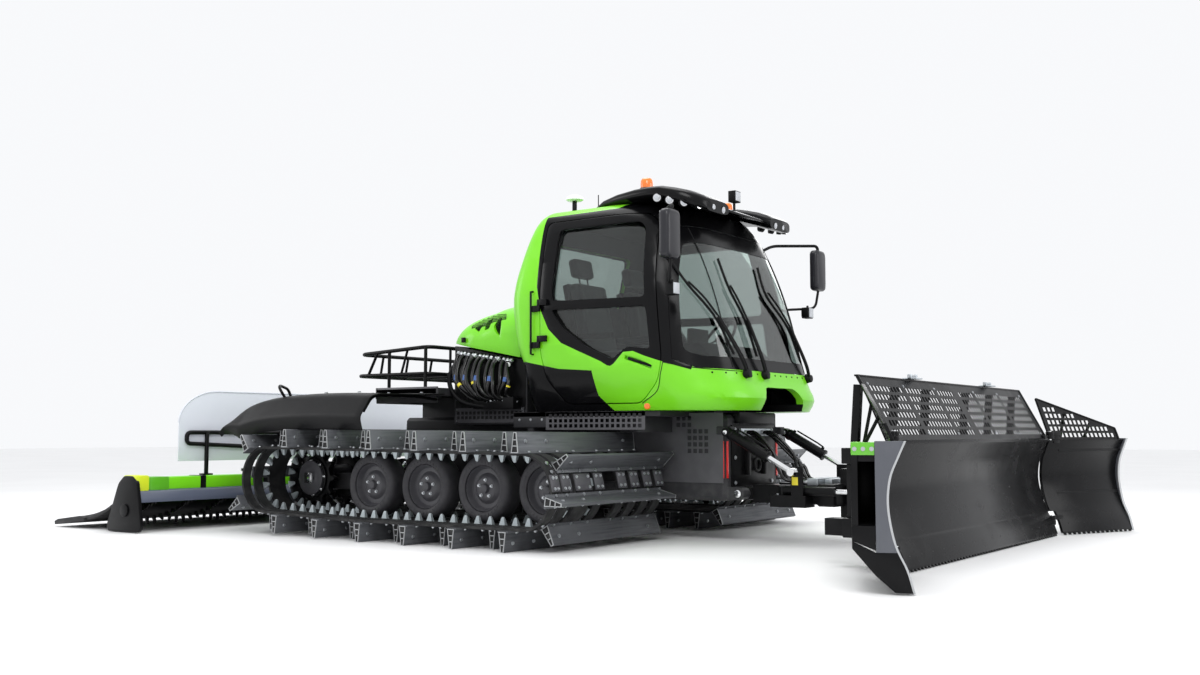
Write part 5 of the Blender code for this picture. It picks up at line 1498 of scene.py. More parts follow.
    def build_guard(self) -> None:
        """Perforated guard that slopes down to the wing's end."""
        body, x = f"wing_{self.tag}", EDGE_X
        u0, u1 = self.start + 0.05, self.end - 0.03
        us, vs = stepped(u0, u1, 0.036, 0.019), stepped(0.79, 1.16, 0.036, 0.019)
        base = Vector((x - 0.083, 0.77))
        lean = math.tan(math.radians(22))

        def top(u: float) -> float:
            """Height of the sloping edge."""
            return 1.15 - 0.25 * (u - u0) / (u1 - u0)

        def at(u: float, v: float) -> tuple[float, float, float]:
            """A place on the leaning sheet."""
            z = min(v, top(u))
            return (base.x - (z - base.y) * lean, u, base.y + (z - base.y) * 0.995)

        def kept(i: int, j: int) -> bool:
            """Solid outside the holes and below the slope."""
            if vs[j] >= top(us[i + 1]) - 1e-4:
                return False
            return holed(i, j) or vs[j + 1] >= top(us[i + 1]) - 0.012

        self.placed(Shape().sheet(at, us, vs, kept)).piece(f"wing_guard_{self.tag}", BLACK, body, thick=0.006)
        rail = Shape()
        a, b = at(u0, 2.0), at(u1, 2.0)
        rail.beam(a, b, 0.022, 0.012)
        rail.beam(at(u0, 0.78), a, 0.016, 0.02)
        rail.beam(at(u1, 0.78), b, 0.016, 0.02)
        for u in (u0 + 0.3, u0 + 0.6):
            rail.beam((x - 0.24, u, 0.79), at(u, top(u) - 0.03), 0.02, 0.02)
        self.placed(rail).piece(f"wing_guard_rail_{self.tag}", BLACK, body, 0.003)

    def build(self) -> None:
        """Make the whole wing."""
        self.build_face()
        self.build_frame()
        self.build_guard()


@dataclass
class FrontLinkage:
    """Push frame, cylinders and their hoses between the tub and the blade."""

    def build_fittings(self) -> None:
        """Ports, pipes and pins on the cylinders."""
        for s, tag in SIDES:
            y = s * 0.5
            way = Vector((0.55, 0, -0.3)).normalized()
            a = Vector((1.8, y, 0.86))
            port, pins = shapes(2)
            port.rod(a + way * 0.385, a + way * 0.4, 0.047, 28)
            port.rod(a + way * 0.035, a + way * 0.055, 0.047, 28)
            for at in (0.07, 0.36):
                spot = a + way * at
                port.rod(spot, spot + Vector((0.028, 0, 0.05)), 0.013, 16)
            port.tube([a + way * 0.36 + Vector((0.028, 0, 0.05)), a + way * 0.3 + Vector((0.03, 0, 0.055)),
                       a + way * 0.09 + Vector((0.03, 0, 0.055))], 0.007, 10)
            port.piece(f"lift_cylinder_fittings_{tag}", BLACK, f"lift_cylinder_{tag}", 0.002)
            pins.rod(a - Vector((0, 0.045, 0)), a + Vector((0, 0.045, 0)), 0.018, 20)
            pins.piece(f"lift_cylinder_pin_{tag}", CHROME, f"lift_cylinder_{tag}", 0.002)

    def build_hoses(self) -> None:
        """Hydraulic hoses from the tub's front to the push frame."""
        hoses, ends = shapes(2)
        for k, y in enumerate((-0.2, -0.14, -0.08, 0.08, 0.14, 0.2)):
            droop = 0.05 * (k % 3)
            path = flowing([(1.79, y, 0.86), (1.9, y * 1.05, 0.85 - droop), (2.06, y * 1.15, 0.7 - droop),
                            (2.1, y * 1.2, 0.58), (2.16, y * 1.1, 0.49), (2.3, y * 0.9, 0.475)], 8)
            hoses.tube(path, 0.0125, 12)
            ends.rod((1.765, y, 0.86), (1.81, y, 0.86), 0.017, 6)
            ends.rod((2.29, y * 0.9, 0.475), (2.33, y * 0.9, 0.475), 0.017, 6)
        hoses.piece("front_hoses", HOSE)
        ends.piece("front_hose_ends", BOLT, bevel=0.0015)
        block = Shape().box((1.765, 1.785), (-0.25, 0.25), (0.83, 0.89))
        block.piece("front_hose_block", GALVANISED, bevel=0.002)
        valve = Shape().box((2.33, 2.42), (-0.2, 0.2), (0.452, 0.505)).box((2.44, 2.5), (-0.12, 0.12), (0.46, 0.5))
        valve.piece("push_frame_valve", GALVANISED, "push_frame", 0.003)

    def build_frame_trim(self) -> None:
        """Pins, plates and a plain sticker on the push frame and yoke."""
        pins, sticker, bolts = shapes(3)
        for s in (-1, 1):
            pins.rod((1.84, s * 0.15, 0.38), (1.84, s * 0.165, 0.38), 0.03, 24)
            pins.rod((1.84, s * 0.41, 0.38), (1.84, s * 0.425, 0.38), 0.03, 24)
            sticker.box((2.31, 2.36), (s * 0.4205, s * 0.422), (0.46, 0.52))
            for x in (2.15, 2.25, 2.35):
                bolts.bolt((x, s * 0.34, 0.381), (0, 0, 1), 0.012, 0.01)
            for z in (0.2, 0.3):
                bolts.bolt((2.63, s * 0.05, z), (1, 0, 0), 0.012, 0.01)
        pins.rod((2.78, 0, 0.568), (2.78, 0, 0.59), 0.04, 28)
        pins.rod((2.78, 0, 0.17), (2.78, 0, 0.184), 0.04, 28)
        pins.piece("push_frame_pins", CHROME, "push_frame", 0.002)
        sticker.piece("push_frame_sticker", STICKER, "push_frame", 0.0004)
        bolts.piece("push_frame_bolts", BOLT, "push_frame")
        cap = Shape().rod((3.03, 0, 0.38), (3.045, 0, 0.38), 0.07, 28)
        for u, v in hexed(6, 0.085, 0.2):
            cap.bolt((3.03, u, 0.38 + v), (1, 0, 0), 0.01, 0.01)
        cap.piece("yoke_cap", BOLT, "tilt_yoke", 0.001)

    def build(self) -> None:
        """Make the whole linkage."""
        for node in ("push_frame", "swivel_head", "tilt_yoke"):
            dress_node(node, BLACK, 0.005)
        for s, tag in SIDES:
            for kind in ("lift", "angle"):
                dress_node(f"{kind}_cylinder_{tag}", BLACK, 0.002)
                dress_node(f"{kind}_rod_{tag}", CHROME, 0.001)
        self.build_fittings()
        self.build_hoses()
        self.build_frame_trim()


# ------------------------------------------------------------------------ cab
CAB_REAR = ((1.03, 0.16), (1.4, 0.1), (1.6, 0.02), (1.96, -0.024), (2.1, -0.01),
            (2.3, 0.034), (2.53, 0.104), (2.71, 0.18))
CAB_FRONT = ((1.03, 2.02), (1.12, 2.05), (1.26, 1.98), (1.9, 1.8), (2.51, 1.57), (2.71, 1.44))
CAB_HALF = ((1.03, 0.92), (1.12, 0.96), (1.35, 1.0), (1.95, 1.0), (2.35, 0.945), (2.6, 0.88),
            (2.71, 0.8))
DOOR = ((0.33, 2.6), (1.29, 2.6), (1.375, 2.5), (1.5, 1.42), (1.47, 1.26), (1.35, 1.14),
        (1.28, 1.09), (0.58, 1.09), (0.4, 1.3), (0.335, 1.52), (0.33, 1.9))
UPPER_LIGHT = ((0.46, 2.53), (1.24, 2.53), (1.29, 2.47), (1.355, 1.91), (0.44, 1.93))
LOWER_LIGHT = ((0.44, 1.86), (1.362, 1.84), (1.405, 1.5), (1.19, 1.53), (1.05, 1.43),
               (0.8, 1.54), (0.56, 1.7))
SHIELD = ((1.462, 2.5), (2.4, 2.5), (2.4, 1.32), (1.75, 1.35), (1.582, 1.42))
BLACK_ZONE = ((0.286, 2.66), (0.284, 2.3), (0.29, 2.06), (0.335, 1.86), (0.413, 1.703), (0.547, 1.582),
              (0.738, 1.502), (0.935, 1.422), (1.0, 1.386), (1.031, 1.38), (1.062, 1.396), (1.155, 1.486),
              (1.246, 1.49), (1.352, 1.449), (1.513, 1.399), (1.72, 1.335), (1.9, 2.5), (1.9, 2.74), (1.12, 2.74),
              (1.0, 2.665))
SKIRT_ZONE = ((0.172, 1.442), (0.522, 1.373), (0.851, 1.35), (0.899, 1.151), (1.038, 1.012), (0.02, 1.012),
              (0.02, 1.442))
HINGE = (0.325, 1.016)


def soften(outline: Sequence[Point], radius: float = 0.05, steps: int = 5) -> list[tuple[float, float]]:
    """Round every corner of a closed outline.

    Args:
        outline: its points.
        radius: the radius of the corners.
        steps: steps in each corner.

    Returns:
        The new outline.
    """
    pts = [Vector((u, v, 0)) for u, v in outline]
    ring = [(pts[-1] + pts[0]) / 2] + pts + [(pts[-1] + pts[0]) / 2]
    return [(p.x, p.y) for p in rounded(ring, radius, steps)[:-1]]


def grown(outline: Sequence[Point], amount: float) -> list[tuple[float, float]]:
    """An outline moved out by an amount on every side.

    Args:
        outline: its points.
        amount: how far, negative for inwards.

    Returns:
        The new outline.
    """
    pts = [Vector(p) for p in outline]
    area = sum(a.x * b.y - b.x * a.y for a, b in zip(pts, pts[1:] + pts[:1]))
    turn = 1 if area > 0 else -1
    out = []
    for before, here, after in zip(pts[-1:] + pts[:-1], pts, pts[1:] + pts[:1]):
        d0, d1 = (here - before).normalized(), (after - here).normalized()
        n0, n1 = Vector((d0.y, -d0.x)) * turn, Vector((d1.y, -d1.x)) * turn
        mid = (n0 + n1).normalized()
        out.append(tuple(here + mid * (amount / max(0.35, mid.dot(n0)))))
    return out


def cab_ring(z: float, inset: float = 0.0) -> list[Vector]:
    """Plan outline of the cab at a height, drawn in by an inset.

    Args:
        z: the height.
        inset: how far inside the skin.

    Returns:
        Points once round the cab.
    """
    rear, front = eased(CAB_REAR, z) + inset, eased(CAB_FRONT, z) - inset
    half = eased(CAB_HALF, z) - inset
    long_r, wide_r, back_r = 0.52 - inset * 0.6, 0.55 - inset * 0.6, 0.14 - inset * 0.6
    ring = []
    for k in range(7):
        a = math.pi / 2 * k / 6
        ring.append((rear + back_r * (1 - math.cos(a)), -(half - back_r) - back_r * math.sin(a)))
    for k in range(1, 6):
        ring.append((rear + back_r + (front - long_r - rear - back_r) * k / 6, -half))
    for k in range(17):
        a = math.pi / 2 * k / 16
        ring.append((front - long_r + long_r * math.sin(a), -(half - wide_r) - wide_r * math.cos(a)))
    ring += [(front, -(half - wide_r) * k / 4) for k in (3, 2, 1)]
    other = [(x, -y) for x, y in reversed(ring)]
    ring = ring + [(front, 0.0)] + other
    ring += [(rear, (half - back_r) * k / 4) for k in (3, 2, 1, 0, -1, -2, -3)]
    return [Vector((x, y, z)) for x, y in ring]


def cab_solid(inset: float = 0.0, low: float = 1.03, high: float = 2.71) -> Any:
    """The cab's outside, or its inside when inset.

    Args:
        inset: how far inside the skin.
        low: its floor.
        high: its roof.

    Returns:
        The solid.
    """
    levels = [low + (min(high, 2.64) - low) * k / 34 for k in range(35)]
    if high > 2.66:
        levels += [2.64 + (high - 2.64) * math.sin(math.pi / 2 * k / 6) for k in range(1, 7)]
    rings = []
    for z in levels:
        rise = max(0.0, (z - 2.64) / 0.07)
        rings.append(cab_ring(z, inset + 0.045 * (1 - math.sqrt(max(0.0, 1 - rise * rise)))))
    return Shape().loft(rings).solid()


def cab_skin(outer: float, inner: float) -> Any:
    """A skin between two insets, open at floor and roof."""
    return boolean(cab_solid(outer, 1.05, 2.66), [cab_solid(inner, 0.93, 2.73)], "DIFFERENCE")


def prism(outline: Sequence[Point], side: int = 0, inner: float = 0.5, outer: float = 1.3) -> Any:
    """A side outline as a solid through one side of the cab, or through both."""
    lo, hi = (-outer, outer) if not side else sorted((side * inner, side * outer))
    return Shape().plate(outline, lo, hi).solid()


@dataclass
class Cab:
    """Cab shell, doors and panes, with lime and black zones."""

    wall: float = 0.06

    def build_shell(self) -> None:
        """Shell with its openings, split into lime and black parts."""
        shell = boolean(cab_solid(), [cab_solid(self.wall, 1.09, 2.66)], "DIFFERENCE")
        tools = [prism(soften(grown(DOOR, 0.008), 0.06), s) for s in (-1, 1)]
        tools.append(prism(SHIELD))
        tools.append(Shape().plate(soften(((-0.62, 2.02), (0.62, 2.02), (0.62, 2.48), (-0.62, 2.48)), 0.06),
                                   -0.4, 0.22, "YZ").solid())
        tools.append(Shape().plate(soften(((-0.4, 0.9), (-0.33, 1.12), (-0.25, 1.215), (0.25, 1.215), (0.33, 1.12),
                                           (0.4, 0.9)), 0.05), 1.5, 2.3, "YZ").solid())
        boolean(shell, tools, "DIFFERENCE")
        dark = twin(shell)
        zones = [prism(BLACK_ZONE), prism(SKIRT_ZONE)]
        boolean(shell, [twin(z) for z in zones], "DIFFERENCE")
        boolean(zones[0], [zones[1]], "UNION")
        boolean(dark, [zones[0]], "INTERSECT")
        self.line(shell, "cab_lining", "chassis")
        self.line(dark, "cab_frame_lining", "chassis")
        dress(shell, "cab_lime_shell", LIME, bevel=0.003, angle=26, replaces=["cab_shell"])
        dress(dark, "cab_black_frame", GLOSS, bevel=0.002, angle=26)

    def line(self, skin: Any, name: str, body: str) -> None:
        """Peel a skin's inner faces off as a dark lining that stays in place.

        Args:
            skin: the skin, which loses those faces.
            name: the lining's name.
            body: the body that it rides on.
        """
        inner = twin(skin)

        def deep(face: Any) -> bool:
            """Whether a face lies well inside the cab's outside.

            Args:
                face: the face.

            Returns:
                True when it is on the inside.
            """
            c = face.calc_center_median()
            if c.z > 2.69 or c.z < 1.05:
                return False
            ring = cab_ring(c.z)
            gap = min(math.hypot(c.x - p.x - (q.x - p.x) * t, c.y - p.y - (q.y - p.y) * t)
                      for p, q in zip(ring, ring[1:] + ring[:1])
                      for t in [min(1.0, max(0.0, ((c.x - p.x) * (q.x - p.x) + (c.y - p.y) * (q.y - p.y))
                                             / max(1e-9, (q.x - p.x) ** 2 + (q.y - p.y) ** 2)))])
            return gap > self.wall * 0.7

        for obj, keep in ((inner, True), (skin, False)):
            bm = bmesh.new()
            bm.from_mesh(obj.data)
            gone = [f for f in bm.faces if deep(f) is not keep]
            bmesh.ops.delete(bm, geom=gone, context="FACES")
            bm.to_mesh(obj.data)
            bm.free()
        dress(inner, name, MOULDED, body, 0.0, 30)

    def build_seams(self) -> None:
        """Thin dark lines where body panels meet, and the cap over the nose."""
        seams, lamps, pads = shapes(3)
        for s in (-1, 1):
            for path in (((1.515, 1.395), (1.5, 1.319), (1.455, 1.18), (1.3, 1.085)),
                         ((1.515, 1.395), (1.62, 1.372), (1.78, 1.345), (1.95, 1.33))):
                seams.tube([self.on_skin(x, z, s) for x, z in self.densified(path)], 0.0035, 6)
            lamps.rod(self.on_skin(1.34, 1.062, s, -0.01), self.on_skin(1.34, 1.062, s, 0.01), 0.026, 24)
        for y in [-0.8 + 0.1 * k for k in range(17)]:
            pads.rod(self.shield_point(1.315, y, -0.004), self.shield_point(1.315, y, 0.004), 0.007, 10)
        seams.piece("cab_seams", BLACK)
        lamps.piece("cab_marker_lamps", AMBER, bevel=0.003)
        pads.piece("nose_studs", BLACK, bevel=0.001)

    def densified(self, path: Sequence[Point]) -> list[tuple[float, float]]:
        """A flowing version of a short side path."""
        return [(p.x, p.y) for p in flowing([(x, z, 0) for x, z in path], 8)]

    def on_skin(self, x: float, z: float, side: int, lift: float = 0.0) -> Vector:
        """The point of the cab's outside at a length and a height on one side.

        Args:
            x: the length.
            z: the height.
            side: -1 for right, 1 for left.
            lift: how far off the skin.

        Returns:
            The point.
        """
        ring = [p for p in cab_ring(z, -lift) if p.y <= 0.0]
        ring = sorted(ring, key=lambda p: p.x)
        best = Vector((x, -0.5, z))
        for a, b in zip(ring, ring[1:]):
            if a.x <= x <= b.x and b.x > a.x:
                best = a.lerp(b, (x - a.x) / (b.x - a.x))
        return Vector((x, best.y if side < 0 else -best.y, z))

    def shield_point(self, z: float, y: float, lift: float) -> Vector:
        """A point off the windshield at a height and a sideways place.

        Args:
            z: the height.
            y: the sideways place.
            lift: how far off the glass.

        Returns:
            The point.
        """
        ring = [p for p in cab_ring(z, -lift) if p.x > 0.9 and p.y <= 0.001]
        ring = sorted(ring, key=lambda p: p.y)
        for a, b in zip(ring, ring[1:]):
            if a.y <= -abs(y) <= b.y and b.y > a.y:
                spot = a.lerp(b, (-abs(y) - a.y) / (b.y - a.y))
                return Vector((spot.x, y, z))
        return Vector((ring[-1].x, y, z))

    def build_door(self, side: int, tag: str) -> None:
        """One door: lime lower part, black window frame, pane, handle and hinges.

        Args:
            side: -1 for right, 1 for left.
            tag: the side's name.
        """
        body = f"door_{tag}"
        panel = boolean(cab_skin(0.0, self.wall), [prism(soften(DOOR, 0.06), side)], "INTERSECT")
        lights = [prism(soften(UPPER_LIGHT, 0.05), side), prism(soften(LOWER_LIGHT, 0.04), side)]
        recess = Shape().plate(soften(((1.172, 1.462), (1.31, 1.425), (1.428, 1.372), (1.415, 1.345),
                                       (1.29, 1.392), (1.165, 1.43)), 0.012),
                               *sorted((side * 0.972, side * 1.2))).solid()
        boolean(panel, lights + [recess], "DIFFERENCE")
        dark = twin(panel)
        zone = boolean(prism(BLACK_ZONE, side), [prism(SKIRT_ZONE, side)], "UNION")
        boolean(panel, [twin(zone)], "DIFFERENCE")
        boolean(dark, [zone], "INTERSECT")
        self.line(panel, f"door_lining_{tag}", body)
        dress(panel, f"door_lime_{tag}", LIME, body, 0.002, 26, replaces=[f"door_{tag}"])
        dress(dark, f"door_frame_{tag}", GLOSS, body, 0.002, 26)
        around = ((0.42, 2.56), (1.26, 2.56), (1.32, 2.49), (1.44, 1.47), (1.19, 1.5), (1.05, 1.4),
                  (0.78, 1.51), (0.52, 1.68), (0.41, 1.87))
        pane = boolean(cab_skin(self.wall - 0.024, self.wall - 0.014), [prism(around, side)], "INTERSECT")
        dress(pane, f"door_pane_{tag}", TINTED, body, replaces=[f"door_glass_{tag}"])
        trim, seal = shapes(2)
        trim.beam((1.19, side * 0.982, 1.437), (1.4, side * 0.975, 1.372), 0.012, 0.02)
        for z in (1.6, 1.9):
            trim.rod((HINGE[0], side * HINGE[1], z), (HINGE[0], side * HINGE[1], z + 0.05), 0.014, 20)
            trim.box((HINGE[0], HINGE[0] + 0.085), (side * 1.007, side * 1.026), (z, z + 0.05))
        trim.piece(f"door_handle_hinges_{tag}", BLACK, body, 0.003)
        for light in (UPPER_LIGHT, LOWER_LIGHT):
            ring = soften(grown(light, 0.004), 0.05, 4)
            seal.tube([self.on_skin(x, z, side, -0.006) for x, z in ring], 0.006, 8, True)
        seal.piece(f"door_seals_{tag}", MOULDED, body)

    def build_panes(self) -> None:
        """Windshield with its black border, and the rear window."""
        clear = ((1.535, 2.36), (2.4, 2.36), (2.4, 1.43), (1.78, 1.44), (1.655, 1.485))
        glass = boolean(cab_skin(0.004, 0.012), [prism(grown(SHIELD, -0.004))], "INTERSECT")
        dress(glass, "windshield_pane", TINTED, replaces=["windshield"])
        border = boolean(cab_skin(0.0, 0.0032), [prism(grown(SHIELD, -0.003))], "INTERSECT")
        boolean(border, [prism(soften(clear, 0.05))], "DIFFERENCE")
        dress(border, "windshield_border", GLOSS, angle=26)
        seams = Shape()
        for s in (-1, 1):
            seams.tube([self.shield_point(z, s * 0.62, 0.0) for z in [1.36 + 0.07 * k for k in range(17)]],
                       0.005, 8)
        seams.piece("windshield_seams", MOULDED)
        back = boolean(cab_skin(0.012, 0.024),
                       [Shape().box((-0.39, 0.21), (-0.617, 0.617), (2.023, 2.477)).solid()], "INTERSECT")
        dress(back, "rear_pane", TINTED, replaces=["rear_window"])
        seal = Shape()
        ring = soften(((-0.615, 2.025), (0.615, 2.025), (0.615, 2.475), (-0.615, 2.475)), 0.06)
        seal.tube([(eased(CAB_REAR, z) + 0.006, y, z) for y, z in ring], 0.008, 8, True)
        seal.piece("rear_window_seal", MOULDED)

    def build_floor(self) -> None:
        """Floor mat, inner lining and the hinge halves on the shell."""
        mat, fixed = shapes(2)
        mat.box((0.2, 1.4), (-0.84, 0.84), (1.09, 1.098))
        mat.box((1.49, 1.5), (-0.45, 0.45), (1.035, 1.24))
        mat.box((1.5, 1.9), (-0.45, 0.45), (1.222, 1.232))
        mat.piece("cab_floor_mat", MOULDED, bevel=0.002)
        for s in (-1, 1):
            for z in (1.55, 1.85):
                fixed.rod((HINGE[0], s * HINGE[1], z), (HINGE[0], s * HINGE[1], z + 0.0497), 0.014, 20)
                fixed.box((HINGE[0], HINGE[0] - 0.085), (s * 1.007, s * 1.026), (z, z + 0.0497))
                fixed.box((HINGE[0] - 0.022, HINGE[0] - 0.085), (s * 0.975, s * 1.02), (z, z + 0.0497))
            fixed.box((-0.072, 0.02), (s * 0.3, s * 0.3497), (1.985, 2.015))
            a, b = self.on_skin(0.257, 1.5, s, 0.03), self.on_skin(0.252, 2.02, s, 0.03)
            fixed.tube([self.on_skin(0.257, 1.5, s), a, b, self.on_skin(0.252, 2.02, s)], 0.009, 12)
        fixed.piece("cab_hinges_grips", BLACK, bevel=0.002)

    def build(self) -> None:
        """Make the whole cab."""
        self.build_shell()
        self.build_seams()
        for side, tag in SIDES:
            self.build_door(side, tag)
        self.build_panes()
        self.build_floor()


@dataclass
class Wipers:
    """Three wipers with arms, blades and pivot covers on the nose."""

    cab: Cab

    def build(self) -> None:
        """Make the wipers."""
        arms, blades, covers = shapes(3)
        at = self.cab.shield_point
        for foot, mid, head in ((-0.5, -0.7, -0.86), (0.62, 0.42, 0.2), (-0.2, -0.32, -0.45)):
            for gap in (-0.012, 0.012):
                path = flowing([at(1.31, foot + gap, 0.03), at(1.45, (foot * 2 + mid) / 3 + gap, 0.05),
                                at(1.75, mid + gap * 0.4, 0.046)], 8)
                arms.tube(path, 0.0115, 10)
            arms.tube(flowing([at(1.75, mid, 0.046), at(1.9, (mid + head) / 2, 0.046),
                               at(2.02, head * 0.99, 0.044)], 6), 0.009, 10)
            line = flowing([at(1.46, (foot + mid) / 2, 0.02), at(1.75, mid, 0.021),
                            at(2.0, head * 0.97, 0.021), at(2.24, head * 1.02, 0.02)], 10)
            blades.tube(line, 0.01, 10)
            blades.tube([p + Vector((-0.008, 0, -0.003)) for p in line], 0.004, 6)
            covers.rod(at(1.315, foot, 0.002), at(1.315, foot, 0.048), 0.042, 24, 0.03)
            covers.rod(at(1.3, foot + 0.06, 0.002), at(1.3, foot + 0.06, 0.02), 0.014, 16)
        arms.piece("wiper_arms", BLACK, replaces=["wipers"])
        blades.piece("wiper_blades", MOULDED)
        covers.piece("wiper_covers", MOULDED, bevel=0.003)


@dataclass
class Roof:
    """Lamp pods, beacons, antennas and lamps on the roof."""

    def build_pods(self) -> None:
        """Smooth black pods that droop over the windshield's top edge."""
        for s, tag in SIDES:
            stations = ((0.62, 0.5, 0.64, 2.712, 2.728), (0.78, 0.44, 0.74, 2.712, 2.775),
                        (0.95, 0.4, 0.8, 2.712, 2.8), (1.15, 0.37, 0.85, 2.71, 2.813),
                        (1.3, 0.36, 0.88, 2.706, 2.815), (1.42, 0.345, 0.895, 2.695, 2.806),
                        (1.52, 0.34, 0.885, 2.655, 2.785), (1.62, 0.34, 0.855, 2.622, 2.757),
                        (1.7, 0.345, 0.79, 2.597, 2.722), (1.75, 0.36, 0.72, 2.59, 2.69))
            rings = []
            for x, a, b, low, high in stations:
                ring = []
                for k in range(28):
                    angle = 2 * math.pi * k / 28
                    u = math.copysign(abs(math.cos(angle)) ** 0.5, math.cos(angle))
                    v = math.copysign(abs(math.sin(angle)) ** 0.6, math.sin(angle))
                    ring.append((x, s * ((a + b) / 2 + u * (b - a) / 2), (low + high) / 2 + v * (high - low) / 2))
                rings.append(ring)
            Shape().loft(rings).piece(f"roof_pod_{tag}", GLOSS, angle=50, replaces=["roof_visor"])
            self.build_lamps(s, tag)

    def build_lamps(self, s: int, tag: str) -> None:
        """Four round lamps in a row round a pod's outer front.

        Args:
            s: -1 for right, 1 for left.
            tag: the side's name.
        """
        rims, bowls, lenses = shapes(3)
        for x, y, z, turn in ((1.395, 0.868, 2.7, 68), (1.5, 0.86, 2.672, 52), (1.6, 0.815, 2.65, 36),
                              (1.69, 0.735, 2.632, 20), (1.73, 0.6, 2.628, 6), (1.735, 0.45, 2.628, 0)):
            a = math.radians(turn)
            way = Vector((math.cos(a), s * math.sin(a), -0.12)).normalized()
            p = Vector((x, s * y, z))
            r = 0.036 if turn > 10 else 0.03
            rims.rod(p - way * 0.02, p + way * 0.018, r, 28)
            bowls.rod(p + way * 0.0182, p + way * 0.0192, r * 0.86, 28)
            lenses.rod(p + way * 0.0194, p + way * 0.0235, r * 0.66, 28, r * 0.5)
        rims.piece(f"roof_lamp_rims_{tag}", MOULDED, bevel=0.002)
        bowls.piece(f"roof_lamp_bowls_{tag}", REFLECTOR)
        lenses.piece(f"roof_lamp_lenses_{tag}", LENS, angle=50)

    def build_beacons(self) -> None:
        """Amber beacons, the receiver dome, the whip and the small lamps."""
        bases, amber, dome, rods, lens = shapes(5)
        for s in (-1, 1):
            bases.revolve([(0.0005, 2.79), (0.064, 2.79), (0.064, 2.822), (0.055, 2.838), (0.0005, 2.838)],
                          (1.16, s * 0.66, 0), 32, "Z")
            amber.revolve([(0.0005, 2.836), (0.051, 2.836), (0.052, 2.87), (0.049, 2.902), (0.038, 2.916),
                           (0.0005, 2.919)], (1.16, s * 0.66, 0), 32, "Z")
        dome.revolve([(0.0005, 2.832), (0.06, 2.832), (0.076, 2.842), (0.072, 2.862), (0.048, 2.878),
                      (0.0005, 2.884)], (0.37, -0.58, 0), 36, "Z")
        rods.rod((0.37, -0.58, 2.712), (0.37, -0.58, 2.834), 0.02, 20)
        rods.rod((0.37, -0.58, 2.712), (0.37, -0.58, 2.722), 0.045, 24)
        rods.box((0.3, 0.7), (-0.62, -0.54), (2.71, 2.722))
        rods.rod((0.62, -0.58, 2.712), (0.62, -0.58, 2.745), 0.014, 16, 0.008)
        rods.rod((0.62, -0.58, 2.74), (0.62, -0.58, 2.858), 0.0045, 10)
        rods.rod((1.6, 0.0, 2.69), (1.6, 0.0, 2.79), 0.011, 14)
        rods.box((1.57, 1.635), (-0.048, 0.048), (2.775, 2.868))
        lens.box((1.6352, 1.64), (-0.04, 0.04), (2.783, 2.86))
        rods.box((0.13, 0.19), (0.4, 0.52), (2.655, 2.735))
        lens.box((0.124, 0.1298), (0.41, 0.51), (2.665, 2.725))
        bases.piece("beacon_bases", MOULDED, bevel=0.002)
        amber.piece("beacon_domes", AMBER, angle=50)
        dome.piece("receiver_dome", WHITE, angle=50)
        rods.piece("roof_rods", MOULDED, bevel=0.003)
        lens.piece("roof_work_lenses", LENS, bevel=0.001)

    def build_strip(self) -> None:
        """Hood between the pods and its black lip."""
        lip, panel = shapes(2)
        lip.loft([[(x, -0.4, z), (x, 0.4, z), (x, 0.4, z - t), (x, -0.4, z - t)]
                  for x, z, t in ((1.3, 2.735, 0.02), (1.45, 2.745, 0.03), (1.6, 2.705, 0.035),
                                  (1.72, 2.655, 0.02))])
        panel.box((0.45, 1.25), (-0.3, 0.3), (2.7102, 2.722))
        for k in range(6):
            panel.box((0.5 + 0.12 * k, 0.56 + 0.12 * k), (-0.28, 0.28), (2.722, 2.727))
        lip.piece("roof_lip", GLOSS, bevel=0.006)
        panel.piece("roof_panel", LIME, bevel=0.004)

    def build(self) -> None:
        """Make everything on the roof."""
        self.build_pods()
        self.build_beacons()
        self.build_strip()


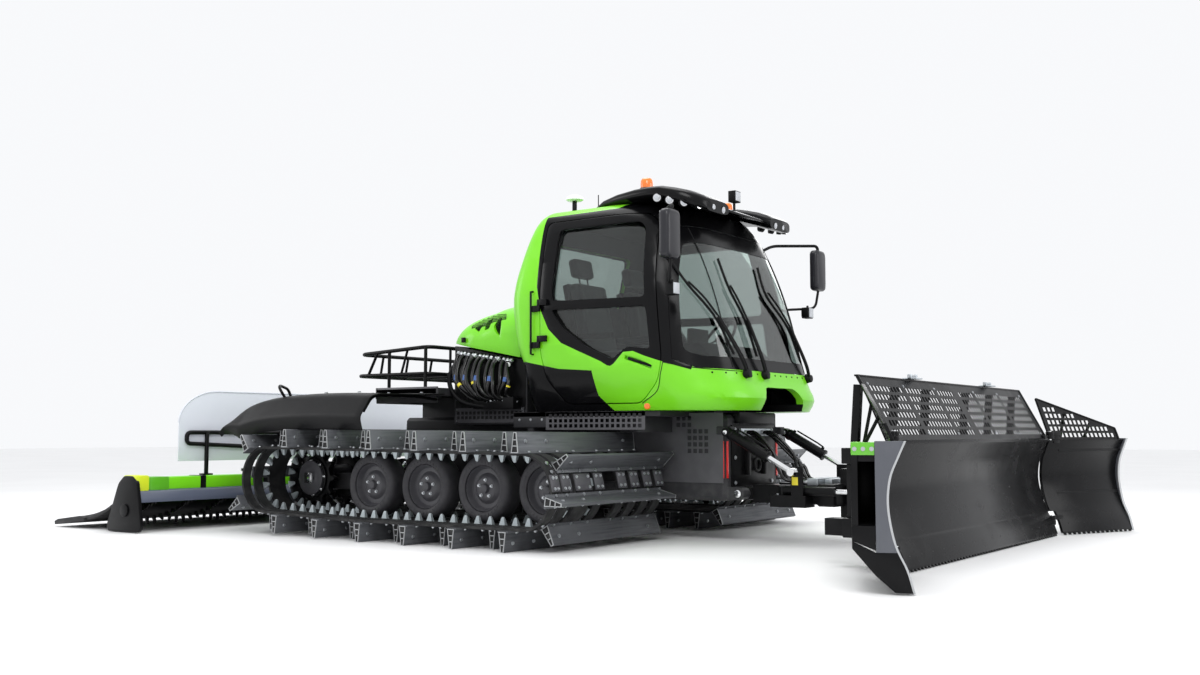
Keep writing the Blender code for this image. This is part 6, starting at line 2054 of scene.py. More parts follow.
@dataclass
class Mirror(Sided):
    """One door mirror on two arms, with a work lamp under it."""

    def build(self) -> None:
        """Make the mirror."""
        head, glass, arms, lamp, lens = shapes(5)
        rings = []
        for x, grow in ((1.8, -0.024), (1.793, -0.008), (1.775, 0.0), (1.735, 0.0), (1.722, -0.006)):
            ring = soften(((1.17 - grow, 2.14 - grow), (1.36 + grow, 2.14 - grow), (1.36 + grow, 2.51 + grow),
                           (1.17 - grow, 2.51 + grow)), 0.05, 6)
            rings.append([(x, y, z) for y, z in ring])
        head.loft(rings)
        glass.plate(soften(((1.182, 2.152), (1.348, 2.152), (1.348, 2.36), (1.182, 2.36)), 0.03), 1.719, 1.7216,
                    "YZ")
        glass.plate(soften(((1.182, 2.38), (1.348, 2.38), (1.348, 2.498), (1.182, 2.498)), 0.03), 1.719, 1.7216,
                    "YZ")
        arms.tube(rounded([(1.42, 0.8, 2.47), (1.46, 0.95, 2.54), (1.765, 1.24, 2.55), (1.765, 1.265, 2.48)],
                          0.06), 0.0135, 14)
        arms.tube(rounded([(1.765, 1.265, 2.18), (1.74, 1.24, 1.98), (1.58, 1.02, 1.96), (1.5, 0.9, 1.945)],
                          0.06), 0.0115, 14)
        arms.rod((1.5, 0.9, 1.945), (1.44, 0.84, 1.942), 0.02, 16)
        arms.rod((1.705, 1.15, 1.97), (1.705, 1.15, 2.0), 0.01, 12)
        lamp.box((1.668, 1.738), (1.102, 1.198), (1.884, 1.982))
        lamp.box((1.655, 1.668), (1.12, 1.18), (1.9, 1.965))
        lens.box((1.7382, 1.7445), (1.11, 1.19), (1.892, 1.974))
        self.end(head, "mirror_*_head", GREY_HOUSING, angle=50, replaces="mirror_*")
        self.end(glass, "mirror_*_glass", CHROME)
        self.end(arms, "mirror_*_arms", MOULDED)
        self.end(lamp, "mirror_*_lamp", MOULDED, 0.006)
        self.end(lens, "mirror_*_lamp_lens", LENS, 0.001)


@dataclass
class Seat:
    """One seat: shell, stuffed cushions, headrest and armrests."""

    y: float
    tag: str
    first: bool = False
    voxel: float = 0.009
    frames: int = 12
    pressure: float = 4.0
    cap: float = 0.018

    def cushion(self, name: str, centre: Point, size: Point, lean: float) -> Any:
        """A stuffed pad, swelled by cloth simulation.

        Args:
            name: the piece's name.
            centre: where its middle is.
            size: its length, width and thickness.
            lean: degrees that it leans back.

        Returns:
            The object.
        """
        shape = Shape().box((-size[0] / 2, size[0] / 2), (-size[1] / 2, size[1] / 2), (-size[2] / 2, size[2] / 2))
        obj = shape.solid(name)
        edge = obj.modifiers.new("edges", "BEVEL")
        edge.width, edge.segments = min(size) * 0.32, 3
        bake(obj)
        self.swell(obj, size)
        obj.data.transform(Matrix.Translation(centre) @ Matrix.Rotation(math.radians(-lean), 4, "Y"))
        dress(obj, name, CLOTH, angle=180)
        return obj

    def swell(self, obj: Any, size: Point) -> None:
        """Blow a pad up as cloth, held along its quilting lines, and keep its shape.

        Args:
            obj: the pad.
            size: its length, width and thickness.
        """
        grid = obj.modifiers.new("grid", "REMESH")
        grid.mode, grid.voxel_size = "VOXEL", self.voxel
        bake(obj)
        held = obj.vertex_groups.new(name="held")
        for v in obj.data.vertices:
            near = min(abs(abs(v.co.y) - size[1] * 0.3), abs(v.co.x - size[0] * 0.02) * 1.4)
            if v.co.z < 0 or near < 0.006:
                held.add([v.index], 1.0, "REPLACE")
        cloth = obj.modifiers.new("cloth", "CLOTH")
        cloth.settings.use_pressure, cloth.settings.uniform_pressure_force = True, self.pressure
        cloth.settings.vertex_group_mass = "held"
        cloth.settings.quality = 4
        cloth.settings.effector_weights.gravity = 0.0
        cloth.point_cache.frame_start, cloth.point_cache.frame_end = 1, self.frames
        rest = [v.co.copy() for v in obj.data.vertices]
        scene = bpy.context.scene
        for step in range(1, self.frames + 1):
            scene.frame_set(step)
        bake(obj)
        scene.frame_set(1)
        moves = [v.co - home for v, home in zip(obj.data.vertices, rest)]
        LOG.info("pad swelled by up to %.1f mm", max(move.length for move in moves) * 1000)
        for v, home, move in zip(obj.data.vertices, rest, moves):
            if move.length > self.cap:
                v.co = home + move.normalized() * self.cap
        obj.vertex_groups.clear()
        soft = obj.modifiers.new("soft", "SMOOTH")
        soft.iterations = 3
        bake(obj)

    def build(self) -> None:
        """Make the seat."""
        y, lean = self.y, 12.7
        base = Vector((0.5, y, 1.5))
        tilt = Vector((-0.14, 0, 0.62))
        self.cushion(f"seat_cushion_{self.tag}", (0.67, y, 1.475), (0.5, 0.46, 0.11), 0)
        self.cushion(f"seat_back_{self.tag}", base + tilt * 0.52 + Vector((0.03, 0, 0)), (0.1, 0.44, 0.6), lean)
        self.cushion(f"seat_headrest_{self.tag}", base + tilt * 1.23, (0.085, 0.26, 0.165), lean)
        shell, cover = shapes(2)
        shell.beam(base + Vector((-0.035, 0, -0.03)), base + tilt * 0.98 + Vector((-0.035, 0, 0)), 0.46, 0.06)
        shell.box((0.43, 0.9), (y - 0.245, y + 0.245), (1.395, 1.435))
        shell.box((0.5, 0.84), (y - 0.17, y + 0.17), (1.1, 1.4))
        for s in (-1, 1):
            shell.rod(base + tilt * 0.94 + Vector((0, s * 0.06, 0)), base + tilt * 1.15 + Vector((0, s * 0.06, 0)),
                      0.007, 12)
            cover.box((0.53, 0.86), (y + s * 0.25, y + s * 0.325), (1.625, 1.678))
            shell.box((0.47, 0.54), (y + s * 0.2, y + s * 0.31), (1.6, 1.66))
        shell.piece(f"seat_shell_{self.tag}", MOULDED, bevel=0.008, replaces=["cab_seats"] if self.first else ())
        cover.piece(f"seat_armrests_{self.tag}", MOULDED, bevel=0.012)


@dataclass
class Console:
    """Dashboard, steering wheel, screen and levers in front of the seats."""

    def build(self) -> None:
        """Make the console."""
        dash, wheel, face, knobs = shapes(4)
        dash.plate(((1.36, 1.0985), (1.48, 1.42), (1.4, 1.5), (1.43, 1.545), (1.55, 1.58), (1.7, 1.42),
                    (1.66, 1.0985)), -0.52, 0.52)
        dash.beam((1.47, 0.38, 1.476), (1.225, 0.38, 1.675), 0.062, 0.058)
        dash.box((1.385, 1.44), (-0.42, -0.16), (1.5, 1.7))
        dash.box((1.38, 1.52), (-0.32, -0.26), (1.44, 1.54))
        dash.box((0.38, 0.95), (-0.72, 0.72), (1.0985, 1.12))
        dash.box((0.62, 1.02), (-0.1, 0.06), (1.12, 1.52))
        dash.box((0.2, 0.34), (-0.5, 0.5), (1.12, 1.7))
        centre, normal = Vector((1.23, 0.38, 1.67)), Vector((-0.78, 0, 0.62)).normalized()
        across = Vector((0, 1, 0))
        up = normal.cross(across)

        def rim(angle: float, r: float) -> Vector:
            """A point of the wheel."""
            return centre + (across * math.cos(angle) + up * math.sin(angle)) * r

        wheel.tube([rim(2 * math.pi * k / 40, 0.19) for k in range(40)], 0.0135, 14, True)
        wheel.rod(centre - normal * 0.02, centre + normal * 0.012, 0.042, 24)
        for a in (0.52, 2.62, 4.7):
            wheel.beam(rim(a, 0.03), rim(a, 0.186), 0.022, 0.01)
        face.box((1.3835, 1.3848), (-0.405, -0.175), (1.515, 1.685))
        for y in (-0.05, 0.0):
            knobs.rod((0.92, y, 1.52), (0.95, y, 1.6), 0.006, 10)
            knobs.rod((0.95, y, 1.6), (0.96, y, 1.655), 0.018, 16, 0.014)
        for k in range(6):
            knobs.box((0.66 + 0.04 * k, 0.685 + 0.04 * k), (-0.07, -0.04), (1.52, 1.53))
            knobs.box((0.66 + 0.04 * k, 0.685 + 0.04 * k), (-0.02, 0.01), (1.52, 1.53))
        knobs.beam((1.3, 0.28, 1.1), (1.36, 0.28, 1.2), 0.08, 0.012)
        knobs.beam((1.3, 0.46, 1.1), (1.36, 0.46, 1.2), 0.08, 0.012)
        dash.piece("console_body", MOULDED, bevel=0.01, replaces=["driver_console"])
        wheel.piece("steering_wheel", BLACK, angle=50)
        face.piece("screen", SCREEN)
        knobs.piece("console_controls", MOULDED, bevel=0.002)


# ----------------------------------------------------------- hood, hoses, rack
HOOD_TOP = ((-0.905, 1.69), (-0.87, 1.76), (-0.81, 1.82), (-0.67, 1.89), (-0.52, 1.94), (-0.376, 1.975),
            (-0.2, 1.99), (-0.075, 1.995))


@dataclass
class Hood:
    """Engine hood with side vents, hinged at the cab's back."""

    def low(self, x: float) -> float:
        """Height of its lower edge."""
        return 1.66 - 0.16 * (x + 0.905) / 0.84

    def ring(self, x: float, inset: float, extra: float) -> list[Vector]:
        """A section across the hood.

        Args:
            x: where along the hood.
            inset: how far inside the skin.
            extra: how far below the lower edge.

        Returns:
            The section's points.
        """
        top, low = eased(HOOD_TOP, x) - inset, self.low(x) - extra
        half = 0.76 - 0.1 * max(0.0, (-0.6 - x) / 0.3) ** 2 - inset
        shoulder = min(0.28, (top - low) * 0.8)
        pts = [(-half, low), (-half, (low + top - shoulder) / 2)]
        for k in range(15):
            a = math.pi / 2 * k / 14
            pts.append((-half + shoulder * 1.2 * (1 - math.cos(a)), top - shoulder * (1 - math.sin(a))))
        pts += [(y, top) for y in (-0.25, -0.12, 0.0, 0.12, 0.25)] + [(-y, z) for y, z in reversed(pts)]
        return [Vector((x, y, z)) for y, z in pts]

    def build(self) -> None:
        """Make the hood."""
        stations = [-0.9 + 0.825 * (k / 26) ** 1.35 for k in range(27)]
        hood = Shape().loft([self.ring(x, 0.0, 0.0) for x in stations]).solid()
        inner = Shape().loft([self.ring(-0.87 + 0.75 * k / 16, 0.028, 0.12) for k in range(17)]).solid()
        tools = [inner]
        for s in (-1, 1):
            lo, hi = sorted((s * 0.55, s * 0.95))
            tools.append(Shape().plate(soften(((-0.625, 1.778), (-0.537, 1.818), (-0.555, 1.738)), 0.02), lo,
                                       hi).solid())
            tools.append(Shape().plate(soften(((-0.335, 1.872), (-0.3, 1.78), (-0.302, 1.688), (-0.365, 1.735),
                                               (-0.392, 1.795)), 0.03), lo, hi).solid())
            tools.append(Shape().plate(soften(((-0.5, 1.842), (-0.435, 1.868), (-0.44, 1.765),
                                               (-0.5, 1.752)), 0.02), lo, hi).solid())
            tools.append(Shape().box((-0.095, -0.05), (s * 0.285, s * 0.357), (1.94, 2.03)).solid())
        boolean(hood, tools, "DIFFERENCE")
        dress(hood, "hood_shell", LIME, "engine_hood", 0.004, 28, replaces=["engine_hood"])
        mesh, fixings, liner = shapes(3)
        for s in (-1, 1):
            y = s * 0.722
            us, vs = stepped(-0.66, -0.27, 0.01, 0.004), stepped(1.66, 1.89, 0.01, 0.004)
            mesh.sheet(lambda u, v: (u, y - s * 0.1 * max(0.0, v - 1.8), v), us, vs,
                       lambda i, j: holed(i, j) and self.low(us[i]) < vs[j] < eased(HOOD_TOP, us[i]) - 0.09)
            fixings.rod((-0.055, s * 0.35, 2.0), (-0.055, s * 0.42, 2.0), 0.014, 20)
            fixings.box((-0.11, -0.055), (s * 0.36, s * 0.41), (1.975, 2.008))
            fixings.box((-0.74, -0.7), (s * 0.755, s * 0.772), (1.655, 1.7))
        liner.loft([[(x, -0.02, z + 0.0015), (x, 0.02, z + 0.0015), (x, 0.02, z - 0.004), (x, -0.02, z - 0.004)]
                    for x, z in [(x, eased(HOOD_TOP, x)) for x in stations[6:]]])
        mesh.piece("hood_vent_mesh", BLACK, "engine_hood", thick=0.002)
        fixings.piece("hood_hinges", BLACK, "engine_hood", 0.002)
        liner.piece("hood_top_strip", BLACK, "engine_hood")


@dataclass
class HoseBundle:
    """Hydraulic hoses that hang in arcs beside the engine bay."""

    count: int = 15
    side: int = -1

    def build(self) -> None:
        """Make the hoses with their fittings and bands."""
        y = self.side * 0.7003
        hoses, fittings, bands, marks = shapes(4)
        for k in range(self.count):
            t = k / (self.count - 1)
            bulge = 0.095 + 0.075 * math.sin(math.pi * t) + 0.014 * (k % 3)
            a = Vector((-0.8 + 0.62 * t, y - 0.022 - 0.012 * (k % 2), 1.585 - 0.09 * t))
            b = Vector((-0.5 + 0.38 * t, y - 0.06, 1.12))
            sway = 0.022 * math.sin(k * 2.1)
            path = flowing([a, (a.x - 0.005 + sway, y - bulge * 0.62, 1.5 - 0.08 * t - 0.01 * (k % 2)),
                            (a.x + 0.005 + 0.03 * t, y - bulge, 1.33 - 0.03 * t - 0.012 * (k % 3)),
                            (b.x - 0.12 + 0.04 * t - sway, y - bulge * 0.95, 1.185 - 0.012 * (k % 2)), b], 7)
            hoses.tube(path, 0.0185, 14)
            fittings.rod(path[1], path[3], 0.0215, 6)
            fittings.rod(path[-4], b + Vector((0.01, 0.004, -0.006)), 0.0215, 6)
            if k % 3 == 1:
                bands.tube(path[12:15], 0.0196, 14)
            elif k % 4 == 2:
                marks.tube(path[15:17], 0.0196, 14)
        ribbed = flowing([(-0.82, y - 0.03, 1.5), (-0.84, y - 0.11, 1.36), (-0.78, y - 0.14, 1.22),
                          (-0.64, y - 0.14, 1.12), (-0.42, y - 0.1, 1.08)], 60)
        rib = Shape()
        rings = []
        for i, p in enumerate(ribbed[:-1]):
            way = (ribbed[i + 1] - p).normalized()
            n = way.cross(Vector((0, 1, 0))).normalized()
            m = way.cross(n)
            r = 0.021 if i % 4 < 2 else 0.0175
            rings.append([p + (n * math.cos(2 * math.pi * k / 12) + m * math.sin(2 * math.pi * k / 12)) * r
                          for k in range(12)])
        rib.loft(rings)
        plate = Shape().box((-0.55, -0.1), (y - 0.12, y), (1.06, 1.16))
        plate.loft([[(-0.86, w, 1.06), (-0.06, w, 1.06), (-0.06, w, 1.48), (-0.86, w, 1.63)] for w in (y - 0.004, y)])
        fittings.rod((-0.3, y - 0.16, 1.3), (-0.3, y - 0.17, 1.3), 0.004, 8)
        hoses.piece("hose_runs", HOSE, replaces=["hose_bundle"])
        rib.piece("hose_ribbed", MOULDED, angle=180)
        fittings.piece("hose_fittings", BOLT, bevel=0.0015)
        bands.piece("hose_blue_bands", BLUE_BAND)
        marks.piece("hose_yellow_bands", STICKER)
        plate.piece("hose_plates", BLACK, bevel=0.004)
        disc = Shape().rod((-0.2, y - 0.075, 1.44), (-0.2, y - 0.06, 1.44), 0.022, 24)
        disc.piece("hose_round_marker", WHITE, bevel=0.001)


@dataclass
class Rack:
    """Tube rack round the rear deck."""

    half: float = 0.95
    rear: float = -1.96
    front: float = -0.97

    def build(self) -> None:
        """Make the rack."""
        h, r, f, low, top = self.half, self.rear, self.front, 1.38, 1.62
        tubes, feet = shapes(2)
        ring = rounded([(f, 0, low), (f, h, low), (r + 0.1, h, low), (r + 0.1, -h, low), (f, -h, low),
                        (f, -0.001, low)], 0.09)
        tubes.tube(ring[:-1], 0.0175, 14, True)

        def crest(x: float) -> float:
            """Height of the upper hoop."""
            return top - 0.05 + 0.05 * (x - r)

        hoop = rounded([(f, 0, crest(f)), (f, h, crest(f)), (r + 0.14, h, crest(r + 0.14)),
                        (r + 0.14, -h, crest(r + 0.14)), (f, -h, crest(f)), (f, -0.001, crest(f))], 0.09)
        tubes.tube(hoop[:-1], 0.0175, 14, True)
        for s in (-1, 1):
            for x in (-1.45, -1.0):
                tubes.rod((x, s * h, 1.2503), (x, s * h, crest(x)), 0.0155, 14)
                feet.box((x - 0.035, x + 0.035), (s * (h - 0.03), s * (h + 0.03)), (1.2503, 1.262))
            tubes.rod((-1.72, s * h, low), (-1.6, s * h, crest(-1.6)), 0.0135, 12)
            tubes.rod((-1.3, s * h, low), (-1.22, s * h, crest(-1.22)), 0.0115, 12)
        for y in (-0.66, -0.33, 0.0, 0.33, 0.66):
            tubes.rod((r + 0.1, y, low), (r + 0.14, y, crest(r + 0.14)), 0.0125, 12)
            tubes.rod((f, y, low), (f, y, crest(f)), 0.0125, 12)
            tubes.rod((r + 0.11, y, low), (f, y, low), 0.0115, 12)
        tubes.piece("rack_tubes", BLACK, replaces=["deck_rack"])
        feet.piece("rack_feet", BLACK, bevel=0.003)


@dataclass
class Fender(Sided):
    """Moulded guard over the rear of one track."""

    def build(self) -> None:
        """Make the fender."""
        line = flowing([(-2.5, 0.9, 0), (-2.44, 0.985, 0), (-2.33, 1.07, 0), (-2.2, 1.125, 0),
                        (-2.0, 1.165, 0), (-1.75, 1.185, 0), (-1.45, 1.195, 0), (-1.1, 1.195, 0),
                        (-0.72, 1.185, 0)], 5)
        rings = []
        for p in line:
            x, z = p.x, p.y
            drop, lip = min(0.2, 0.04 + (x + 2.5) * 0.6), min(0.3, 0.07 + (x + 2.5) * 0.9)
            section = rounded([(1.0003, z + 0.012, 0), (1.3, z, 0), (1.78, z - 0.005, 0), (1.88, z - 0.03, 0),
                               (2.0, z - drop, 0), (1.97, z - lip, 0)], 0.035, 4)
            under = [q + Vector((-0.01 * min(1.0, max(0.0, (i - 12) / 8)), -0.0105, 0))
                     for i, q in enumerate(section)]
            ring = [(x, q.x, q.y) for q in section] + [(x, q.x, q.y) for q in reversed(under)]
            rings.append(ring)
        skin, tubes, bolts = Shape().loft(rings), Shape(), Shape()
        tubes.tube(rounded([(-0.8, 1.02, 1.145), (-0.8, 1.3, 1.17), (-0.8, 1.78, 1.166), (-0.8, 1.88, 1.03)],
                           0.1), 0.013, 14)
        tubes.tube(rounded([(-1.98, 1.62, 1.15), (-1.98, 1.66, 1.24), (-1.93, 1.8, 1.27), (-1.86, 1.86, 1.24),
                            (-1.86, 1.8, 1.165)], 0.05), 0.0125, 14)
        for x, y, z in ((-0.9, 1.1, 1.204), (-1.3, 1.1, 1.208), (-1.5, 1.1, 1.208), (-1.4, 1.74, 1.194),
                        (-1.0, 1.74, 1.193), (-1.95, 1.6, 1.168)):
            bolts.bolt((x, y, z), (0, 0, 1), 0.013, 0.008)
        self.end(skin, "fender_skin_*", MOULDED, 0.002, 40, "fender_*")
        self.end(tubes, "fender_tubes_*", BLACK)
        self.end(bolts, "fender_bolts_*", BOLT)


# --------------------------------------------------------------------- tiller
TILLER_HALF, BEAM_X, BEAM_Z, ROTOR = 2.62, -2.91, 0.405, (-2.95, 0.19)


@dataclass
class Tiller:
    """Rear tiller: lift frame, beam, guard, rotor and comb finisher."""

    half: float = TILLER_HALF
    rows: int = 96

    def build_beam(self) -> None:
        """Lime beam with caps, side plates and a smoky skirt."""
        lime, black, caps, skirt, deep = shapes(5)
        h = self.half
        lime.box((BEAM_X - 0.085, BEAM_X + 0.085), (-h + 0.16, h - 0.16), (BEAM_Z - 0.05, BEAM_Z + 0.065))
        black.rod((BEAM_X, 0, 0.455), (-2.7603, 0, 0.455), 0.06, 32)
        for y in (-1.9, -1.2, -0.6, 0.6, 1.2, 1.9):
            black.box((BEAM_X - 0.088, BEAM_X + 0.088), (y - 0.03, y + 0.03), (BEAM_Z - 0.053, BEAM_Z + 0.069))
        outline = soften([(-2.8, 0.44), (-2.86, 0.485), (-2.98, 0.485), (-3.06, 0.42), (-3.22, 0.05),
                          (-3.2, 0.006), (-2.76, 0.006), (-2.72, 0.05)], 0.03)
        for s in (-1, 1):
            black.plate(outline, *sorted((s * (h - 0.055), s * (h - 0.02))))
            black.rod((ROTOR[0], s * (h - 0.022), ROTOR[1]), (ROTOR[0], s * (h - 0.004), ROTOR[1]), 0.055, 28)
            caps.box((BEAM_X - 0.1, BEAM_X + 0.1), (s * (h - 0.16), s * (h - 0.03)), (BEAM_Z - 0.06, BEAM_Z + 0.085))
            deep.box((BEAM_X - 0.095, BEAM_X + 0.095), (s * (h - 0.36), s * (h - 0.17)),
                     (BEAM_Z - 0.055, BEAM_Z + 0.07))
        front = [(-2.84, 0.372), (-2.8, 0.352), (-2.772, 0.3), (-2.765, 0.26), (-2.772, 0.26), (-2.78, 0.3),
                 (-2.806, 0.344), (-2.845, 0.36)]
        back = [(-2.98, 0.385), (-3.03, 0.37), (-3.09, 0.322), (-3.09, 0.312), (-3.03, 0.36), (-2.98, 0.372)]
        skirt.plate(front, -h + 0.056, h - 0.056)
        skirt.plate(back, -h + 0.056, h - 0.056)
        lime.piece("tiller_beam_lime", LIME, "tiller", 0.012, replaces=["tiller_beam"])
        black.piece("tiller_side_plates", BLACK, "tiller", 0.004)
        caps.piece("tiller_beam_caps", YELLOW, "tiller", 0.016)
        # The sleeves take the shaded copy of the lime paint: painted shade.
        deep.piece("tiller_beam_sleeves", LIME_PAINTED_SHADE, "tiller", 0.01)
        skirt.piece("tiller_skirt", STRIP, "tiller", 0.001)

    def build_rotor(self) -> None:
        """Tube with pointed teeth set in spirals."""
        tube, teeth = shapes(2)
        reach = self.half - 0.075
        tube.rod((ROTOR[0], -reach, ROTOR[1]), (ROTOR[0], reach, ROTOR[1]), 0.07, 40)
        tube.rod((ROTOR[0], -self.half + 0.0553, ROTOR[1]), (ROTOR[0], self.half - 0.0553, ROTOR[1]), 0.03, 24)
        for k in range(self.rows):
            y = -reach + 0.05 + (2 * reach - 0.1) * k / (self.rows - 1)
            for turn in (0.0, 2 * math.pi / 3, 4 * math.pi / 3):
                a = k * 0.3 * (1 if y < 0 else -1) + turn
                way = Vector((math.cos(a), 0, math.sin(a)))
                lean = Vector((-math.sin(a), 0, math.cos(a)))
                root = Vector((ROTOR[0], y, ROTOR[1]))
                rings = []
                for r, w, t in ((0.06, 0.02, 0.011), (0.095, 0.015, 0.009), (0.122, 0.009, 0.006),
                                (0.129, 0.004, 0.004)):
                    mid = root + way * r + lean * (r - 0.06) * 0.22
                    rings.append([mid + lean * w + Vector((0, t, 0)), mid + lean * w - Vector((0, t, 0)),
                                  mid - lean * w - Vector((0, t, 0)), mid - lean * w + Vector((0, t, 0))])
                teeth.loft(rings)
        tube.piece("rotor_tube", BLACK, "rotor", 0.002, replaces=["tiller_rotor"])
        teeth.piece("rotor_teeth", BLADE_BLACK, "rotor")

    def build_finisher(self) -> None:
        """Black rubber mat with comb ribs that trails behind the rotor."""
        mat, ribs, rail, bolts = shapes(4)
        reach = self.half - 0.075
        top = flowing([(-3.11, 0.292, 0), (-3.22, 0.236, 0), (-3.35, 0.176, 0), (-3.55, 0.115, 0),
                       (-3.8, 0.082, 0), (-4.098, 0.045, 0)], 5)
        under = [(p.x + 0.002, p.y - 0.026) for p in reversed(top)]
        mat.plate([(p.x, p.y) for p in top] + under, -reach, reach)
        count = 64
        for k in range(count):
            y = -reach + 0.045 + (2 * reach - 0.09) * k / (count - 1)
            line = [p for p in top if p.x < -3.28]
            rings = []
            for i, p in enumerate(line):
                t = i / (len(line) - 1)
                w, rise = 0.022 - 0.008 * t, 0.018 * math.sin(math.pi * (0.12 + 0.8 * t)) + 0.002
                rings.append([(p.x, y - w, p.y - 0.004), (p.x, y - w * 0.5, p.y + rise),
                              (p.x, y + w * 0.5, p.y + rise), (p.x, y + w, p.y - 0.004)])
            ribs.loft(rings)
        rail.rod((-3.1, -self.half + 0.0553, 0.28), (-3.1, self.half - 0.0553, 0.28), 0.016, 20)
        rail.plate([(-3.14, 0.285), (-3.2, 0.256), (-3.198, 0.25), (-3.138, 0.279)], -reach, reach)
        for k in range(26):
            bolts.bolt((-3.17, -reach + 0.1 + (2 * reach - 0.2) * k / 25, 0.272), (-0.44, 0, 0.9), 0.012, 0.009)
        for s in (-1, 1):
            mat.plate([(-3.62, 0.098), (-3.7, 0.112), (-4.04, 0.072), (-4.095, 0.052), (-4.09, 0.02),
                       (-3.62, 0.07)], *sorted((s * (reach - 0.3), s * (reach + 0.02))))
        mat.piece("finisher_mat", FINISHER, "finisher", 0.003, replaces=["tiller_finisher"])
        ribs.piece("finisher_ribs", FINISHER, "finisher", angle=40)
        rail.piece("finisher_rail", BLACK, "finisher", 0.001)
        bolts.piece("finisher_bolts", BOLT, "finisher")

    def build_guard(self) -> None:
        """Milky snow guard with black hairpin tubes and posts."""
        outline = [(-2.03, 0.6), (-2.03, 0.95)]
        outline += [(-2.03 + 0.42 * (1 - math.cos(math.pi / 2 * k / 14)), 0.95 + 0.29 * math.sin(math.pi / 2 * k / 14))
                    for k in range(1, 15)]
        outline += [(-y, z) for y, z in reversed(outline)]
        x = -3.02
        Shape().plate(outline, x - 0.011, x - 0.001, "YZ").piece("guard_sheet", MILKY, "tiller", 0.002, 30,
                                                                  replaces=["splash_guard"])
        tubes, rim, bolts = shapes(3)
        rim.tube([Vector((x - 0.006, y, z)) for y, z in outline[1:-1]], 0.009, 8)
        for s in (-1, 1):
            tubes.tube(rounded([(x + 0.02, s * 0.3, 0.86), (x + 0.02, s * 1.96, 0.86), (x + 0.02, s * 1.96, 0.76),
                                (x + 0.02, s * 0.3, 0.68)], 0.048, 8), 0.0195, 14)
            for y in (0.9, 1.75):
                tubes.rod((x + 0.03, s * y, BEAM_Z + 0.0653), (x + 0.03, s * y, 0.87), 0.0195, 20)
                tubes.box((x - 0.005, x + 0.065), (s * y - 0.05, s * y + 0.05), (BEAM_Z + 0.0653, BEAM_Z + 0.08))
                for z in (0.72, 0.84):
                    bolts.bolt((x - 0.011, s * y, z), (-1, 0, 0), 0.012, 0.008)
            tubes.rod((x + 0.02, s * 0.3, BEAM_Z + 0.0653), (x + 0.02, s * 0.3, 0.875), 0.0175, 20)
        tubes.piece("guard_tubes", BLACK, "tiller", 0.002)
        rim.piece("guard_rim", MILKY, "tiller")
        bolts.piece("guard_bolts", BOLT, "tiller")

    def build_frame(self) -> None:
        """Lift frame, cylinder and their pins, hoses and fittings."""
        dress_node("tiller_lift_frame", BLACK, 0.005)
        dress_node("tiller_cylinder", BLACK, 0.002)
        dress_node("tiller_rod", CHROME, 0.001)
        pins, hoses, ends = shapes(3)
        for s in (-1, 1):
            pins.rod((-1.86, s * 0.305, 0.55), (-1.86, s * 0.318, 0.55), 0.032, 24)
            for y in (0.2, 0.4):
                pins.bolt((-2.58, s * y, 0.46), (1, 0, 0), 0.012, 0.01)
        pins.rod((-2.4, -0.085, 0.6), (-2.4, 0.085, 0.6), 0.018, 20)
        pins.piece("tiller_frame_pins", CHROME, "tiller_frame", 0.002)
        for k, y in enumerate((-0.3, -0.24, 0.24, 0.3)):
            sag = 0.03 * (k % 2)
            hoses.tube(flowing([(-2.62, y, 0.53), (-2.66, y, 0.6 - sag), (-2.74, y, 0.6 - sag),
                                (-2.76, y, 0.535)], 8), 0.011, 10)
            ends.rod((-2.62, y, 0.525), (-2.62, y, 0.55), 0.015, 6)
            ends.rod((-2.745, y, 0.525), (-2.75, y, 0.555), 0.015, 6)
        hoses.piece("tiller_hoses", HOSE, "tiller_frame")
        ends.piece("tiller_hose_ends", BOLT, "tiller_frame", 0.001)

    def build(self) -> None:
        """Make the whole tiller."""
        self.build_beam()
        self.build_rotor()
        self.build_finisher()
        self.build_guard()
        self.build_frame()


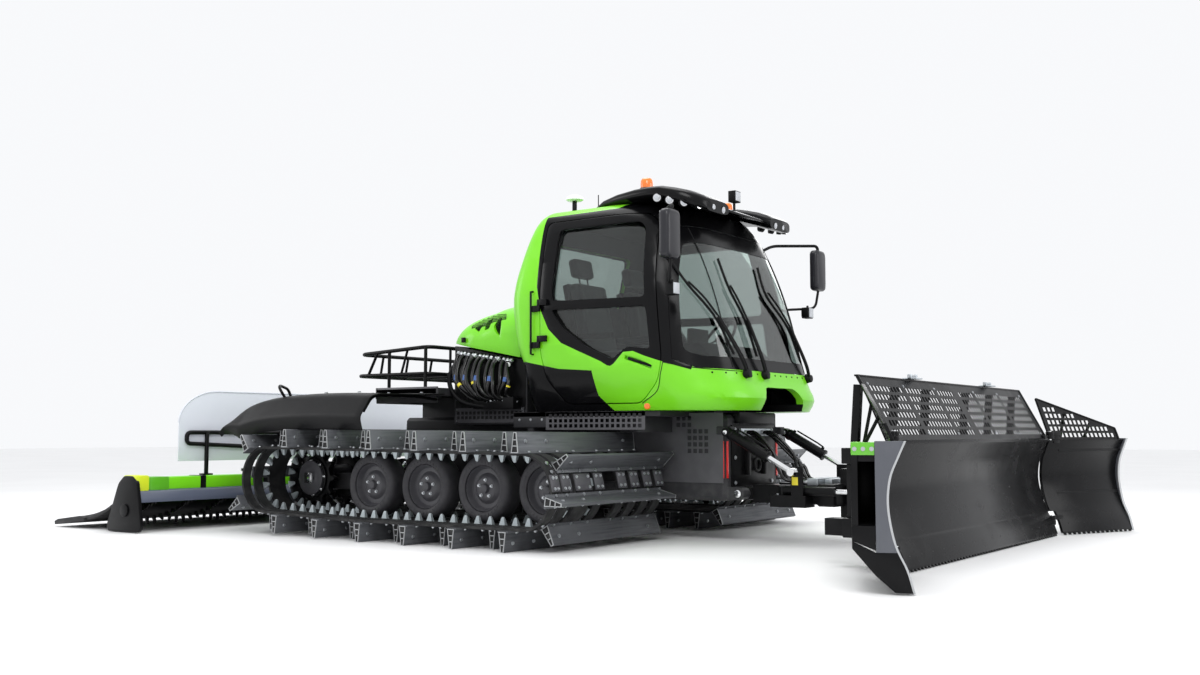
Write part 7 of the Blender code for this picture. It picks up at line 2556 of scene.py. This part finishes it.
# --------------------------------------------------------------------- studio
@dataclass
class Studio:
    """Floor, soft lights and the camera."""

    eye: Point = (6.485, -8.81, 0.85)
    turn: Point = (94.53, 0.0, 35.4)
    lens: float = 36.36

    def light(self, name: str, spot: Point, size: float, power: float) -> None:
        """An area light that looks at the middle of the vehicle.

        Args:
            name: its name.
            spot: where it stands.
            size: its diameter.
            power: its power in watts.
        """
        data = bpy.data.lights.new(name, "AREA")
        data.shape, data.size, data.energy = "DISK", size, power
        lamp = bpy.data.objects.new(name, data)
        lamp.location = spot
        lamp.rotation_euler = (Vector((0, 0, 0.9)) - Vector(spot)).to_track_quat("-Z", "Y").to_euler()
        bpy.context.scene.collection.objects.link(lamp)

    def floor(self) -> None:
        """Large plain pale floor."""
        obj = Shape().box((-60, 60), (-60, 60), (-0.05, -0.0005)).solid("floor")
        graph = Graph("pale_floor")
        cloud = graph.noise(0.6, 3.0)
        graph.put(graph.shader.inputs["Base Color"],
                  graph.mix(cloud.softly(0.3, 0.7), (0.9, 0.9, 0.9), (0.93, 0.93, 0.93)))
        graph.put(graph.shader.inputs["Roughness"], cloud * 0.05 + 0.55)
        obj.data.materials.append(graph.material)

    def build(self) -> None:
        """Make the studio."""
        scene = bpy.context.scene
        self.floor()
        world = bpy.data.worlds.new("studio")
        scene.world = world
        world.use_nodes = True
        back = world.node_tree.nodes["Background"]
        back.inputs["Color"].default_value = (0.97, 0.98, 1.0, 1.0)
        back.inputs["Strength"].default_value = 0.97
        self.light("key", (5.5, -6.5, 7.0), 4.0, 300)
        self.light("front", (9.0, 2.0, 3.5), 4.0, 140)
        self.light("top", (-0.5, 0.0, 8.0), 6.0, 260)
        self.light("rear", (-8.0, -5.0, 4.0), 4.0, 120)
        self.light("far", (-1.0, 9.0, 5.0), 5.0, 120)
        camera = bpy.data.objects.new("camera", bpy.data.cameras.new("camera"))
        camera.location = self.eye
        camera.rotation_euler = [math.radians(a) for a in self.turn]
        camera.data.lens, camera.data.sensor_width = self.lens, 36.0
        camera.data.clip_end = 300.0
        scene.collection.objects.link(camera)
        scene.camera = camera
        scene.view_settings.view_transform = "Standard"


def main() -> None:
    """Build every sub-assembly, then the studio."""
    logging.basicConfig(level=logging.INFO, format="%(message)s")
    cab = Cab()
    sides = [kind(side, tag) for side, tag in SIDES for kind in (Track, RunningGear, Fender, Mirror, Wing)]
    for part in (Hull(), *sides, cab, Wipers(cab), Roof(), Seat(-0.42, "right", True), Seat(0.38, "left"), Console(),
                 Hood(), HoseBundle(), Rack(), FrontLinkage(), Blade(), Tiller(), Studio()):
        part.build()
        LOG.info("built %s %s", type(part).__name__, getattr(part, "tag", ""))


if __name__ == "__main__":
    main()
